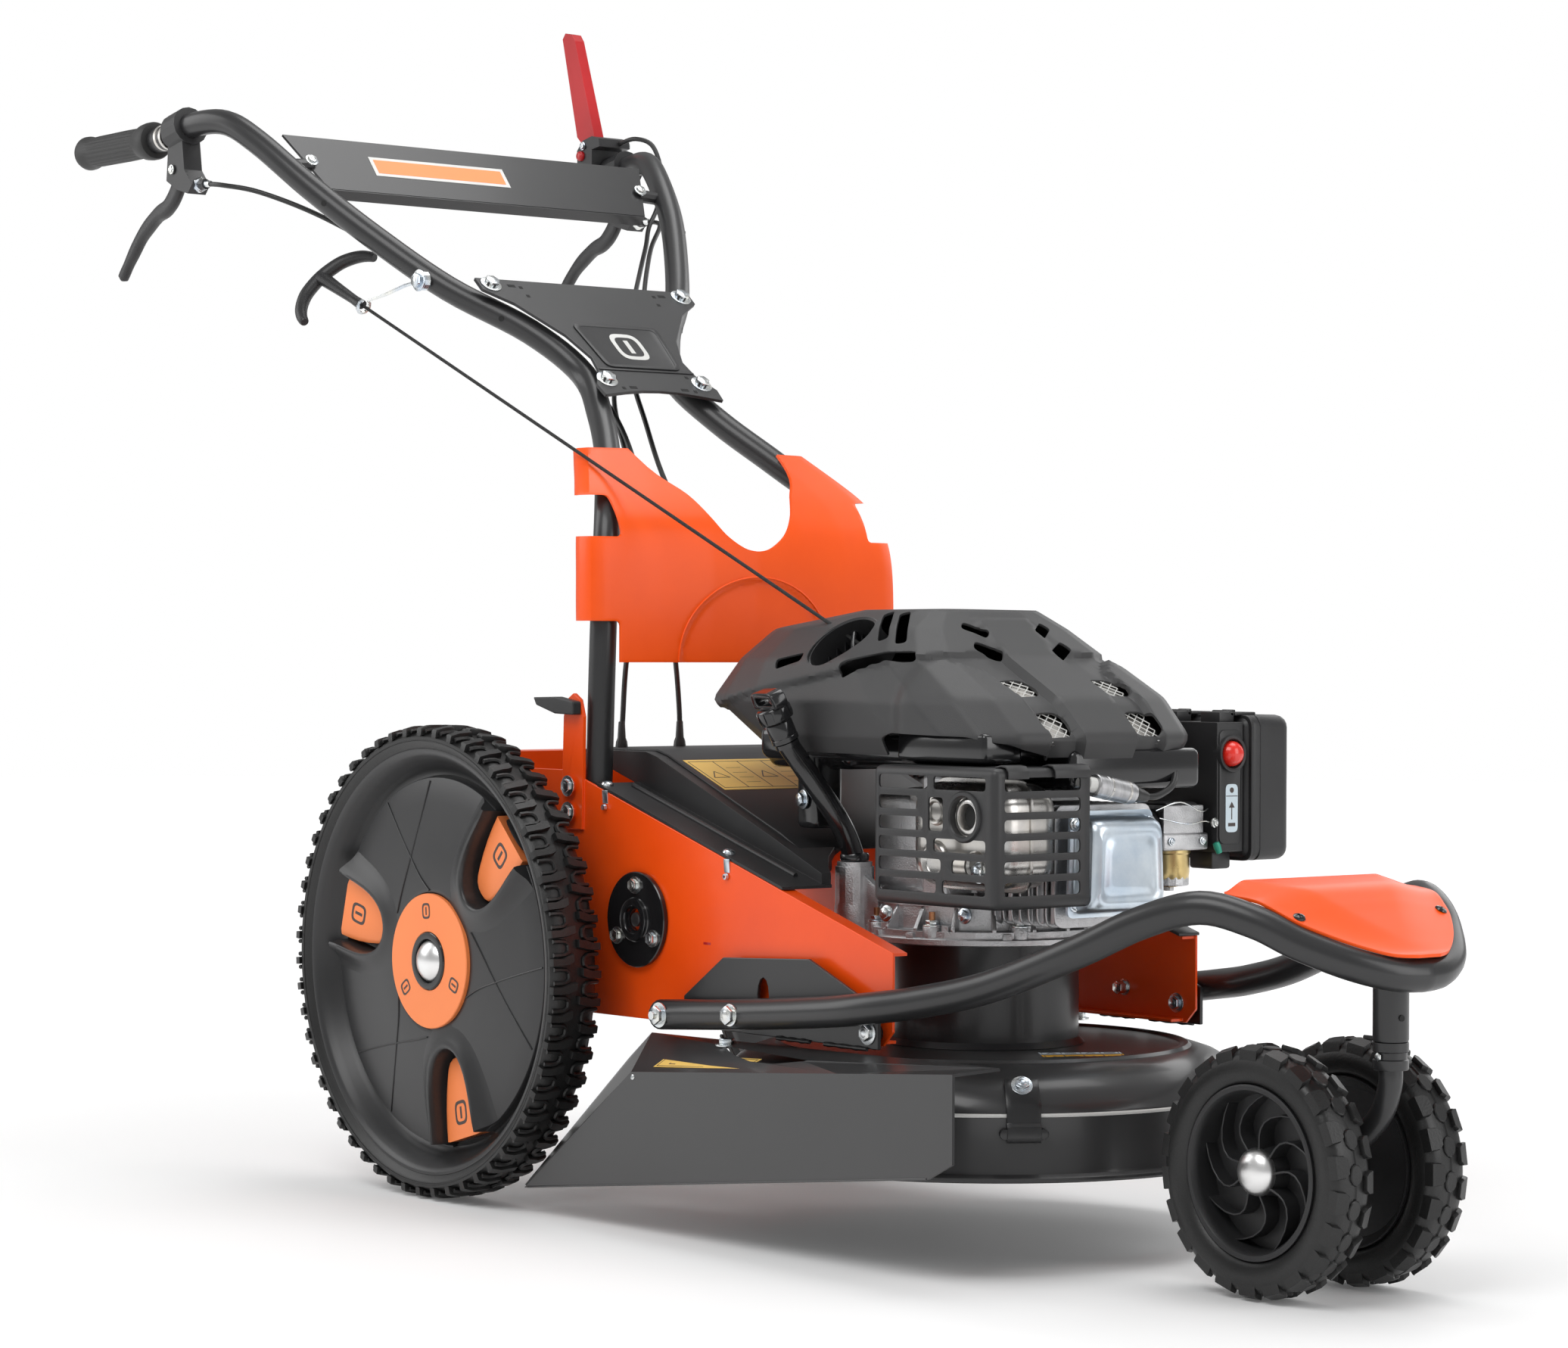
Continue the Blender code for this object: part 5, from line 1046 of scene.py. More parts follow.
# ------------------------------------------------------------------ cutting deck
def deck():
    profile = [(0.034, 0.1958), (0.150, 0.1960), (0.188, 0.1958), (0.206, 0.1950), (0.222, 0.1925),
               (0.236, 0.1880), (0.248, 0.1810), (0.257, 0.1720), (0.263, 0.1625), (0.2665, 0.1560),
               (0.2672, 0.1530), (0.2655, 0.1518), (0.2655, 0.1500), (0.2680, 0.1488), (0.2680, 0.0980),
               (0.2690, 0.0952), (0.2720, 0.0936), (0.2740, 0.0920), (0.2742, 0.0895), (0.2725, 0.0872),
               (0.2670, 0.0870), (0.2650, 0.0890), (0.2648, 0.1490), (0.2600, 0.1600), (0.2450, 0.1790),
               (0.2200, 0.1890), (0.1890, 0.1928), (0.034, 0.1928)]
    body = turned(profile, 144)
    body.data.transform(Matrix.Translation(at(ENGINE_X, 0, 0)))
    piece(body, "deck_pressed", "deck_paint", "chassis", ("deck",), 36)

    # Painted highlight: a pale line along the gap between the dome and the band, over the front right of the deck.
    line = []
    for k in range(41):
        line.append(at(ENGINE_X, 0, 0.1509) + polar(0.2674, -72 + 100 * k / 40))
    piece(tube(line, 0.0019, 3), "deck_seam_painted_highlight", "pale_ring")
    rib = upright(at(ENGINE_X, 0, 0), [(0.1990, 0.1954), (0.2030, 0.1976), (0.2075, 0.1974), (0.2110, 0.1944)], 128)
    piece(rib, "deck_rib", "deck_paint")

    # Clip that holds the band, with its bolt.
    out, side = polar(1.0, -33.0), polar(1.0, 57.0)
    centre = at(ENGINE_X, 0, 0)
    strip = []
    for radius, z in ((0.2500, 0.1835), (0.2590, 0.1745), (0.2672, 0.1610), (0.2702, 0.1530), (0.2706, 0.1440),
                      (0.2740, 0.1405), (0.2750, 0.1310), (0.2712, 0.1260)):
        spot = centre + out * radius + UP * z
        strip.append([spot - side * 0.0165, spot - side * 0.010, spot, spot + side * 0.010, spot + side * 0.0165])
    clip = softened(thick(loft(strip), 0.0026), 0.0006)
    piece(clip, "deck_clip", "black_paint")
    normal = (out * 0.75 + UP * 0.66).normalized()
    piece(hex_bolt(centre + out * 0.2565 + UP * 0.1782, normal, 0.0075, 0.0058, 1.4), "deck_clip_bolt", "zinc")
    ears = []
    for end in (-1, 1):
        spot = centre + out * 0.2716 + UP * 0.134 + side * 0.0185 * end
        ears.append(pin(spot - out * 0.003, spot + out * 0.0035, 0.0052, 16, 0.0008))
    piece(ears, "deck_clip_ears", "black_paint")

    dress("skirt", "deck_paint", 0.0007)
    hem = tube([at(0.162, -0.2848, 0.0275), at(0.480, -0.2848, 0.0656), at(0.806, -0.2848, 0.1045)], 0.0011, 3)
    piece(hem, "skirt_hem", "deck_paint")
    piece(pan_screw(at(0.348, -0.2852, 0.1590), (0, -1, 0.2), 0.0030, 0.0014), "skirt_rivet", "zinc")

    def on_ledge(x, mix):
        outer = Vector((x, -0.2840, 0.1625 + (x - 0.345) * 0.0400 / 0.495))
        inner = Vector((x, -0.2250, 0.1960 + (x - 0.301) * 0.0085 / 0.539))
        spot = outer.lerp(inner, mix)
        return at(*spot) + Vector((0, -0.0008, 0.0014))
    label("ledge_label", (on_ledge(0.372, 0.50), on_ledge(0.522, 0.50), on_ledge(0.522, 0.14), on_ledge(0.372, 0.14)),
          "amber_label", 3)
    label("deck_label_pale", (at(0.688, -0.040, 0.1962), at(0.730, 0.030, 0.1962), at(0.742, 0.022, 0.1962),
                              at(0.700, -0.048, 0.1962)), "pale_label", 4)
    label("deck_label_amber", (at(0.7080, -0.0540, 0.1962), at(0.7480, 0.0180, 0.1962), at(0.7700, 0.0060, 0.1938),
                               at(0.7300, -0.0660, 0.1946)), "yellow_label", 4)
    dress("blade", "bare_steel", 0.0006)
    dress("crankshaft", "bare_steel", 0.0008)


# ------------------------------------------------------------------ handlebars
BAR_R = 0.0145
GRIP_Y, GRIP_Z = 0.320, 1.192
BAR_ROUTE = (
    (0.150, 0.186, 0.430), (0.150, 0.181, 0.600), (0.146, 0.174, 0.700), (0.125, 0.157, 0.750),
    (0.071, 0.118, 0.800), (0.008, 0.083, 0.850), (-0.051, 0.064, 0.900), (-0.108, 0.097, 0.950),
    (-0.178, 0.162, 1.000), (-0.250, 0.215, 1.060), (-0.319, 0.258, 1.120), (-0.385, 0.287, 1.175),
    (-0.430, 0.303, 1.201), (-0.480, 0.316, 1.203), (-0.530, GRIP_Y, 1.194), (-0.560, GRIP_Y, GRIP_Z),
    (-0.650, GRIP_Y, GRIP_Z), (-0.726, GRIP_Y, GRIP_Z))
LEVER_PIVOT = (-0.508, 1.152)
LEVER_ROUTE = ((0.0, 0.0), (-0.010, -0.022), (-0.030, -0.040), (-0.057, -0.049), (-0.091, -0.069),
               (-0.119, -0.095), (-0.142, -0.119))


def handlebar(side, tag):
    route = [at(p.x, side * p.y, p.z) for p in smooth_route(BAR_ROUTE, 6)]
    piece(tube(route, BAR_R, 9), f"handlebar_{tag}_tube", "charcoal_paint", "handlebars", (f"handlebar_{tag}",), 50)
    # Painted shade: thin dark discs on each tube stand for the dark inside of its holes.
    ends = []
    for spot in ((-0.126, side * 0.1140, 0.9640), (-0.300, side * 0.2470, 1.1040)):
        near = min(range(len(route)), key=lambda k: (route[k] - at(*spot)).length)
        along = (route[near + 1] - route[near - 1]).normalized()
        face = (Vector((0.25, side * 1.0, 0.1)) - along * Vector((0.25, side * 1.0, 0.1)).dot(along)).normalized()
        ends.append(rod(route[near] + face * (BAR_R - 0.0004), route[near] + face * (BAR_R + 0.0002), 0.0034, 16))
    piece(ends, f"handlebar_{tag}_holes", "painted_hole_shade", "handlebars")


def grip(side, tag):
    """Moulded grip: a rounded end knob, a waist with lengthwise ribs, and a front flange."""
    stations = [(0.7320, 0.0095), (0.7318, 0.0150), (0.7300, 0.0188), (0.7260, 0.0204), (0.7200, 0.0202),
                (0.7120, 0.0184), (0.7060, 0.0177), (0.6600, 0.0179), (0.6300, 0.0181), (0.6000, 0.0178),
                (0.5940, 0.0180), (0.5880, 0.0196), (0.5820, 0.0215), (0.5740, 0.0224), (0.5660, 0.0224),
                (0.5628, 0.0210), (0.5622, 0.0180), (0.5620, 0.0147)]
    rows = []
    steps = 96
    fine = []
    for (x0, r0), (x1, r1) in zip(stations, stations[1:]):
        cuts = max(1, int(abs(x1 - x0) / 0.008))
        for k in range(cuts):
            t = k / cuts
            fine.append((x0 + (x1 - x0) * t, r0 + (r1 - r0) * t))
    fine.append(stations[-1])
    for x, r in fine:
        ribbed = 0.597 < x < 0.706
        row = []
        for k in range(steps):
            a = 2 * math.pi * k / steps
            ripple = 0.00055 * (1 if (k // 2) % 2 else -1) if ribbed else 0.0
            row.append(at(-x, side * GRIP_Y + (r + ripple) * math.cos(a), GRIP_Z + (r + ripple) * math.sin(a)))
        rows.append(row)
    piece(loft(rows, closed=True), f"grip_{tag}_moulded", "grip_rubber", "handlebars", (f"grip_{tag}",), 50)


def hand_lever(side, tag, body):
    x, z = LEVER_PIVOT
    y = side * 0.3170
    spine = [Vector((x + p.x, 0, z + p.y)) for p in smooth_route([(a, b, 0) for a, b in LEVER_ROUTE], 6)]
    rows = []
    last = len(spine) - 1
    for k, spot in enumerate(spine):
        t = k / last
        along = (spine[min(k + 1, last)] - spine[max(k - 1, 0)]).normalized()
        normal = Vector((-along.z, 0, along.x))
        tall = 0.0092 * (1 - t) ** 0.7 + 0.0058 + 0.0016 * math.exp(-((t - 0.96) / 0.05) ** 2)
        tall += 0.0005 * math.sin(34 * t) * (0.25 < t < 0.9)
        if k == last:
            tall *= 0.45
        wide = 0.0056 + 0.0014 * math.sin(math.pi * t)
        if k == last:
            wide *= 0.45
        row = []
        for i in range(20):
            a = 2 * math.pi * i / 20
            c = math.copysign(abs(math.cos(a)) ** 0.7, math.cos(a))
            s = math.copysign(abs(math.sin(a)) ** 0.7, math.sin(a))
            row.append(at(spot.x, y + wide * s, spot.z) + normal * tall * 0.78 * c)
        rows.append(row)
    blade = loft(rows, closed=True)
    eye = pin(at(x, y - 0.0055, z), at(x, y + 0.0055, z), 0.0098, 32, 0.0010)
    piece([blade, eye], f"hand_lever_{tag}_moulded", "black_plastic", body, (f"hand_lever_{tag}",), 40)


def lever_housing(side, tag):
    dress(f"lever_housing_{tag}", "black_plastic", 0.0018, 3)
    x, z = LEVER_PIVOT
    y = side * 0.3170
    heads = []
    for end in (side, -side):
        heads.append(placed(hex_bolt((0, 0, 0), (0, 0, 1), 0.0046, 0.0030, 1.25),
                            frame_at(at(x, y + end * 0.0137, z), (0, end, 0))))
    piece(heads, f"lever_pin_{tag}", "zinc", "handlebars")
    collar = pin(at(-0.4700, y, 1.1316), at(-0.4630, y, 1.1312), 0.0094, 6, 0.0006)
    wheel = turned([(0.0040, -0.004), (0.0078, -0.004), (0.0082, -0.003), (0.0082, 0.003), (0.0078, 0.004),
                    (0.0040, 0.004)], 24)
    wheel = placed(wheel, frame_at(at(-0.4790, y, 1.1320), (1, 0, 0)))
    ferrule = rod(at(-0.4530, y, 1.1311), at(-0.4420, y, 1.1306), 0.0043, 20, 0.0036)
    piece([collar, wheel, ferrule], f"cable_adjuster_{tag}", "zinc", "handlebars")
    if side < 0:
        bands = []
        for start in (-0.5445, -0.5330):
            bands.append(turned_at(at(start, side * GRIP_Y, 1.1933), (1, 0.0, 0.03),
                                   [(0.0146, 0.0), (0.0155, 0.0003), (0.0155, 0.0047), (0.0146, 0.0050)], 48))
        piece(bands, "bar_bands", "silver_sheet", "handlebars")


def controls():
    dress("switch_housing", "black_plastic", 0.0014, 3)
    dress("deadman_lever", "red_plastic", 0.0026, 4)
    button = turned([(0.0, 0.0060), (0.0030, 0.0058), (0.0052, 0.0048), (0.0062, 0.0030), (0.0062, -0.0022),
                     (0.0, -0.0022)], 32)
    piece(placed(button, frame_at(at(-0.547, 0.286, 1.2205), (0, -1, 0))), "stop_button_domed", "red_plastic",
          "stop_switch", ("stop_button",))
    screw = joined(hex_bolt(at(-0.5430, 0.2855, 1.2330), (0, -1, 0), 0.0042, 0.0030, 1.3),
                   hex_bolt(at(-0.5150, 0.3345, 1.2335), (0, 1, 0), 0.0040, 0.0030, 1.3))
    piece(screw, "switch_screws", "zinc", "handlebars")
    dress("cross_panel", "charcoal_paint", 0.0006)
    lip = []
    for side in (-1, 1):
        lip.append(hex_bolt(at(-0.3520, side * 0.2355, 1.1555), (0.77, 0, 0.64), 0.0062, 0.0042, 1.3))
    piece(lip, "cross_panel_bolts", "zinc", "handlebars")
    mark_low = Vector((-0.330, 0.0, 1.121))
    top = Vector((-0.384, 0.0, 1.186))
    down = (mark_low - top).normalized()
    normal = Vector((-down.z, 0, down.x))
    if normal.x < 0:
        normal = -normal
    spot = axes(Vector((0, 1, 0)), -down, normal, at(*top) + normal * 0.0015)
    for name, material, low, high in (
            ("cross_panel_plate", "pale_ring", (-0.1500, -0.0560, 0.0), (0.0400, -0.0250, 0.0005)),
            ("cross_panel_plate_field", "orange_label", (-0.1450, -0.0515, 0.0004), (0.0350, -0.0295, 0.0008))):
        piece(placed(softened(box(low, high), 0.0002, 1), spot), name, material, "handlebars")


CONSOLE_LOW = Vector((0.0155, 0.0, 0.8710))
CONSOLE_TOP = Vector((-0.1450, 0.0, 1.0080))


def console():
    dress("console", "black_plastic", 0.0010, 2)
    up = (CONSOLE_TOP - CONSOLE_LOW).normalized()
    tall = (CONSOLE_TOP - CONSOLE_LOW).length
    normal = Vector((up.z, 0.0, -up.x))
    spot = axes(Vector((0, 1, 0)), up, normal, at(*CONSOLE_LOW))
    bolts, hole_shades, relief = [], [], []
    for side in (-1, 1):
        bolts.append(placed(hex_bolt((side * 0.066, 0.028, 0.0040), (0, 0, 1), 0.0088, 0.0074, 1.45), spot))
        bolts.append(placed(hex_bolt((side * 0.134, tall - 0.012, 0.0040), (0, 0, 1), 0.0088, 0.0074, 1.45), spot))
        # Painted shade: thin dark boxes on the face stand for the dark inside of its slots.
        for x, y, wide, high in ((0.106, tall - 0.012, 0.010, 0.0045), (0.092, tall - 0.030, 0.0045, 0.0045),
                                 (0.052, 0.040, 0.0045, 0.0045), (0.036, 0.016, 0.0100, 0.0045),
                                 (0.094, tall - 0.014, 0.0045, 0.0045), (0.050, 0.014, 0.0045, 0.0045)):
            hole_shades.append(placed(box((side * x - wide / 2, y - high / 2, 0.0036),
                                    (side * x + wide / 2, y + high / 2, 0.0042)), spot))
    # A plain raised panel with a sunk field stands where a badge would sit.
    outer = rounded([(-0.052, 0.052), (0.052, 0.052), (0.060, 0.132), (-0.060, 0.132)], 0.010, 4)
    frame_ring = prism(outer, "Z", 0.0038, 0.0056)
    sunk = prism([(x * 0.90, 0.092 + (y - 0.092) * 0.88) for x, y in outer], "Z", 0.0048, 0.0080)
    relief.append(placed(softened(cut(frame_ring, sunk), 0.0005, 2), spot))
    step = [(-0.066, 0.0465), (0.066, 0.0465), (0.066, 0.0492), (-0.066, 0.0492)]
    relief.append(placed(softened(prism(step, "Z", 0.0036, 0.0052), 0.0005, 2), spot))
    piece(bolts, "console_bolts", "zinc", "handlebars")
    piece(hole_shades, "console_slot_shades", "painted_hole_shade", "handlebars")
    piece(relief, "console_relief", "black_plastic", "handlebars")
    mark = placed(badge(Vector((0, 0.092, 0.0049)), 0, 0.024), spot)
    piece(mark, "console_mark", "pale_ring", "handlebars")
    tips = []
    for side in (-1, 1):
        tips.append(placed(rod((side * 0.134, tall - 0.012, -0.036), (side * 0.134, tall - 0.012, -0.028), 0.0040, 12),
                           spot))
    piece(tips, "console_bolt_tips", "red_rubber", "handlebars")


SHIELD_ROWS = ((0.578, 0.206), (0.620, 0.208), (0.660, 0.208), (0.700, 0.206), (0.730, 0.200),
               (0.755, 0.190), (0.780, 0.172), (0.810, 0.148))


def between(rows, value):
    """Reads the second column of sorted rows at a value of the first."""
    for low, high in zip(rows, rows[1:]):
        if low[0] <= value <= high[0]:
            t = (value - low[0]) / (high[0] - low[0])
            return low[1] + (high[1] - low[1]) * t
    return rows[0][1] if value < rows[0][0] else rows[-1][1]


def shield():
    """Curved guard in front of the legs, clipped round both of them by four tabs."""
    bars = smooth_route([(z, x, y) for x, y, z in BAR_ROUTE[:9]], 6)
    legs = [(p.x, p.y) for p in bars]
    halves = [(p.x, p.y) for p in smooth_route([(z, half, 0) for z, half in SHIELD_ROWS], 5)]
    bulge = ((0.0, 0.041), (0.30, 0.038), (0.62, 0.031), (0.93, 0.0215), (1.0, 0.0165))
    wide, tall = 72, 64
    rows = []
    for i in range(tall + 1):
        z = 0.578 + (0.810 - 0.578) * i / tall
        x, half = between(legs, z), between(halves, z)
        row = []
        for k in range(-wide // 2, wide // 2 + 1):
            share = k / (wide // 2)
            forward = between(bulge, abs(share))
            y = share * half
            arch = math.hypot(y / 0.105, (z - 0.578) / 0.091)
            inside = min(1.0, max(0.0, (1.0 - arch) / 0.055))
            forward -= 0.0042 * inside * inside * (3 - 2 * inside)
            row.append(at(x + forward, y, z))
        for side in (-1, 1):
            curl = [(0.010, 0.0012), (0.002, 0.0022), (-0.006, 0.0012), (-0.0125, -0.0025)]
            extra = [at(x + ahead, side * (half + out), z) for ahead, out in curl]
            row = list(reversed(extra)) + row if side < 0 else row + extra
        rows.append(row)
    body = thick(loft(rows), 0.0028)
    notch_half = smooth_route([(0.0, 0.6985, 0), (0.018, 0.702, 0), (0.040, 0.716, 0), (0.056, 0.736, 0),
                               (0.072, 0.760, 0), (0.098, 0.790, 0), (0.110, 0.850, 0)], 5)[1:]
    outline = [(-p.x, p.y) for p in reversed(notch_half)] + [(p.x, p.y) for p in notch_half]
    cutters = [prism(outline, "X", AXLE_X, AXLE_X + 0.4)]
    for side in (-1, 1):
        for low, high, inner in ((0.560, 0.622, 0.176), (0.712, 0.757, 0.170)):
            ends = sorted((side * inner, side * 0.300))
            cutters.append(block((0.0, ends[0], low), (0.4, ends[1], high), 0.005, 3))
    body = cut(body, *cutters)
    body = softened(body, 0.0007, 2, 50)
    piece(body, "shield_moulded", "orange_plastic", "handlebars", ("shield",), 34)
    lines = []
    for k in range(33):
        a = math.pi * k / 32
        y, z = 0.1055 * math.cos(a), 0.579 + 0.0915 * math.sin(a)
        x, half = between(legs, z), between(halves, z)
        lines.append(at(x + between(bulge, min(1.0, abs(y / half))) + 0.0012, y, z))
    piece(tube(lines, 0.0011, 3), "shield_arch_line", "orange_plastic", "handlebars")


# ------------------------------------------------------------------ starter rope and cables
ROPE_LOW = Vector((0.459, -0.105, 0.611))
ROPE_HIGH = Vector((-0.261, -0.222, 0.982))
PULL = (ROPE_HIGH - ROPE_LOW).normalized()
CROSSBAR = Vector((0.25, 0.69, 0.68))
DRIVE_CABLE = ((-0.4510, -0.3170, 1.1310), (-0.420, -0.3120, 1.1270), (-0.385, -0.285, 1.118),
               (-0.340, -0.238, 1.093), (-0.285, -0.190, 1.055), (-0.225, -0.140, 1.010),
               (-0.165, -0.085, 0.965), (-0.105, -0.040, 0.915), (-0.050, -0.024, 0.860),
               (-0.005, -0.026, 0.800), (0.030, -0.040, 0.740), (0.060, -0.070, 0.660),
               (0.082, -0.100, 0.580), (0.092, -0.112, 0.520), (0.094, -0.115, 0.4838))
BRAKE_CABLE = ((-0.4510, 0.3170, 1.1310), (-0.420, 0.3130, 1.1270), (-0.385, 0.290, 1.116),
               (-0.340, 0.244, 1.085), (-0.285, 0.196, 1.045), (-0.225, 0.146, 1.000),
               (-0.165, 0.091, 0.955), (-0.105, 0.044, 0.905), (-0.055, 0.026, 0.850),
               (-0.015, 0.020, 0.790), (0.025, 0.030, 0.720), (0.060, 0.050, 0.650),
               (0.085, 0.075, 0.580), (0.098, 0.088, 0.520), (0.100, 0.092, 0.4838))
STOP_CABLE = ((-0.5077, 0.318, 1.2350), (-0.480, 0.322, 1.2390), (-0.456, 0.332, 1.228),
              (-0.440, 0.334, 1.190), (-0.432, 0.322, 1.150), (-0.415, 0.296, 1.120),
              (-0.375, 0.262, 1.092), (-0.325, 0.218, 1.060), (-0.270, 0.168, 1.018),
              (-0.212, 0.116, 0.978), (-0.155, 0.064, 0.930), (-0.105, 0.018, 0.878),
              (-0.060, 0.000, 0.820), (-0.020, -0.004, 0.750), (0.020, -0.010, 0.680),
              (0.060, -0.020, 0.600), (0.082, -0.028, 0.530), (0.086, -0.030, 0.4838))


def cable(name, points):
    route = [at(*p) for p in smooth_route(points, 6)]
    made = piece(tube(route, 0.0029, 5), f"{name}_sheath", "cable_rubber", None, (name,), 60)
    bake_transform(made)
    end = route[-1]
    boot = turned([(0.0030, 0.030), (0.0036, 0.029), (0.0046, 0.012), (0.0062, 0.0080), (0.0072, 0.0),
                   (0.0030, 0.0)], 24)
    piece(placed(boot, frame_at(Vector((end.x, end.y, 0.4832)), UP)), f"{name}_grommet", "cable_rubber")


def starter():
    foot = ROPE_HIGH + PULL * 0.0045
    neck = ROPE_HIGH + PULL * 0.080
    bar_dir = (CROSSBAR - PULL * CROSSBAR.dot(PULL)).normalized()
    arms = []
    for reach, drop in ((-0.0560, -0.034), (-0.0535, -0.026), (-0.048, -0.017), (-0.038, -0.008), (-0.024, -0.001),
                        (0.0, 0.0025), (0.024, -0.001), (0.038, -0.008), (0.048, -0.017), (0.0535, -0.026),
                        (0.0560, -0.034)):
        arms.append(neck + bar_dir * reach + PULL * drop)
    route = [at(*p) for p in smooth_route(arms, 4)]
    last = len(route) - 1
    radii = [0.62 + 0.42 * math.sin(math.pi * k / last) ** 0.6 for k in range(last + 1)]
    bar = tube(route, 0.0076, 8, radii)
    stem_rows = []
    for k in range(13):
        t = k / 12
        spot = at(*(foot.lerp(neck, t)))
        radius = 0.0060 + 0.0034 * t ** 1.5 + 0.0014 * math.exp(-((t - 0.04) / 0.05) ** 2)
        turn = frame_at(spot, PULL)
        stem_rows.append([turn @ Vector((radius * 1.15 * math.cos(a), radius * 0.85 * math.sin(a), 0))
                          for a in (2 * math.pi * i / 24 for i in range(24))])
    stem = loft(stem_rows, closed=True)
    piece([bar, stem], "starter_grip", "black_plastic", "pull_handle", ("starter_handle",), 50)

    low, high = at(*ROPE_LOW), at(*(ROPE_HIGH - PULL * 0.004))
    route = [low.lerp(high, k / 60) for k in range(61)]
    rope = piece(tube(route, 0.0019, 4), "starter_rope_run", "rope_cord", None, ("starter_rope",), 60)
    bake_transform(rope)
    top, end = at(*(ROPE_HIGH - PULL * 0.0045)), at(*(ROPE_HIGH + PULL * 0.0120))
    short = [top.lerp(end, k / 12) for k in range(13)]
    tail = piece(tube(short, 0.0019, 4), "starter_rope_tail", "rope_cord", None, (), 60)
    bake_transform(tail)

    dress("rope_guide", "zinc", 0.0)
    bolt_at = at(-0.188, -0.1945, 1.008)
    piece(hex_bolt(bolt_at, (0, -1, 0), 0.0086, 0.0068, 1.45), "rope_guide_bolt", "zinc", "handlebars")


# ------------------------------------------------------------------ engine
COWL_RINGS = ((0.4880, 0.148, 0.325, 0.738), (0.5060, 0.158, 0.300, 0.745), (0.5400, 0.163, 0.242, 0.710),
              (0.5800, 0.150, 0.284, 0.632), (0.6100, 0.120, 0.316, 0.594), (0.6290, 0.082, 0.440, 0.570))


def cowl_point(k, steps, z, half, rear, front):
    """A point of one cowl section: 20 corners joined by straight edges, as the moulding's facets."""
    middle, reach = (rear + front) / 2, (front - rear) / 2
    corners = 20

    def corner(index):
        a = 2 * math.pi * (index + 0.5) / corners
        c, s = math.cos(a), math.sin(a)
        x = middle + reach * math.copysign(abs(c) ** 0.5, c)
        y = half * math.copysign(abs(s) ** 0.5, s) * (1.0 - 0.10 * max(0.0, (middle - x) / reach))
        return Vector((x, y, z))
    share = k / steps * corners
    low = math.floor(share)
    return corner(low % corners).lerp(corner((low + 1) % corners), share - low)


def ease(value):
    """Smooth step from 0 to 1."""
    value = min(1.0, max(0.0, value))
    return value * value * (3 - 2 * value)


def cowl_relief(x, y, z):
    """How far the moulding's raised fields stand out: the hood, the side ridges and the upper deck."""
    far = abs(y)
    hood = ease((0.040 - far) / 0.005) * ease((x - 0.572) / 0.012) * 0.0072
    ridge_y = 0.121 if x < 0.606 else 0.121 - (x - 0.606) * 0.95 if x < 0.649 else 0.0805 - (x - 0.649) * 0.10
    brow = ease((far - ridge_y) / 0.0035) * ease((x - 0.600) / 0.024) * 0.0072
    ridge_z = 0.557 + (x - 0.449) * 0.16
    deck_rise = ease((z - ridge_z) / 0.0035) * ease((0.640 - x) / 0.024) * 0.0046
    return max(hood, brow, deck_rise)


def slot_cutter(start, end, normal, width, depth=0.02):
    """A rounded slot cutter that runs from start to end across a surface with this normal."""
    start, end, normal = Vector(start), Vector(end), Vector(normal).normalized()
    along = (end - start).normalized()
    normal = (normal - along * normal.dot(along)).normalized()
    half, r = (end - start).length / 2, width / 2
    outline = rounded([(-half, -r), (half, -r), (half, r), (-half, r)], r * 0.8, 4)
    spot = axes(along, normal.cross(along), normal, at(*((start + end) / 2)))
    return placed(prism(outline, "Z", -depth, depth), spot)


WINDOWS = (((0.6800, -0.0610, 0.5560), (0.50, -0.05, 0.86), 0.040, 0.034),
           ((0.7290, -0.0600, 0.5200), (0.66, -0.05, 0.75), 0.038, 0.034),
           ((0.6800, 0.0610, 0.5560), (0.50, 0.05, 0.86), 0.040, 0.034),
           ((0.7290, 0.0600, 0.5200), (0.66, 0.05, 0.75), 0.038, 0.034))
WELL_MIDDLE = Vector((0.489, -0.127, 0.598))
WELL_OUT = Vector((0.108, -0.797, 0.600)).normalized()
WELL_ALONG = Vector((0.073, 0.0355, 0.034)).normalized()


def well_frame():
    along = (WELL_ALONG - WELL_OUT * WELL_ALONG.dot(WELL_OUT)).normalized()
    return axes(along, WELL_OUT.cross(along), WELL_OUT, at(*WELL_MIDDLE))


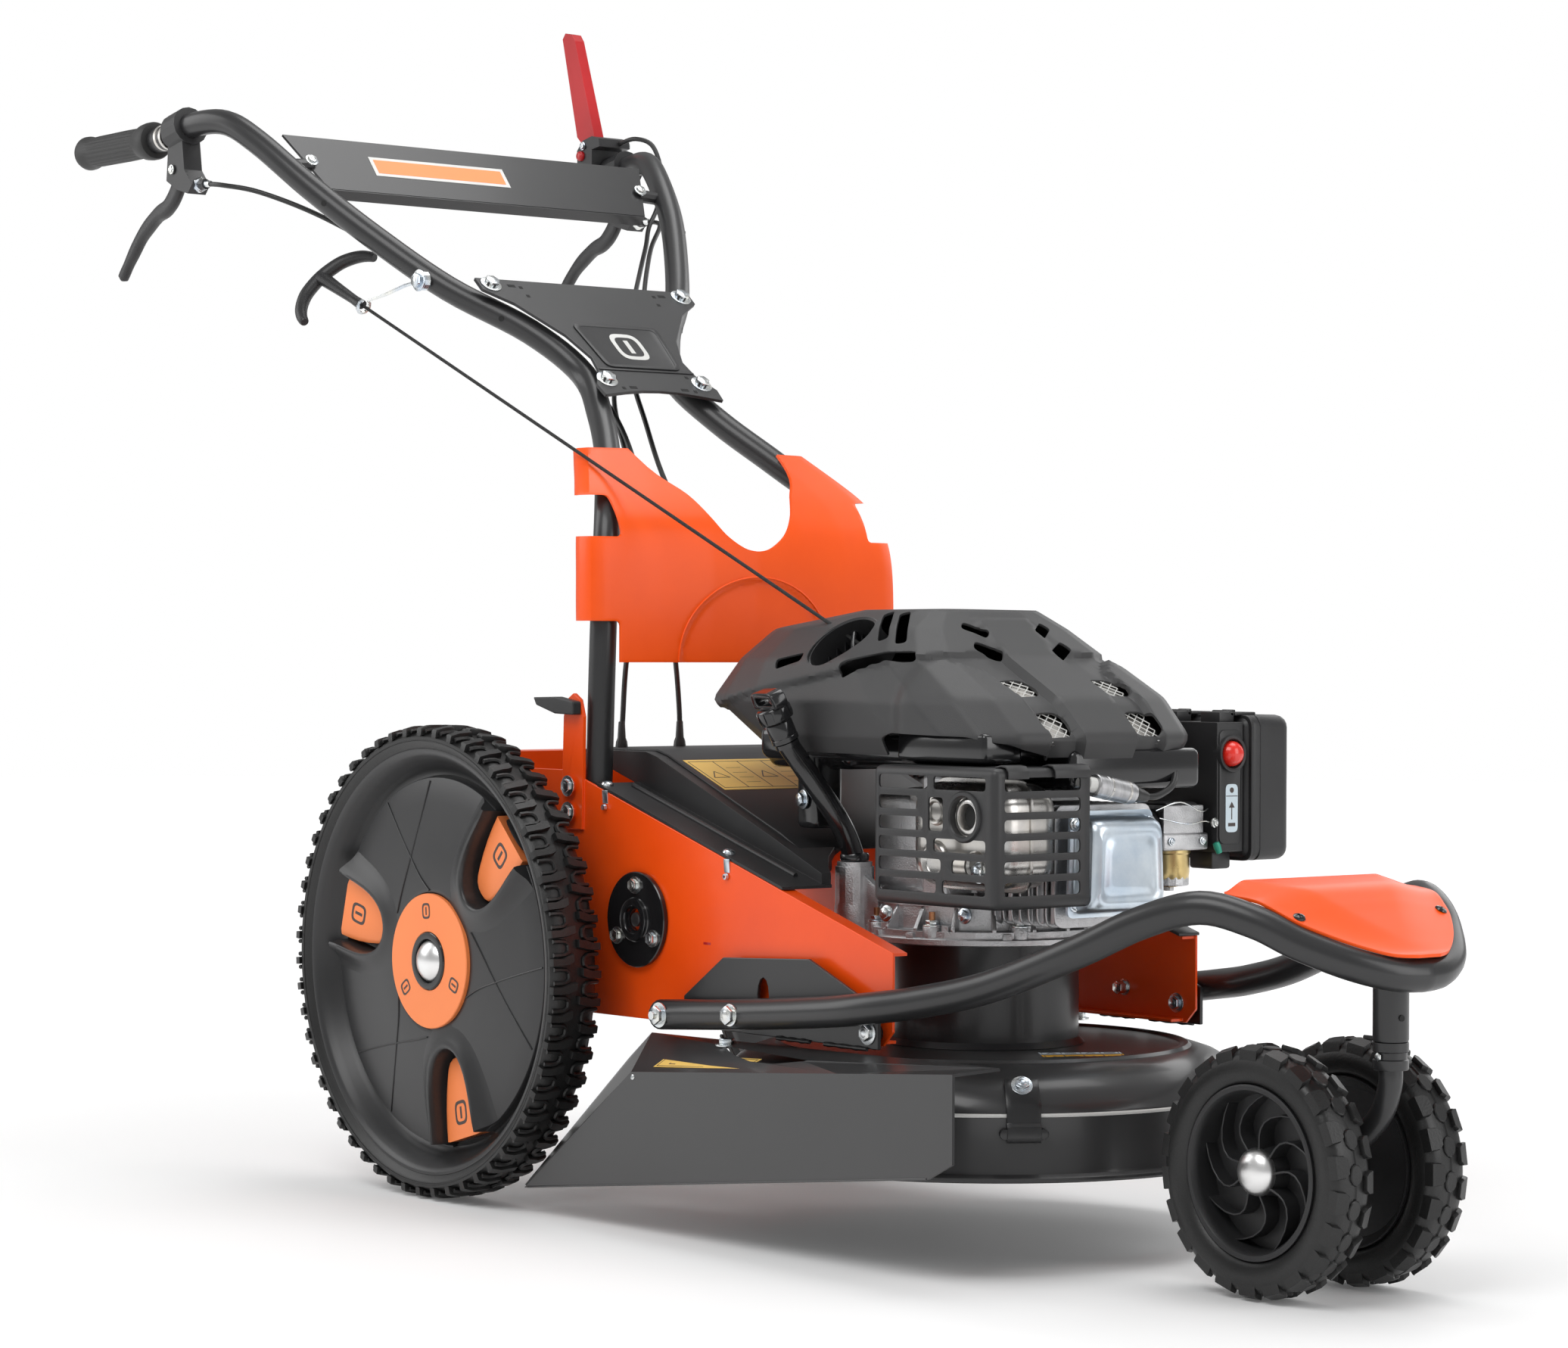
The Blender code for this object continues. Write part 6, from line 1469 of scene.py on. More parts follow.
def cowl():
    steps, parts = 360, 13
    rows = []
    for ring, after in zip(COWL_RINGS, COWL_RINGS[1:]):
        for part in range(parts):
            t = part / parts
            rows.append([cowl_point(k, steps, *ring).lerp(cowl_point(k, steps, *after), t) for k in range(steps)])
    rows.append([cowl_point(k, steps, *COWL_RINGS[-1]) for k in range(steps)])
    # The edges between facets are eased by averaging along and across the sections.
    for _ in range(2):
        eased = []
        for i, row in enumerate(rows):
            low, high = rows[max(i - 1, 0)], rows[min(i + 1, len(rows) - 1)]
            eased.append([row[k] * 0.5 + (row[k - 1] + row[(k + 1) % steps]) * 0.125
                          + (low[k] + high[k]) * 0.125 for k in range(steps)])
        rows = eased
    crown = rows[-1]
    middle = sum(crown, Vector()) / len(crown)
    for share in (0.86, 0.66, 0.42, 0.18):
        rows.append([middle + (p - middle) * share + Vector((0, 0, 0.0016 * (1 - share))) for p in crown])
    lifted = []
    for i, row in enumerate(rows):
        low, high = rows[max(i - 1, 0)], rows[min(i + 1, len(rows) - 1)]
        made = []
        for k, spot in enumerate(row):
            normal = (row[(k + 1) % steps] - row[k - 1]).cross(high[k] - low[k]).normalized()
            made.append(at(*(spot + normal * cowl_relief(*spot))))
        lifted.append(made)
    shell = thick(loft(lifted, closed=True, caps=(-1,)), 0.0026, -1.0)

    cutters = []
    well = turned([(0.0, -0.05), (1.0, -0.05), (1.0, 0.03), (0.0, 0.03)], 40)
    well.data.transform(Matrix.Diagonal((0.0405, 0.0290, 1.0, 1.0)))
    cutters.append(placed(well, well_frame()))
    for start, end, normal, width in (
            ((0.5160, -0.0860, 0.6240), (0.5520, -0.1260, 0.5990), (0.15, -0.55, 0.82), 0.0120),
            ((0.5380, -0.0840, 0.6240), (0.5740, -0.1220, 0.5960), (0.25, -0.55, 0.80), 0.0120),
            ((0.4080, -0.1450, 0.5740), (0.4480, -0.1430, 0.5830), (-0.05, -0.80, 0.58), 0.0110),
            ((0.5160, -0.1500, 0.5680), (0.6000, -0.1270, 0.5880), (0.15, -0.75, 0.65), 0.0125),
            ((0.5880, -0.0560, 0.6160), (0.6040, -0.0340, 0.6060), (0.60, -0.08, 0.79), 0.0130),
            ((0.6140, -0.0620, 0.5960), (0.6300, -0.0360, 0.5880), (0.62, -0.04, 0.78), 0.0150)):
        cutters.append(slot_cutter(start, end, normal, width, 0.012))
        if start[0] > 0.58:
            cutters.append(slot_cutter((start[0], -start[1], start[2]), (end[0], -end[1], end[2]),
                                       (normal[0], -normal[1], normal[2]), width, 0.012))
    for place, normal, wide, tall in WINDOWS:
        side = 1 if place[1] > 0 else -1
        spot = Vector(place)
        cutters.append(slot_cutter(spot - Vector((0, side * wide / 2, 0)), spot + Vector((0, side * wide / 2, 0)),
                                   normal, tall, 0.014))
    arch = rounded([(0.583, 0.470), (0.583, 0.5060), (0.600, 0.5110), (0.700, 0.5085), (0.735, 0.5000),
                    (0.752, 0.470)], 0.006, 3)
    cutters.append(side_prism(arch, -0.30, -0.078))
    shell = cut(shell, *cutters)
    return piece(softened(shell, 0.0007, 2, 50), "cowl_moulded", "cowl_plastic", "chassis", ("cowl",), 40)


def cowl_inside():
    """What shows through the cowl's openings: the starter cup, its post and rope, the fan screen, and the wire screens
    with their backing behind the windows.
    """
    cup = turned([(0.0, -0.030), (0.95, -0.030), (1.0, -0.026), (1.0, -0.0005), (1.07, 0.0012), (1.10, 0.0004),
                  (1.10, -0.0040), (1.04, -0.0050), (1.04, -0.034), (0.0, -0.034)], 64)
    cup.data.transform(Matrix.Diagonal((0.0400, 0.0286, 1.0, 1.0)))
    cup = placed(cup, well_frame())
    piece(cup, "starter_well", "black_plastic")
    foot = WELL_MIDDLE - WELL_OUT * 0.030 - WELL_ALONG * 0.006
    head = ROPE_LOW + Vector((0.012, 0.010, 0.010))
    post = [turned_at(at(*foot), head - foot, [(0.0, 0.0), (0.0056, 0.0), (0.0052, 0.014), (0.0030, 0.020),
                                               (0.0, 0.021)], 20),
            tube([at(*p) for p in smooth_route([foot, foot.lerp(head, 0.5) + Vector((0, -0.002, 0)), head], 4)],
                 0.0036, 4)]
    loop = turned([(0.0068 + 0.0022 * math.cos(t), 0.0022 * math.sin(t)) for t in
                   (k * math.pi / 4 for k in range(8))], 28)
    post.append(placed(loop, frame_at(at(*ROPE_LOW), PULL)))
    piece(post, "starter_rope_post", "gloss_black")
    inner = ROPE_LOW - PULL * 0.045
    piece(tube([at(*ROPE_LOW.lerp(inner, k / 8)) for k in range(9)], 0.0019, 4), "starter_rope_inner", "rope_cord")
    fins = []
    for k in range(7):
        reach = -0.8 + 0.26 * k
        wide = math.sqrt(max(0.05, 1 - reach * reach)) * 0.0270
        fins.append(placed(box((reach * 0.0385 - 0.0007, -wide, -0.0285), (reach * 0.0385 + 0.0007, wide, -0.020)),
                           well_frame()))
    piece(fins, "starter_screen", "gloss_black")
    for number, (place, normal, wide, tall) in enumerate(WINDOWS):
        bm = bmesh.new()
        bmesh.ops.create_grid(bm, x_segments=8, y_segments=8, size=0.5)
        bmesh.ops.rotate(bm, verts=bm.verts, cent=(0, 0, 0), matrix=Matrix.Rotation(math.radians(45), 3, "Z"))
        mesh = fresh(bm)
        mesh.data.transform(Matrix.Diagonal((wide * 1.70, tall * 1.70, 1.0, 1.0)))
        lattice = mesh.modifiers.new("wires", "WIREFRAME")
        lattice.thickness = 0.0012
        lattice = bake(mesh)
        n = Vector(normal).normalized()
        bm = bmesh.new()
        bm.from_mesh(lattice.data)
        stray = [v for v in bm.verts if abs(v.co.x) > wide * 0.60 or abs(v.co.y) > tall * 0.75]
        bmesh.ops.delete(bm, geom=stray, context="VERTS")
        bm.to_mesh(lattice.data)
        bm.free()
        across = Vector((0, 1, 0))
        across = (across - n * across.dot(n)).normalized()
        lattice = placed(lattice, axes(across, n.cross(across), n, at(*(Vector(place) - n * 0.0040))))
        piece(lattice, f"cowl_screen_{number + 1}", "pale_ring")
        backing = box((-wide * 0.58, -tall * 0.62, -0.0080), (wide * 0.58, tall * 0.62, -0.0066))
        backing = placed(backing, axes(across, n.cross(across), n, at(*place)))
        piece(backing, f"cowl_screen_back_{number + 1}", "silver_sheet")


def engine_body():
    dress("engine_block", "cast_aluminium", 0.0014, 2)
    centre = at(ENGINE_X, 0, 0)
    base = turned([(0.100, 0.3000), (0.1225, 0.3000), (0.1235, 0.3010), (0.1235, 0.3060), (0.1225, 0.3072),
                   (0.1185, 0.3078), (0.1185, 0.3140), (0.1170, 0.3150), (0.100, 0.3150)], 96)
    base.data.transform(Matrix.Translation(centre))
    parts = [base]
    for k in range(18):
        out, side = polar(1.0, 20 * k + 4), polar(1.0, 20 * k + 94)
        low, high = centre + out * 0.104 + UP * 0.3135, centre + out * 0.119 + UP * 0.3135
        foot = [low - side * 0.0022, high - side * 0.0022, high + side * 0.0022, low + side * 0.0022]
        top = [p + UP * rise for p, rise in zip(foot, (0.026, 0.003, 0.003, 0.026))]
        parts.append(softened(loft([foot, top], closed=True), 0.0008, 2))
    for k in range(8):
        out = polar(1.0, 45 * k + 22)
        parts.append(pin(centre + out * 0.1130 + UP * 0.3000, centre + out * 0.1130 + UP * 0.3190, 0.0095, 24,
                         0.0010))
    for z, r in ((0.3450, 0.1085), (0.3395, 0.1090), (0.3520, 0.0805)):
        parts.append(upright(centre, [(r - 0.006, z - 0.0016), (r, z - 0.0012), (r, z + 0.0012),
                                      (r - 0.006, z + 0.0016)], 72))
    # Webs that hold the base plate's rim, seen from the front right.
    for degrees in (-78, -30, 18, 66, 114, 162, 210, 258):
        out, side = polar(1.0, degrees), polar(1.0, degrees + 90)
        web = loft([[centre + out * r + side * w + UP * z for w, z in
                     ((-0.006, 0.3005), (0.006, 0.3005), (0.004, 0.3125), (-0.004, 0.3125))]
                    for r in (0.100, 0.112, 0.1228)], closed=True)
        parts.append(softened(web, 0.0008, 2))
    # Crankcase side cover behind the muffler, and the casting round the oil filler.
    parts += [block((0.576, -0.098, 0.345), (0.612, -0.052, 0.470), 0.006, 4),
              block((0.470, -0.075, 0.345), (0.590, 0.075, 0.448), 0.014, 4),
              block((0.585, -0.058, 0.345), (0.640, 0.070, 0.452), 0.008, 3)]
    boss = [(0.0190, 0.3005), (0.0215, 0.3060), (0.0205, 0.3300), (0.0165, 0.3560), (0.0160, 0.3700),
            (0.0180, 0.3722), (0.0180, 0.3765), (0.0110, 0.3770), (0.0108, 0.3005)]
    parts.append(upright(at(0.466, -0.092, 0), boss, 40))
    web = side_prism([(0.480, 0.302), (0.512, 0.302), (0.506, 0.352), (0.482, 0.366)], -0.096, -0.088)
    parts.append(softened(web, 0.0015, 2))
    for k in range(8):
        x = 0.648 + 0.0125 * k
        fin = prism(rounded([(-0.064, 0.322), (0.064, 0.322), (0.064, 0.442), (-0.064, 0.442)], 0.012, 4), "X",
                    x + AXLE_X, x + 0.0022 + AXLE_X)
        parts.append(softened(fin, 0.0006, 1))
    piece(parts, "crankcase_details", "cast_aluminium")

    gasket = upright(centre, [(0.100, 0.3420), (0.1092, 0.3420), (0.1092, 0.3428), (0.100, 0.3428)], 72)
    piece(gasket, "crankcase_gasket", "green_plastic")
    bolts, studs = [], []
    for k in range(8):
        spot = centre + polar(0.1130, 45 * k + 22)
        bolts.append(hex_bolt(spot + UP * 0.3190, UP, 0.0068, 0.0060, 1.35))
        studs.append(rod(spot + UP * 0.3240, spot + UP * 0.3330, 0.0032, 16))
    for x, y, z in ((0.5485, -0.1180, 0.3290), (0.6320, -0.0870, 0.3300)):
        bolts.append(hex_bolt(at(x, y, z), (0.1, -1, 0.1), 0.0062, 0.0056, 1.35))
    bolts.append(hex_bolt(at(0.430, -0.130, 0.4395), (-0.2, -1, 0), 0.0072, 0.0064, 1.4))
    for y in (-0.045, 0.045):
        for z in (0.345, 0.424):
            bolts.append(hex_bolt(at(0.7505, y * 1.12, z), (1, 0, 0), 0.0048, 0.0040, 1.3))
    piece(bolts, "engine_bolts", "zinc")
    piece(studs, "engine_studs", "copper")

    # Blower housing under the cowl, the intake lump behind it, and the bracket for the filler bolt.
    lining = [block(low, high, edge, segments) for low, high, edge, segments in (
        ((0.596, -0.0465, 0.4560), (0.744, 0.128, 0.4960), 0.008, 4),
        ((0.420, -0.1300, 0.4800), (0.700, 0.1280, 0.5080), 0.010, 4),
        ((0.376, -0.1480, 0.4800), (0.428, -0.0880, 0.5160), 0.011, 5),
        ((0.414, -0.1285, 0.4100), (0.446, -0.0900, 0.4960), 0.007, 4),
        ((0.330, -0.1050, 0.4700), (0.470, 0.1180, 0.5100), 0.014, 5),
        ((0.588, -0.1400, 0.4830), (0.720, -0.0900, 0.5120), 0.005, 3))]
    piece(lining, "blower_housing", "gloss_black")


def filler():
    route = smooth_route([(0.466, -0.092, 0.3600), (0.466, -0.092, 0.3780), (0.468, -0.112, 0.415),
                          (0.459, -0.146, 0.465), (0.4560, -0.1740, 0.500), (0.4540, -0.1830, 0.520)], 6)
    lip, top = Vector((0.4560, -0.1740, 0.500)), Vector((0.4540, -0.1830, 0.520))
    axis = (top - lip).normalized()
    pipe = tube([at(*p) for p in route[:-1]], 0.0112, 8)
    foot = upright(at(0.466, -0.092, 0.3775), [(0.0104, 0.0), (0.0145, 0.0), (0.0150, 0.002), (0.0150, 0.006),
                                               (0.0135, 0.008), (0.0104, 0.0085)], 32)
    ribs = []
    for z0, radius in ((-0.006, 0.0125), (0.0, 0.0142)):
        ribs.append(turned_at(at(*(lip + axis * z0)), axis, [(0.0100, 0.0), (radius, 0.0006), (radius, 0.0050),
                                                             (radius - 0.0006, 0.0056), (0.0100, 0.0060)], 32))
    collar = turned_at(at(*lip), axis, [(0.0100, 0.004), (0.0136, 0.005), (0.0140, 0.007), (0.0140, 0.0205),
                                        (0.0132, 0.0215), (0.0100, 0.0215)], 36)
    piece([pipe, foot, collar, *ribs], "oil_tube_moulded", "gloss_black", "chassis", ("oil_tube",), 40)
    stay = softened(box((-0.004, -0.0016, -0.018), (0.004, 0.0016, 0.018)), 0.001)
    piece(placed(stay, frame_at(at(0.456, -0.135, 0.452), (0.2, -0.4, 0.9))), "oil_tube_stay", "black_paint")

    seat = top + axis * 0.0012
    cap = turned([(0.0, 0.0140), (0.0120, 0.0140), (0.0146, 0.0130), (0.0158, 0.0110), (0.0160, 0.0040),
                  (0.0152, 0.0004), (0.0, 0.0004)], 40)
    grooves = [placed(box((0.0150, -0.0010, 0.001), (0.020, 0.0010, 0.012)),
                      Matrix.Rotation(math.radians(30 * k), 4, "Z")) for k in range(12)]
    cap = cut(cap, *grooves)
    wing = prism(rounded([(-0.0235, 0.0125), (0.0235, 0.0125), (0.0220, 0.0270), (0.0120, 0.0290),
                          (-0.0120, 0.0290), (-0.0220, 0.0270)], 0.006, 4), "Y", -0.0065, 0.0065)
    hole = prism(rounded([(-0.0165, 0.0165), (0.0165, 0.0165), (0.0150, 0.0235), (-0.0150, 0.0235)], 0.003, 4), "Y",
                 -0.02, 0.02)
    wing = softened(cut(wing, hole), 0.0018, 3)
    across = axis.cross(UP).normalized()
    spot = axes(across, axis.cross(across), axis, at(*seat))
    knob = placed(joined(cap, wing), spot @ Matrix.Scale(1.14, 4))
    piece(knob, "oil_cap_moulded", "gloss_black", "dipstick_cap", ("oil_cap",), 40)


def exhaust():
    port_x, port_z = 0.7270, 0.4330
    shell = block((0.616, -0.152, 0.362), (0.754, -0.066, 0.464), 0.026, 8)
    outline = rounded([(0.612, 0.358), (0.756, 0.358), (0.756, 0.468), (0.612, 0.468)], 0.022, 6)
    seam = softened(side_prism(outline, -0.1116, -0.1084), 0.0006, 1)
    discs = []
    for x, z, radius in ((0.662, 0.388, 0.0200), (0.664, 0.436, 0.0140), (0.722, 0.385, 0.0150)):
        dome = turned([(0.0, 0.0006), (radius * 0.60, 0.0008), (radius * 0.72, 0.0034), (radius * 0.86, 0.0038),
                       (radius, 0.0010), (radius * 1.02, -0.0020), (0.0, -0.0020)], 48)
        discs.append(placed(dome, frame_at(at(x, -0.152, z), (0, -1, 0))))
    outlet = turned([(0.0122, 0.0), (0.0122, 0.0150), (0.0130, 0.0164), (0.0160, 0.0166), (0.0182, 0.0150),
                     (0.0188, 0.0120), (0.0188, 0.0)], 48)
    outlet = placed(outlet, frame_at(at(port_x, -0.1520, port_z), (0, -1, 0)))
    pipe = block((0.655, -0.082, 0.383), (0.705, -0.0605, 0.418), 0.004, 3)
    piece([shell, seam, *discs, outlet, pipe], "muffler_pressed", "silver_sheet", "chassis", ("muffler",), 40)
    # The bore's soot, with painted shade: a dark disc a little way into the outlet stands for the dark depth of the
    # bore.
    bore = turned_at(at(port_x, -0.1520, port_z), (0, -1, 0), [(0.0, 0.0040), (0.0121, 0.0040), (0.0121, 0.0080),
                                                               (0.0, 0.0080)], 32)
    piece(bore, "muffler_bore_soot_and_shade", "painted_hole_shade")
    nuts = [hex_bolt(at(0.7290, -0.1535, 0.3790), (0, -1, 0), 0.0072, 0.0062, 1.45),
            hex_bolt(at(0.6890, -0.1535, 0.4390), (0, -1, 0), 0.0072, 0.0062, 1.45)]
    piece(nuts, "muffler_nuts", "zinc")

    low, high = Vector((0.590, -0.172, 0.345)), Vector((0.772, -0.050, 0.480))
    outer = softened(box(at(*low), at(*high) + Vector((0, 0.04, 0))), 0.0075, 5)
    inner = softened(box(at(*low) + Vector((-0.02, 0.002, 0.002)), at(*high) + Vector((-0.002, 0.06, -0.002))),
                     0.0060, 5)
    trims = [box(at(0.55, high.y, 0.30), at(0.80, 0.05, 0.52)), box(at(0.56, -0.155, 0.33), at(0.752, 0.0, 0.355)),
             box(at(0.56, -0.20, 0.30), at(0.5925, 0.0, 0.52))]
    guard = cut(outer, inner, *trims)
    slots = []
    near = (((0.600, 0.686), (0.695, 0.758)), ((0.600, 0.693), (0.709, 0.758)), ((0.600, 0.672), (0.682, 0.758)),
            ((0.600, 0.666),), ((0.600, 0.658),), ((0.600, 0.673), (0.682, 0.758)))

    def hole(a0, a1, z0, z1):
        return rounded([(a0, z0), (a1, z0), (a1, z1), (a0, z1)], 0.0042, 4)
    for row, spans in enumerate(near):
        z = 0.3582 + 0.0200 * row
        for start, end in spans:
            slots.append(prism(hole(start + AXLE_X, end + AXLE_X, z, z + 0.0130), "Y", -0.19, -0.160))
        slots.append(prism(hole(-0.160, -0.062, z, z + 0.0130), "X", 0.765 + AXLE_X, 0.79 + AXLE_X))
    slots.append(prism(hole(0.6745 + AXLE_X, 0.6960 + AXLE_X, 0.4182, 0.4507), "Y", -0.19, -0.160))
    slots.append(rod(at(port_x, -0.19, port_z), at(port_x, -0.160, port_z), 0.0195, 40))
    for start in (0.628, 0.700):
        slots.append(box(at(start, -0.120, 0.470), at(start + 0.045, -0.095, 0.490)))
    guard = softened(cut(guard, *slots), 0.0006, 2, 40)
    ring = turned([(0.0193, -0.0060), (0.0193, 0.0008), (0.0205, 0.0022), (0.0235, 0.0022), (0.0250, 0.0004),
                   (0.0250, -0.0016), (0.0215, -0.0020), (0.0215, -0.0060)], 48)
    ring = placed(ring, frame_at(at(port_x, -0.1722, port_z), (0, -1, 0)))
    tabs = []
    for start, end in ((-0.158, -0.132), (-0.098, -0.052)):
        curl = [[at(0.7560, y, 0.4806), at(0.7640, y, 0.4822), at(0.7710, y, 0.4812), at(0.7745, y, 0.4770),
                 at(0.7750, y, 0.4700)] for y in (start, (start + end) / 2, end)]
        tabs.append(softened(thick(loft(curl), 0.0020), 0.0005))
    piece([guard, ring, *tabs], "muffler_guard_pressed", "guard_paint", "chassis", ("muffler_guard",), 40)


def cylinder_head():
    rows = []
    for x, half, low, high, r in ((0.7463, 0.0580, 0.333, 0.436, 0.008), (0.7498, 0.0585, 0.3325, 0.4365, 0.008),
                                  (0.7502, 0.0530, 0.3360, 0.4325, 0.010), (0.7520, 0.0515, 0.3372, 0.4310, 0.011),
                                  (0.7650, 0.0500, 0.3385, 0.4290, 0.011), (0.7720, 0.0485, 0.3400, 0.4270, 0.012),
                                  (0.7760, 0.0455, 0.3430, 0.4235, 0.012), (0.7780, 0.0410, 0.3480, 0.4190, 0.011),
                                  (0.7765, 0.0385, 0.3510, 0.4160, 0.010), (0.7760, 0.0340, 0.3560, 0.4110, 0.009),
                                  (0.7775, 0.0310, 0.3590, 0.4080, 0.009), (0.7780, 0.0260, 0.3640, 0.4030, 0.008)):
        ring = rounded([(-half, low), (half, low), (half * 0.93, high), (-half * 0.93, high)], r, 6)
        rows.append([at(x, y, z) for y, z in ring])
    piece(loft(rows, closed=True), "valve_cover_pressed", "zinc_sheet", "chassis", ("valve_cover",), 50)

    start, end = Vector((0.762, -0.036, 0.462)), Vector((0.762, 0.030, 0.450))
    along = (end - start).normalized()
    sleeve = turned([(0.0070, 0.0), (0.0106, 0.0), (0.0114, 0.0010), (0.0114, 0.0120), (0.0110, 0.0126),
                     (0.0110, 0.0136), (0.0114, 0.0142), (0.0114, 0.0470), (0.0104, 0.0500), (0.0098, 0.0520),
                     (0.0070, 0.0520)], 48)
    piece(placed(sleeve, frame_at(at(*start), along)), "spark_plug_sleeve", "bare_steel", "chassis",
          ("spark_boot",), 30)
    bands = [turned_at(at(*start), along, [(0.0100, h), (0.01165, h + 0.0004), (0.01165, h + 0.0028),
                                           (0.0100, h + 0.0032)], 48) for h in (0.0160, 0.0400)]
    piece(bands, "spark_plug_bands", "silver_sheet")
    boot = turned([(0.0, 0.0475), (0.0092, 0.0475), (0.0092, 0.0540), (0.0078, 0.0580), (0.0070, 0.0640),
                   (0.0048, 0.0720), (0.0034, 0.0730), (0.0, 0.0730)], 32)
    boot = placed(boot, frame_at(at(*start), along))
    lead = tube([at(*p) for p in smooth_route([end + along * 0.004, (0.7605, 0.052, 0.4500), (0.752, 0.080, 0.4600),
                                               (0.735, 0.100, 0.4780)], 6)], 0.0034, 5)
    piece([boot, lead], "spark_lead", "cable_rubber")
    plug = turned([(0.0, -0.020), (0.0042, -0.020), (0.0046, -0.012), (0.0076, -0.010), (0.0076, 0.0), (0.0, 0.0)], 24)
    piece(placed(plug, frame_at(at(*start), along)), "spark_plug", "pale_ring")


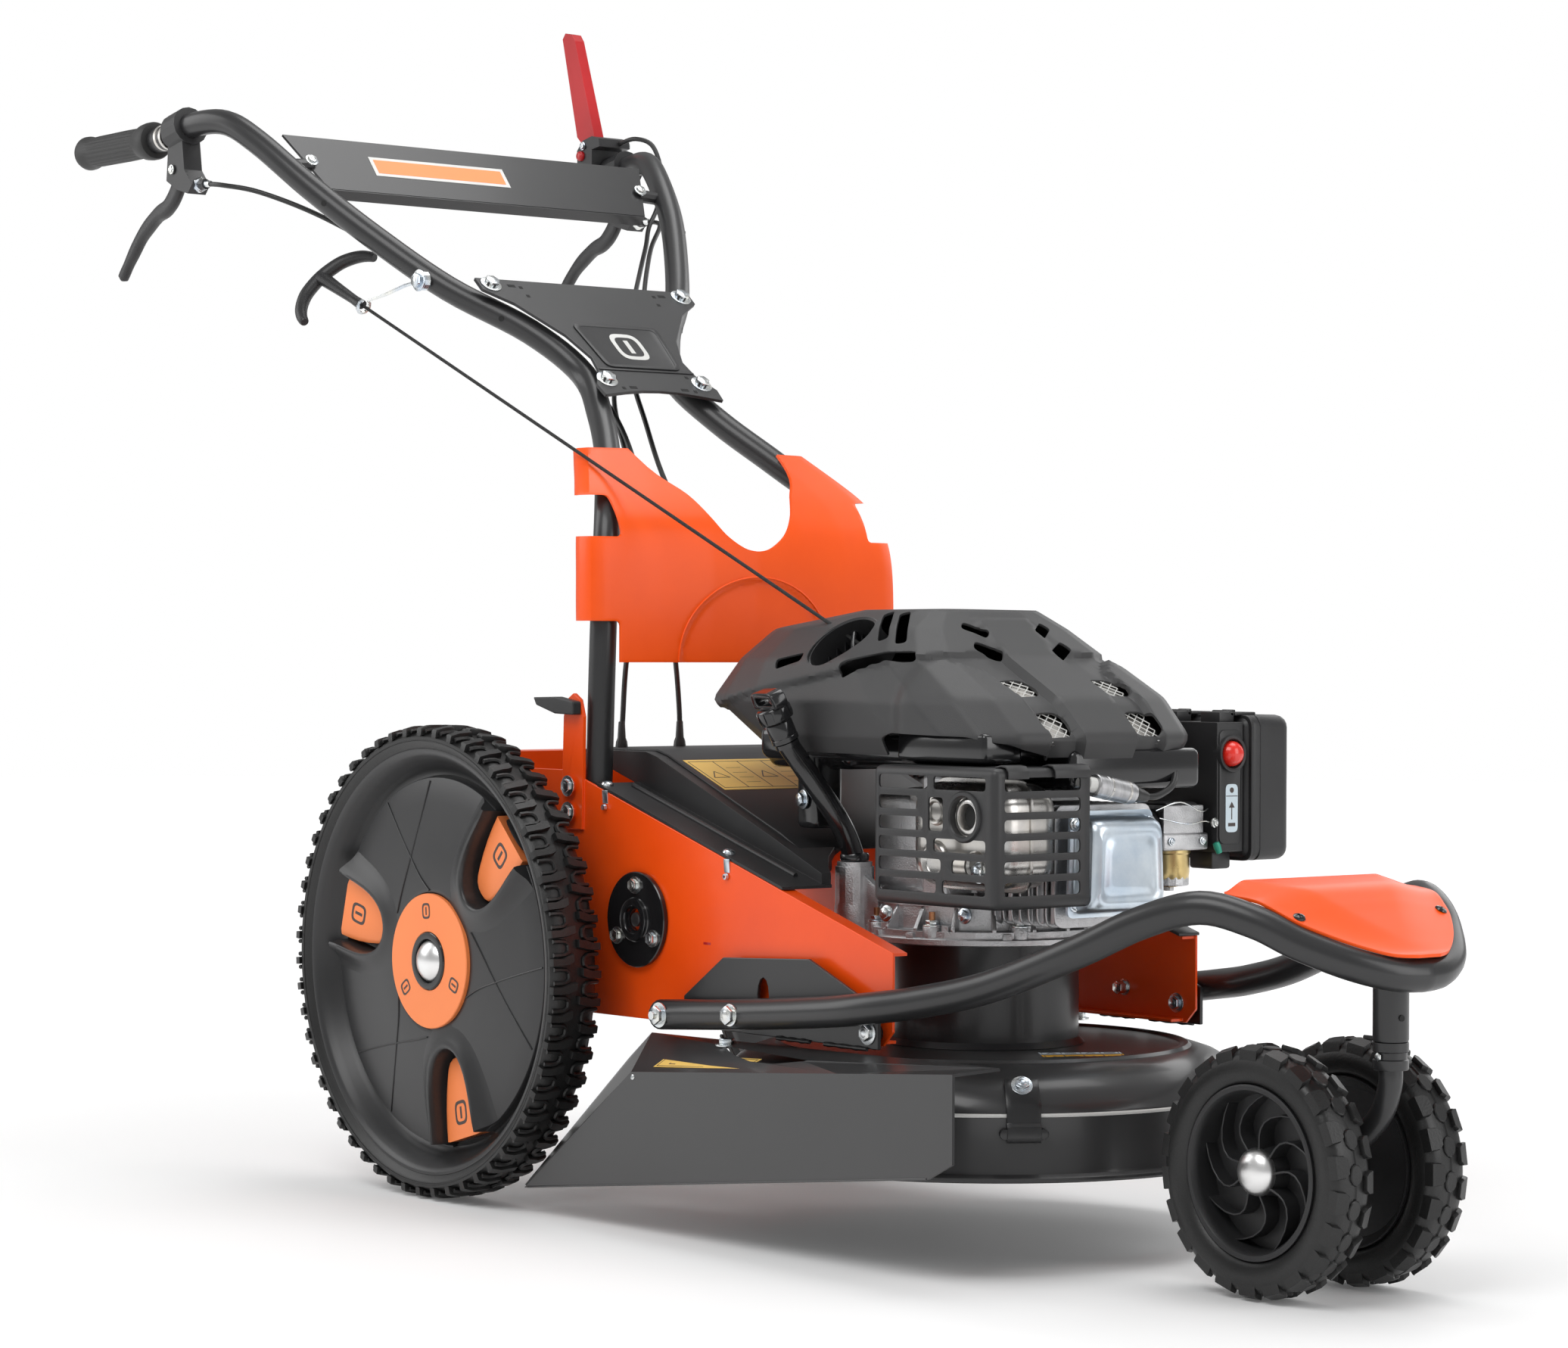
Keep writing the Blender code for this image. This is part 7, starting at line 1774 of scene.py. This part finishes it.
def fuel_side():
    dress("carburettor", "cast_aluminium", 0.0016, 2)
    dress("filter_base", "black_plastic", 0.0024, 3)
    bowl = turned([(0.0, 0.3520), (0.0080, 0.3524), (0.0160, 0.3548), (0.0200, 0.3600), (0.0212, 0.3680),
                   (0.0212, 0.3860), (0.0222, 0.3872), (0.0222, 0.3905), (0.0, 0.3905)], 48)
    piece(placed(bowl, Matrix.Translation(at(0.672, 0.152, 0))), "carburettor_bowl", "brass")
    nut = pin(at(0.672, 0.152, 0.3485), at(0.672, 0.152, 0.3530), 0.0058, 6, 0.0005)
    band = block((0.6440, 0.1180, 0.3905), (0.7000, 0.1820, 0.4080), 0.003, 3)
    stack = [block((0.6500, 0.1270, 0.4080), (0.6940, 0.1730, 0.4390), 0.004, 3),
             pin(at(0.672, 0.100, 0.412), at(0.672, 0.121, 0.412), 0.0215, 32, 0.002)]
    piece([nut, band], "carburettor_body", "cast_aluminium")
    piece(stack, "carburettor_spacer", "black_plastic")
    wires = [tube([at(*p) for p in smooth_route(points, 5)], 0.0008, 3) for points in (
        ((0.702, 0.105, 0.432), (0.706, 0.135, 0.440), (0.704, 0.165, 0.430), (0.700, 0.180, 0.432)),
        ((0.700, 0.112, 0.424), (0.710, 0.140, 0.418), (0.706, 0.170, 0.420), (0.703, 0.184, 0.416)))]
    screws = [hex_bolt(at(0.7005, 0.128, 0.4000), (1, 0, 0), 0.0034, 0.0030, 1.3),
              hex_bolt(at(0.7005, 0.172, 0.4000), (1, 0, 0), 0.0034, 0.0030, 1.3),
              hex_bolt(at(0.7060, 0.1830, 0.4180), (1, 0.2, 0), 0.0040, 0.0036, 1.3)]
    piece([*wires, *screws], "governor_links", "zinc")
    drop = turned([(0.0, 0.0), (0.0034, 0.001), (0.0040, 0.005), (0.0030, 0.012), (0.0, 0.013)], 20)
    piece(placed(drop, frame_at(at(0.7070, 0.184, 0.3985), (0.2, 0.3, -1))), "idle_screw_cap", "green_plastic")

    body = block((0.5840, 0.2225, 0.3780), (0.7140, 0.2870, 0.5270), 0.0130, 5)
    ridges = []
    for y, grow in ((0.2290, 0.0012), (0.2420, 0.0007)):
        outline = rounded([(0.584 - grow, 0.378 - grow * 0.2), (0.714 + grow, 0.378 - grow * 0.2),
                           (0.714 + grow, 0.527), (0.584 - grow, 0.527)], 0.0135, 6)
        ridges.append(softened(side_prism(outline, y - 0.0018, y + 0.0018), 0.0006, 1))
    latch = []
    for x in (0.612, 0.676):
        latch.append(block((x, 0.2180, 0.5265), (x + 0.024, 0.2480, 0.5300), 0.0012, 2))
        latch.append(block((x + 0.004, 0.2180, 0.5290), (x + 0.020, 0.2230, 0.5325), 0.0010, 2))
    piece([body, *ridges, *latch], "filter_cover_moulded", "black_plastic", "filter_lid", ("filter_cover",), 40)
    back = []
    for x in (0.610, 0.672):
        back.append(block((x, 0.1960, 0.5180), (x + 0.028, 0.2170, 0.5305), 0.0015, 2))
        back.append(pin(at(x, 0.2145, 0.5290), at(x + 0.028, 0.2145, 0.5290), 0.0030, 16, 0.0006))
    back.append(block((0.5920, 0.1840, 0.3790), (0.6400, 0.2160, 0.3920), 0.003, 2))
    back.append(block((0.6620, 0.1900, 0.3700), (0.6960, 0.2170, 0.3890), 0.003, 2))
    face = rounded([(0.1870, 0.3960), (0.2185, 0.3960), (0.2185, 0.5120), (0.1870, 0.5120)], 0.008, 4)
    face = cut(prism(face, "X", 0.7070 + AXLE_X, 0.7096 + AXLE_X),
               rod(at(0.690, 0.2035, 0.488), at(0.730, 0.2035, 0.488), 0.0142, 40))
    back.append(softened(face, 0.0008, 2))
    piece(back, "filter_base_details", "black_plastic")
    cup = turned([(0.0146, -0.006), (0.0146, 0.0020), (0.0152, 0.0042), (0.0172, 0.0052), (0.0186, 0.0044),
                  (0.0190, 0.0020), (0.0190, -0.006)], 48)
    piece(placed(cup, frame_at(at(0.7085, 0.2035, 0.488), (1, 0, 0))), "primer_cup", "black_plastic")
    bulb = turned([(0.0, 0.0140), (0.0035, 0.0137), (0.0070, 0.0124), (0.0100, 0.0098), (0.0122, 0.0062),
                   (0.0132, 0.0025), (0.0134, -0.0010), (0.0, -0.0010)], 48)
    piece(placed(bulb, frame_at(at(0.708, 0.2035, 0.488), (1, 0, 0))), "primer_bulb_moulded", "red_rubber", "primer",
          ("primer_bulb",), 50)
    pill = rounded([(0.1955, 0.4080), (0.2125, 0.4080), (0.2125, 0.4570), (0.1955, 0.4570)], 0.0055, 5)
    piece(prism(pill, "X", 0.7095 + AXLE_X, 0.7100 + AXLE_X), "primer_label", "pale_label")
    lines = [box(at(0.7099, 0.1960, 0.4445), at(0.7102, 0.2120, 0.4452)),
             box(at(0.7099, 0.1990, 0.4140), at(0.7102, 0.2090, 0.4175)),
             rod(at(0.7099, 0.2040, 0.4508), at(0.7102, 0.2040, 0.4508), 0.0028, 20),
             prism([(0.2000, 0.4330), (0.2080, 0.4330), (0.2040, 0.4390)], "X", 0.7099 + AXLE_X, 0.7102 + AXLE_X),
             box(at(0.7099, 0.2034, 0.4210), at(0.7102, 0.2046, 0.4340))]
    piece(lines, "primer_label_print", "ink")


def engine():
    cowl()
    cowl_inside()
    engine_body()
    filler()
    exhaust()
    cylinder_head()
    fuel_side()


def build():
    studio()
    for side, tag in ((-1, "right"), (1, "left")):
        rear_wheel(side, tag)
        front_wheel(side, tag)
        handlebar(side, tag)
        grip(side, tag)
        lever_housing(side, tag)
        hand_lever(side, tag, "drive_lever" if side < 0 else "brake_lever")
    bumper()
    nose_cover()
    caster()
    chassis()
    deck()
    controls()
    console()
    shield()
    cable("drive_cable", DRIVE_CABLE)
    cable("brake_cable", BRAKE_CABLE)
    cable("stop_cable", STOP_CABLE)
    starter()
    engine()


build()
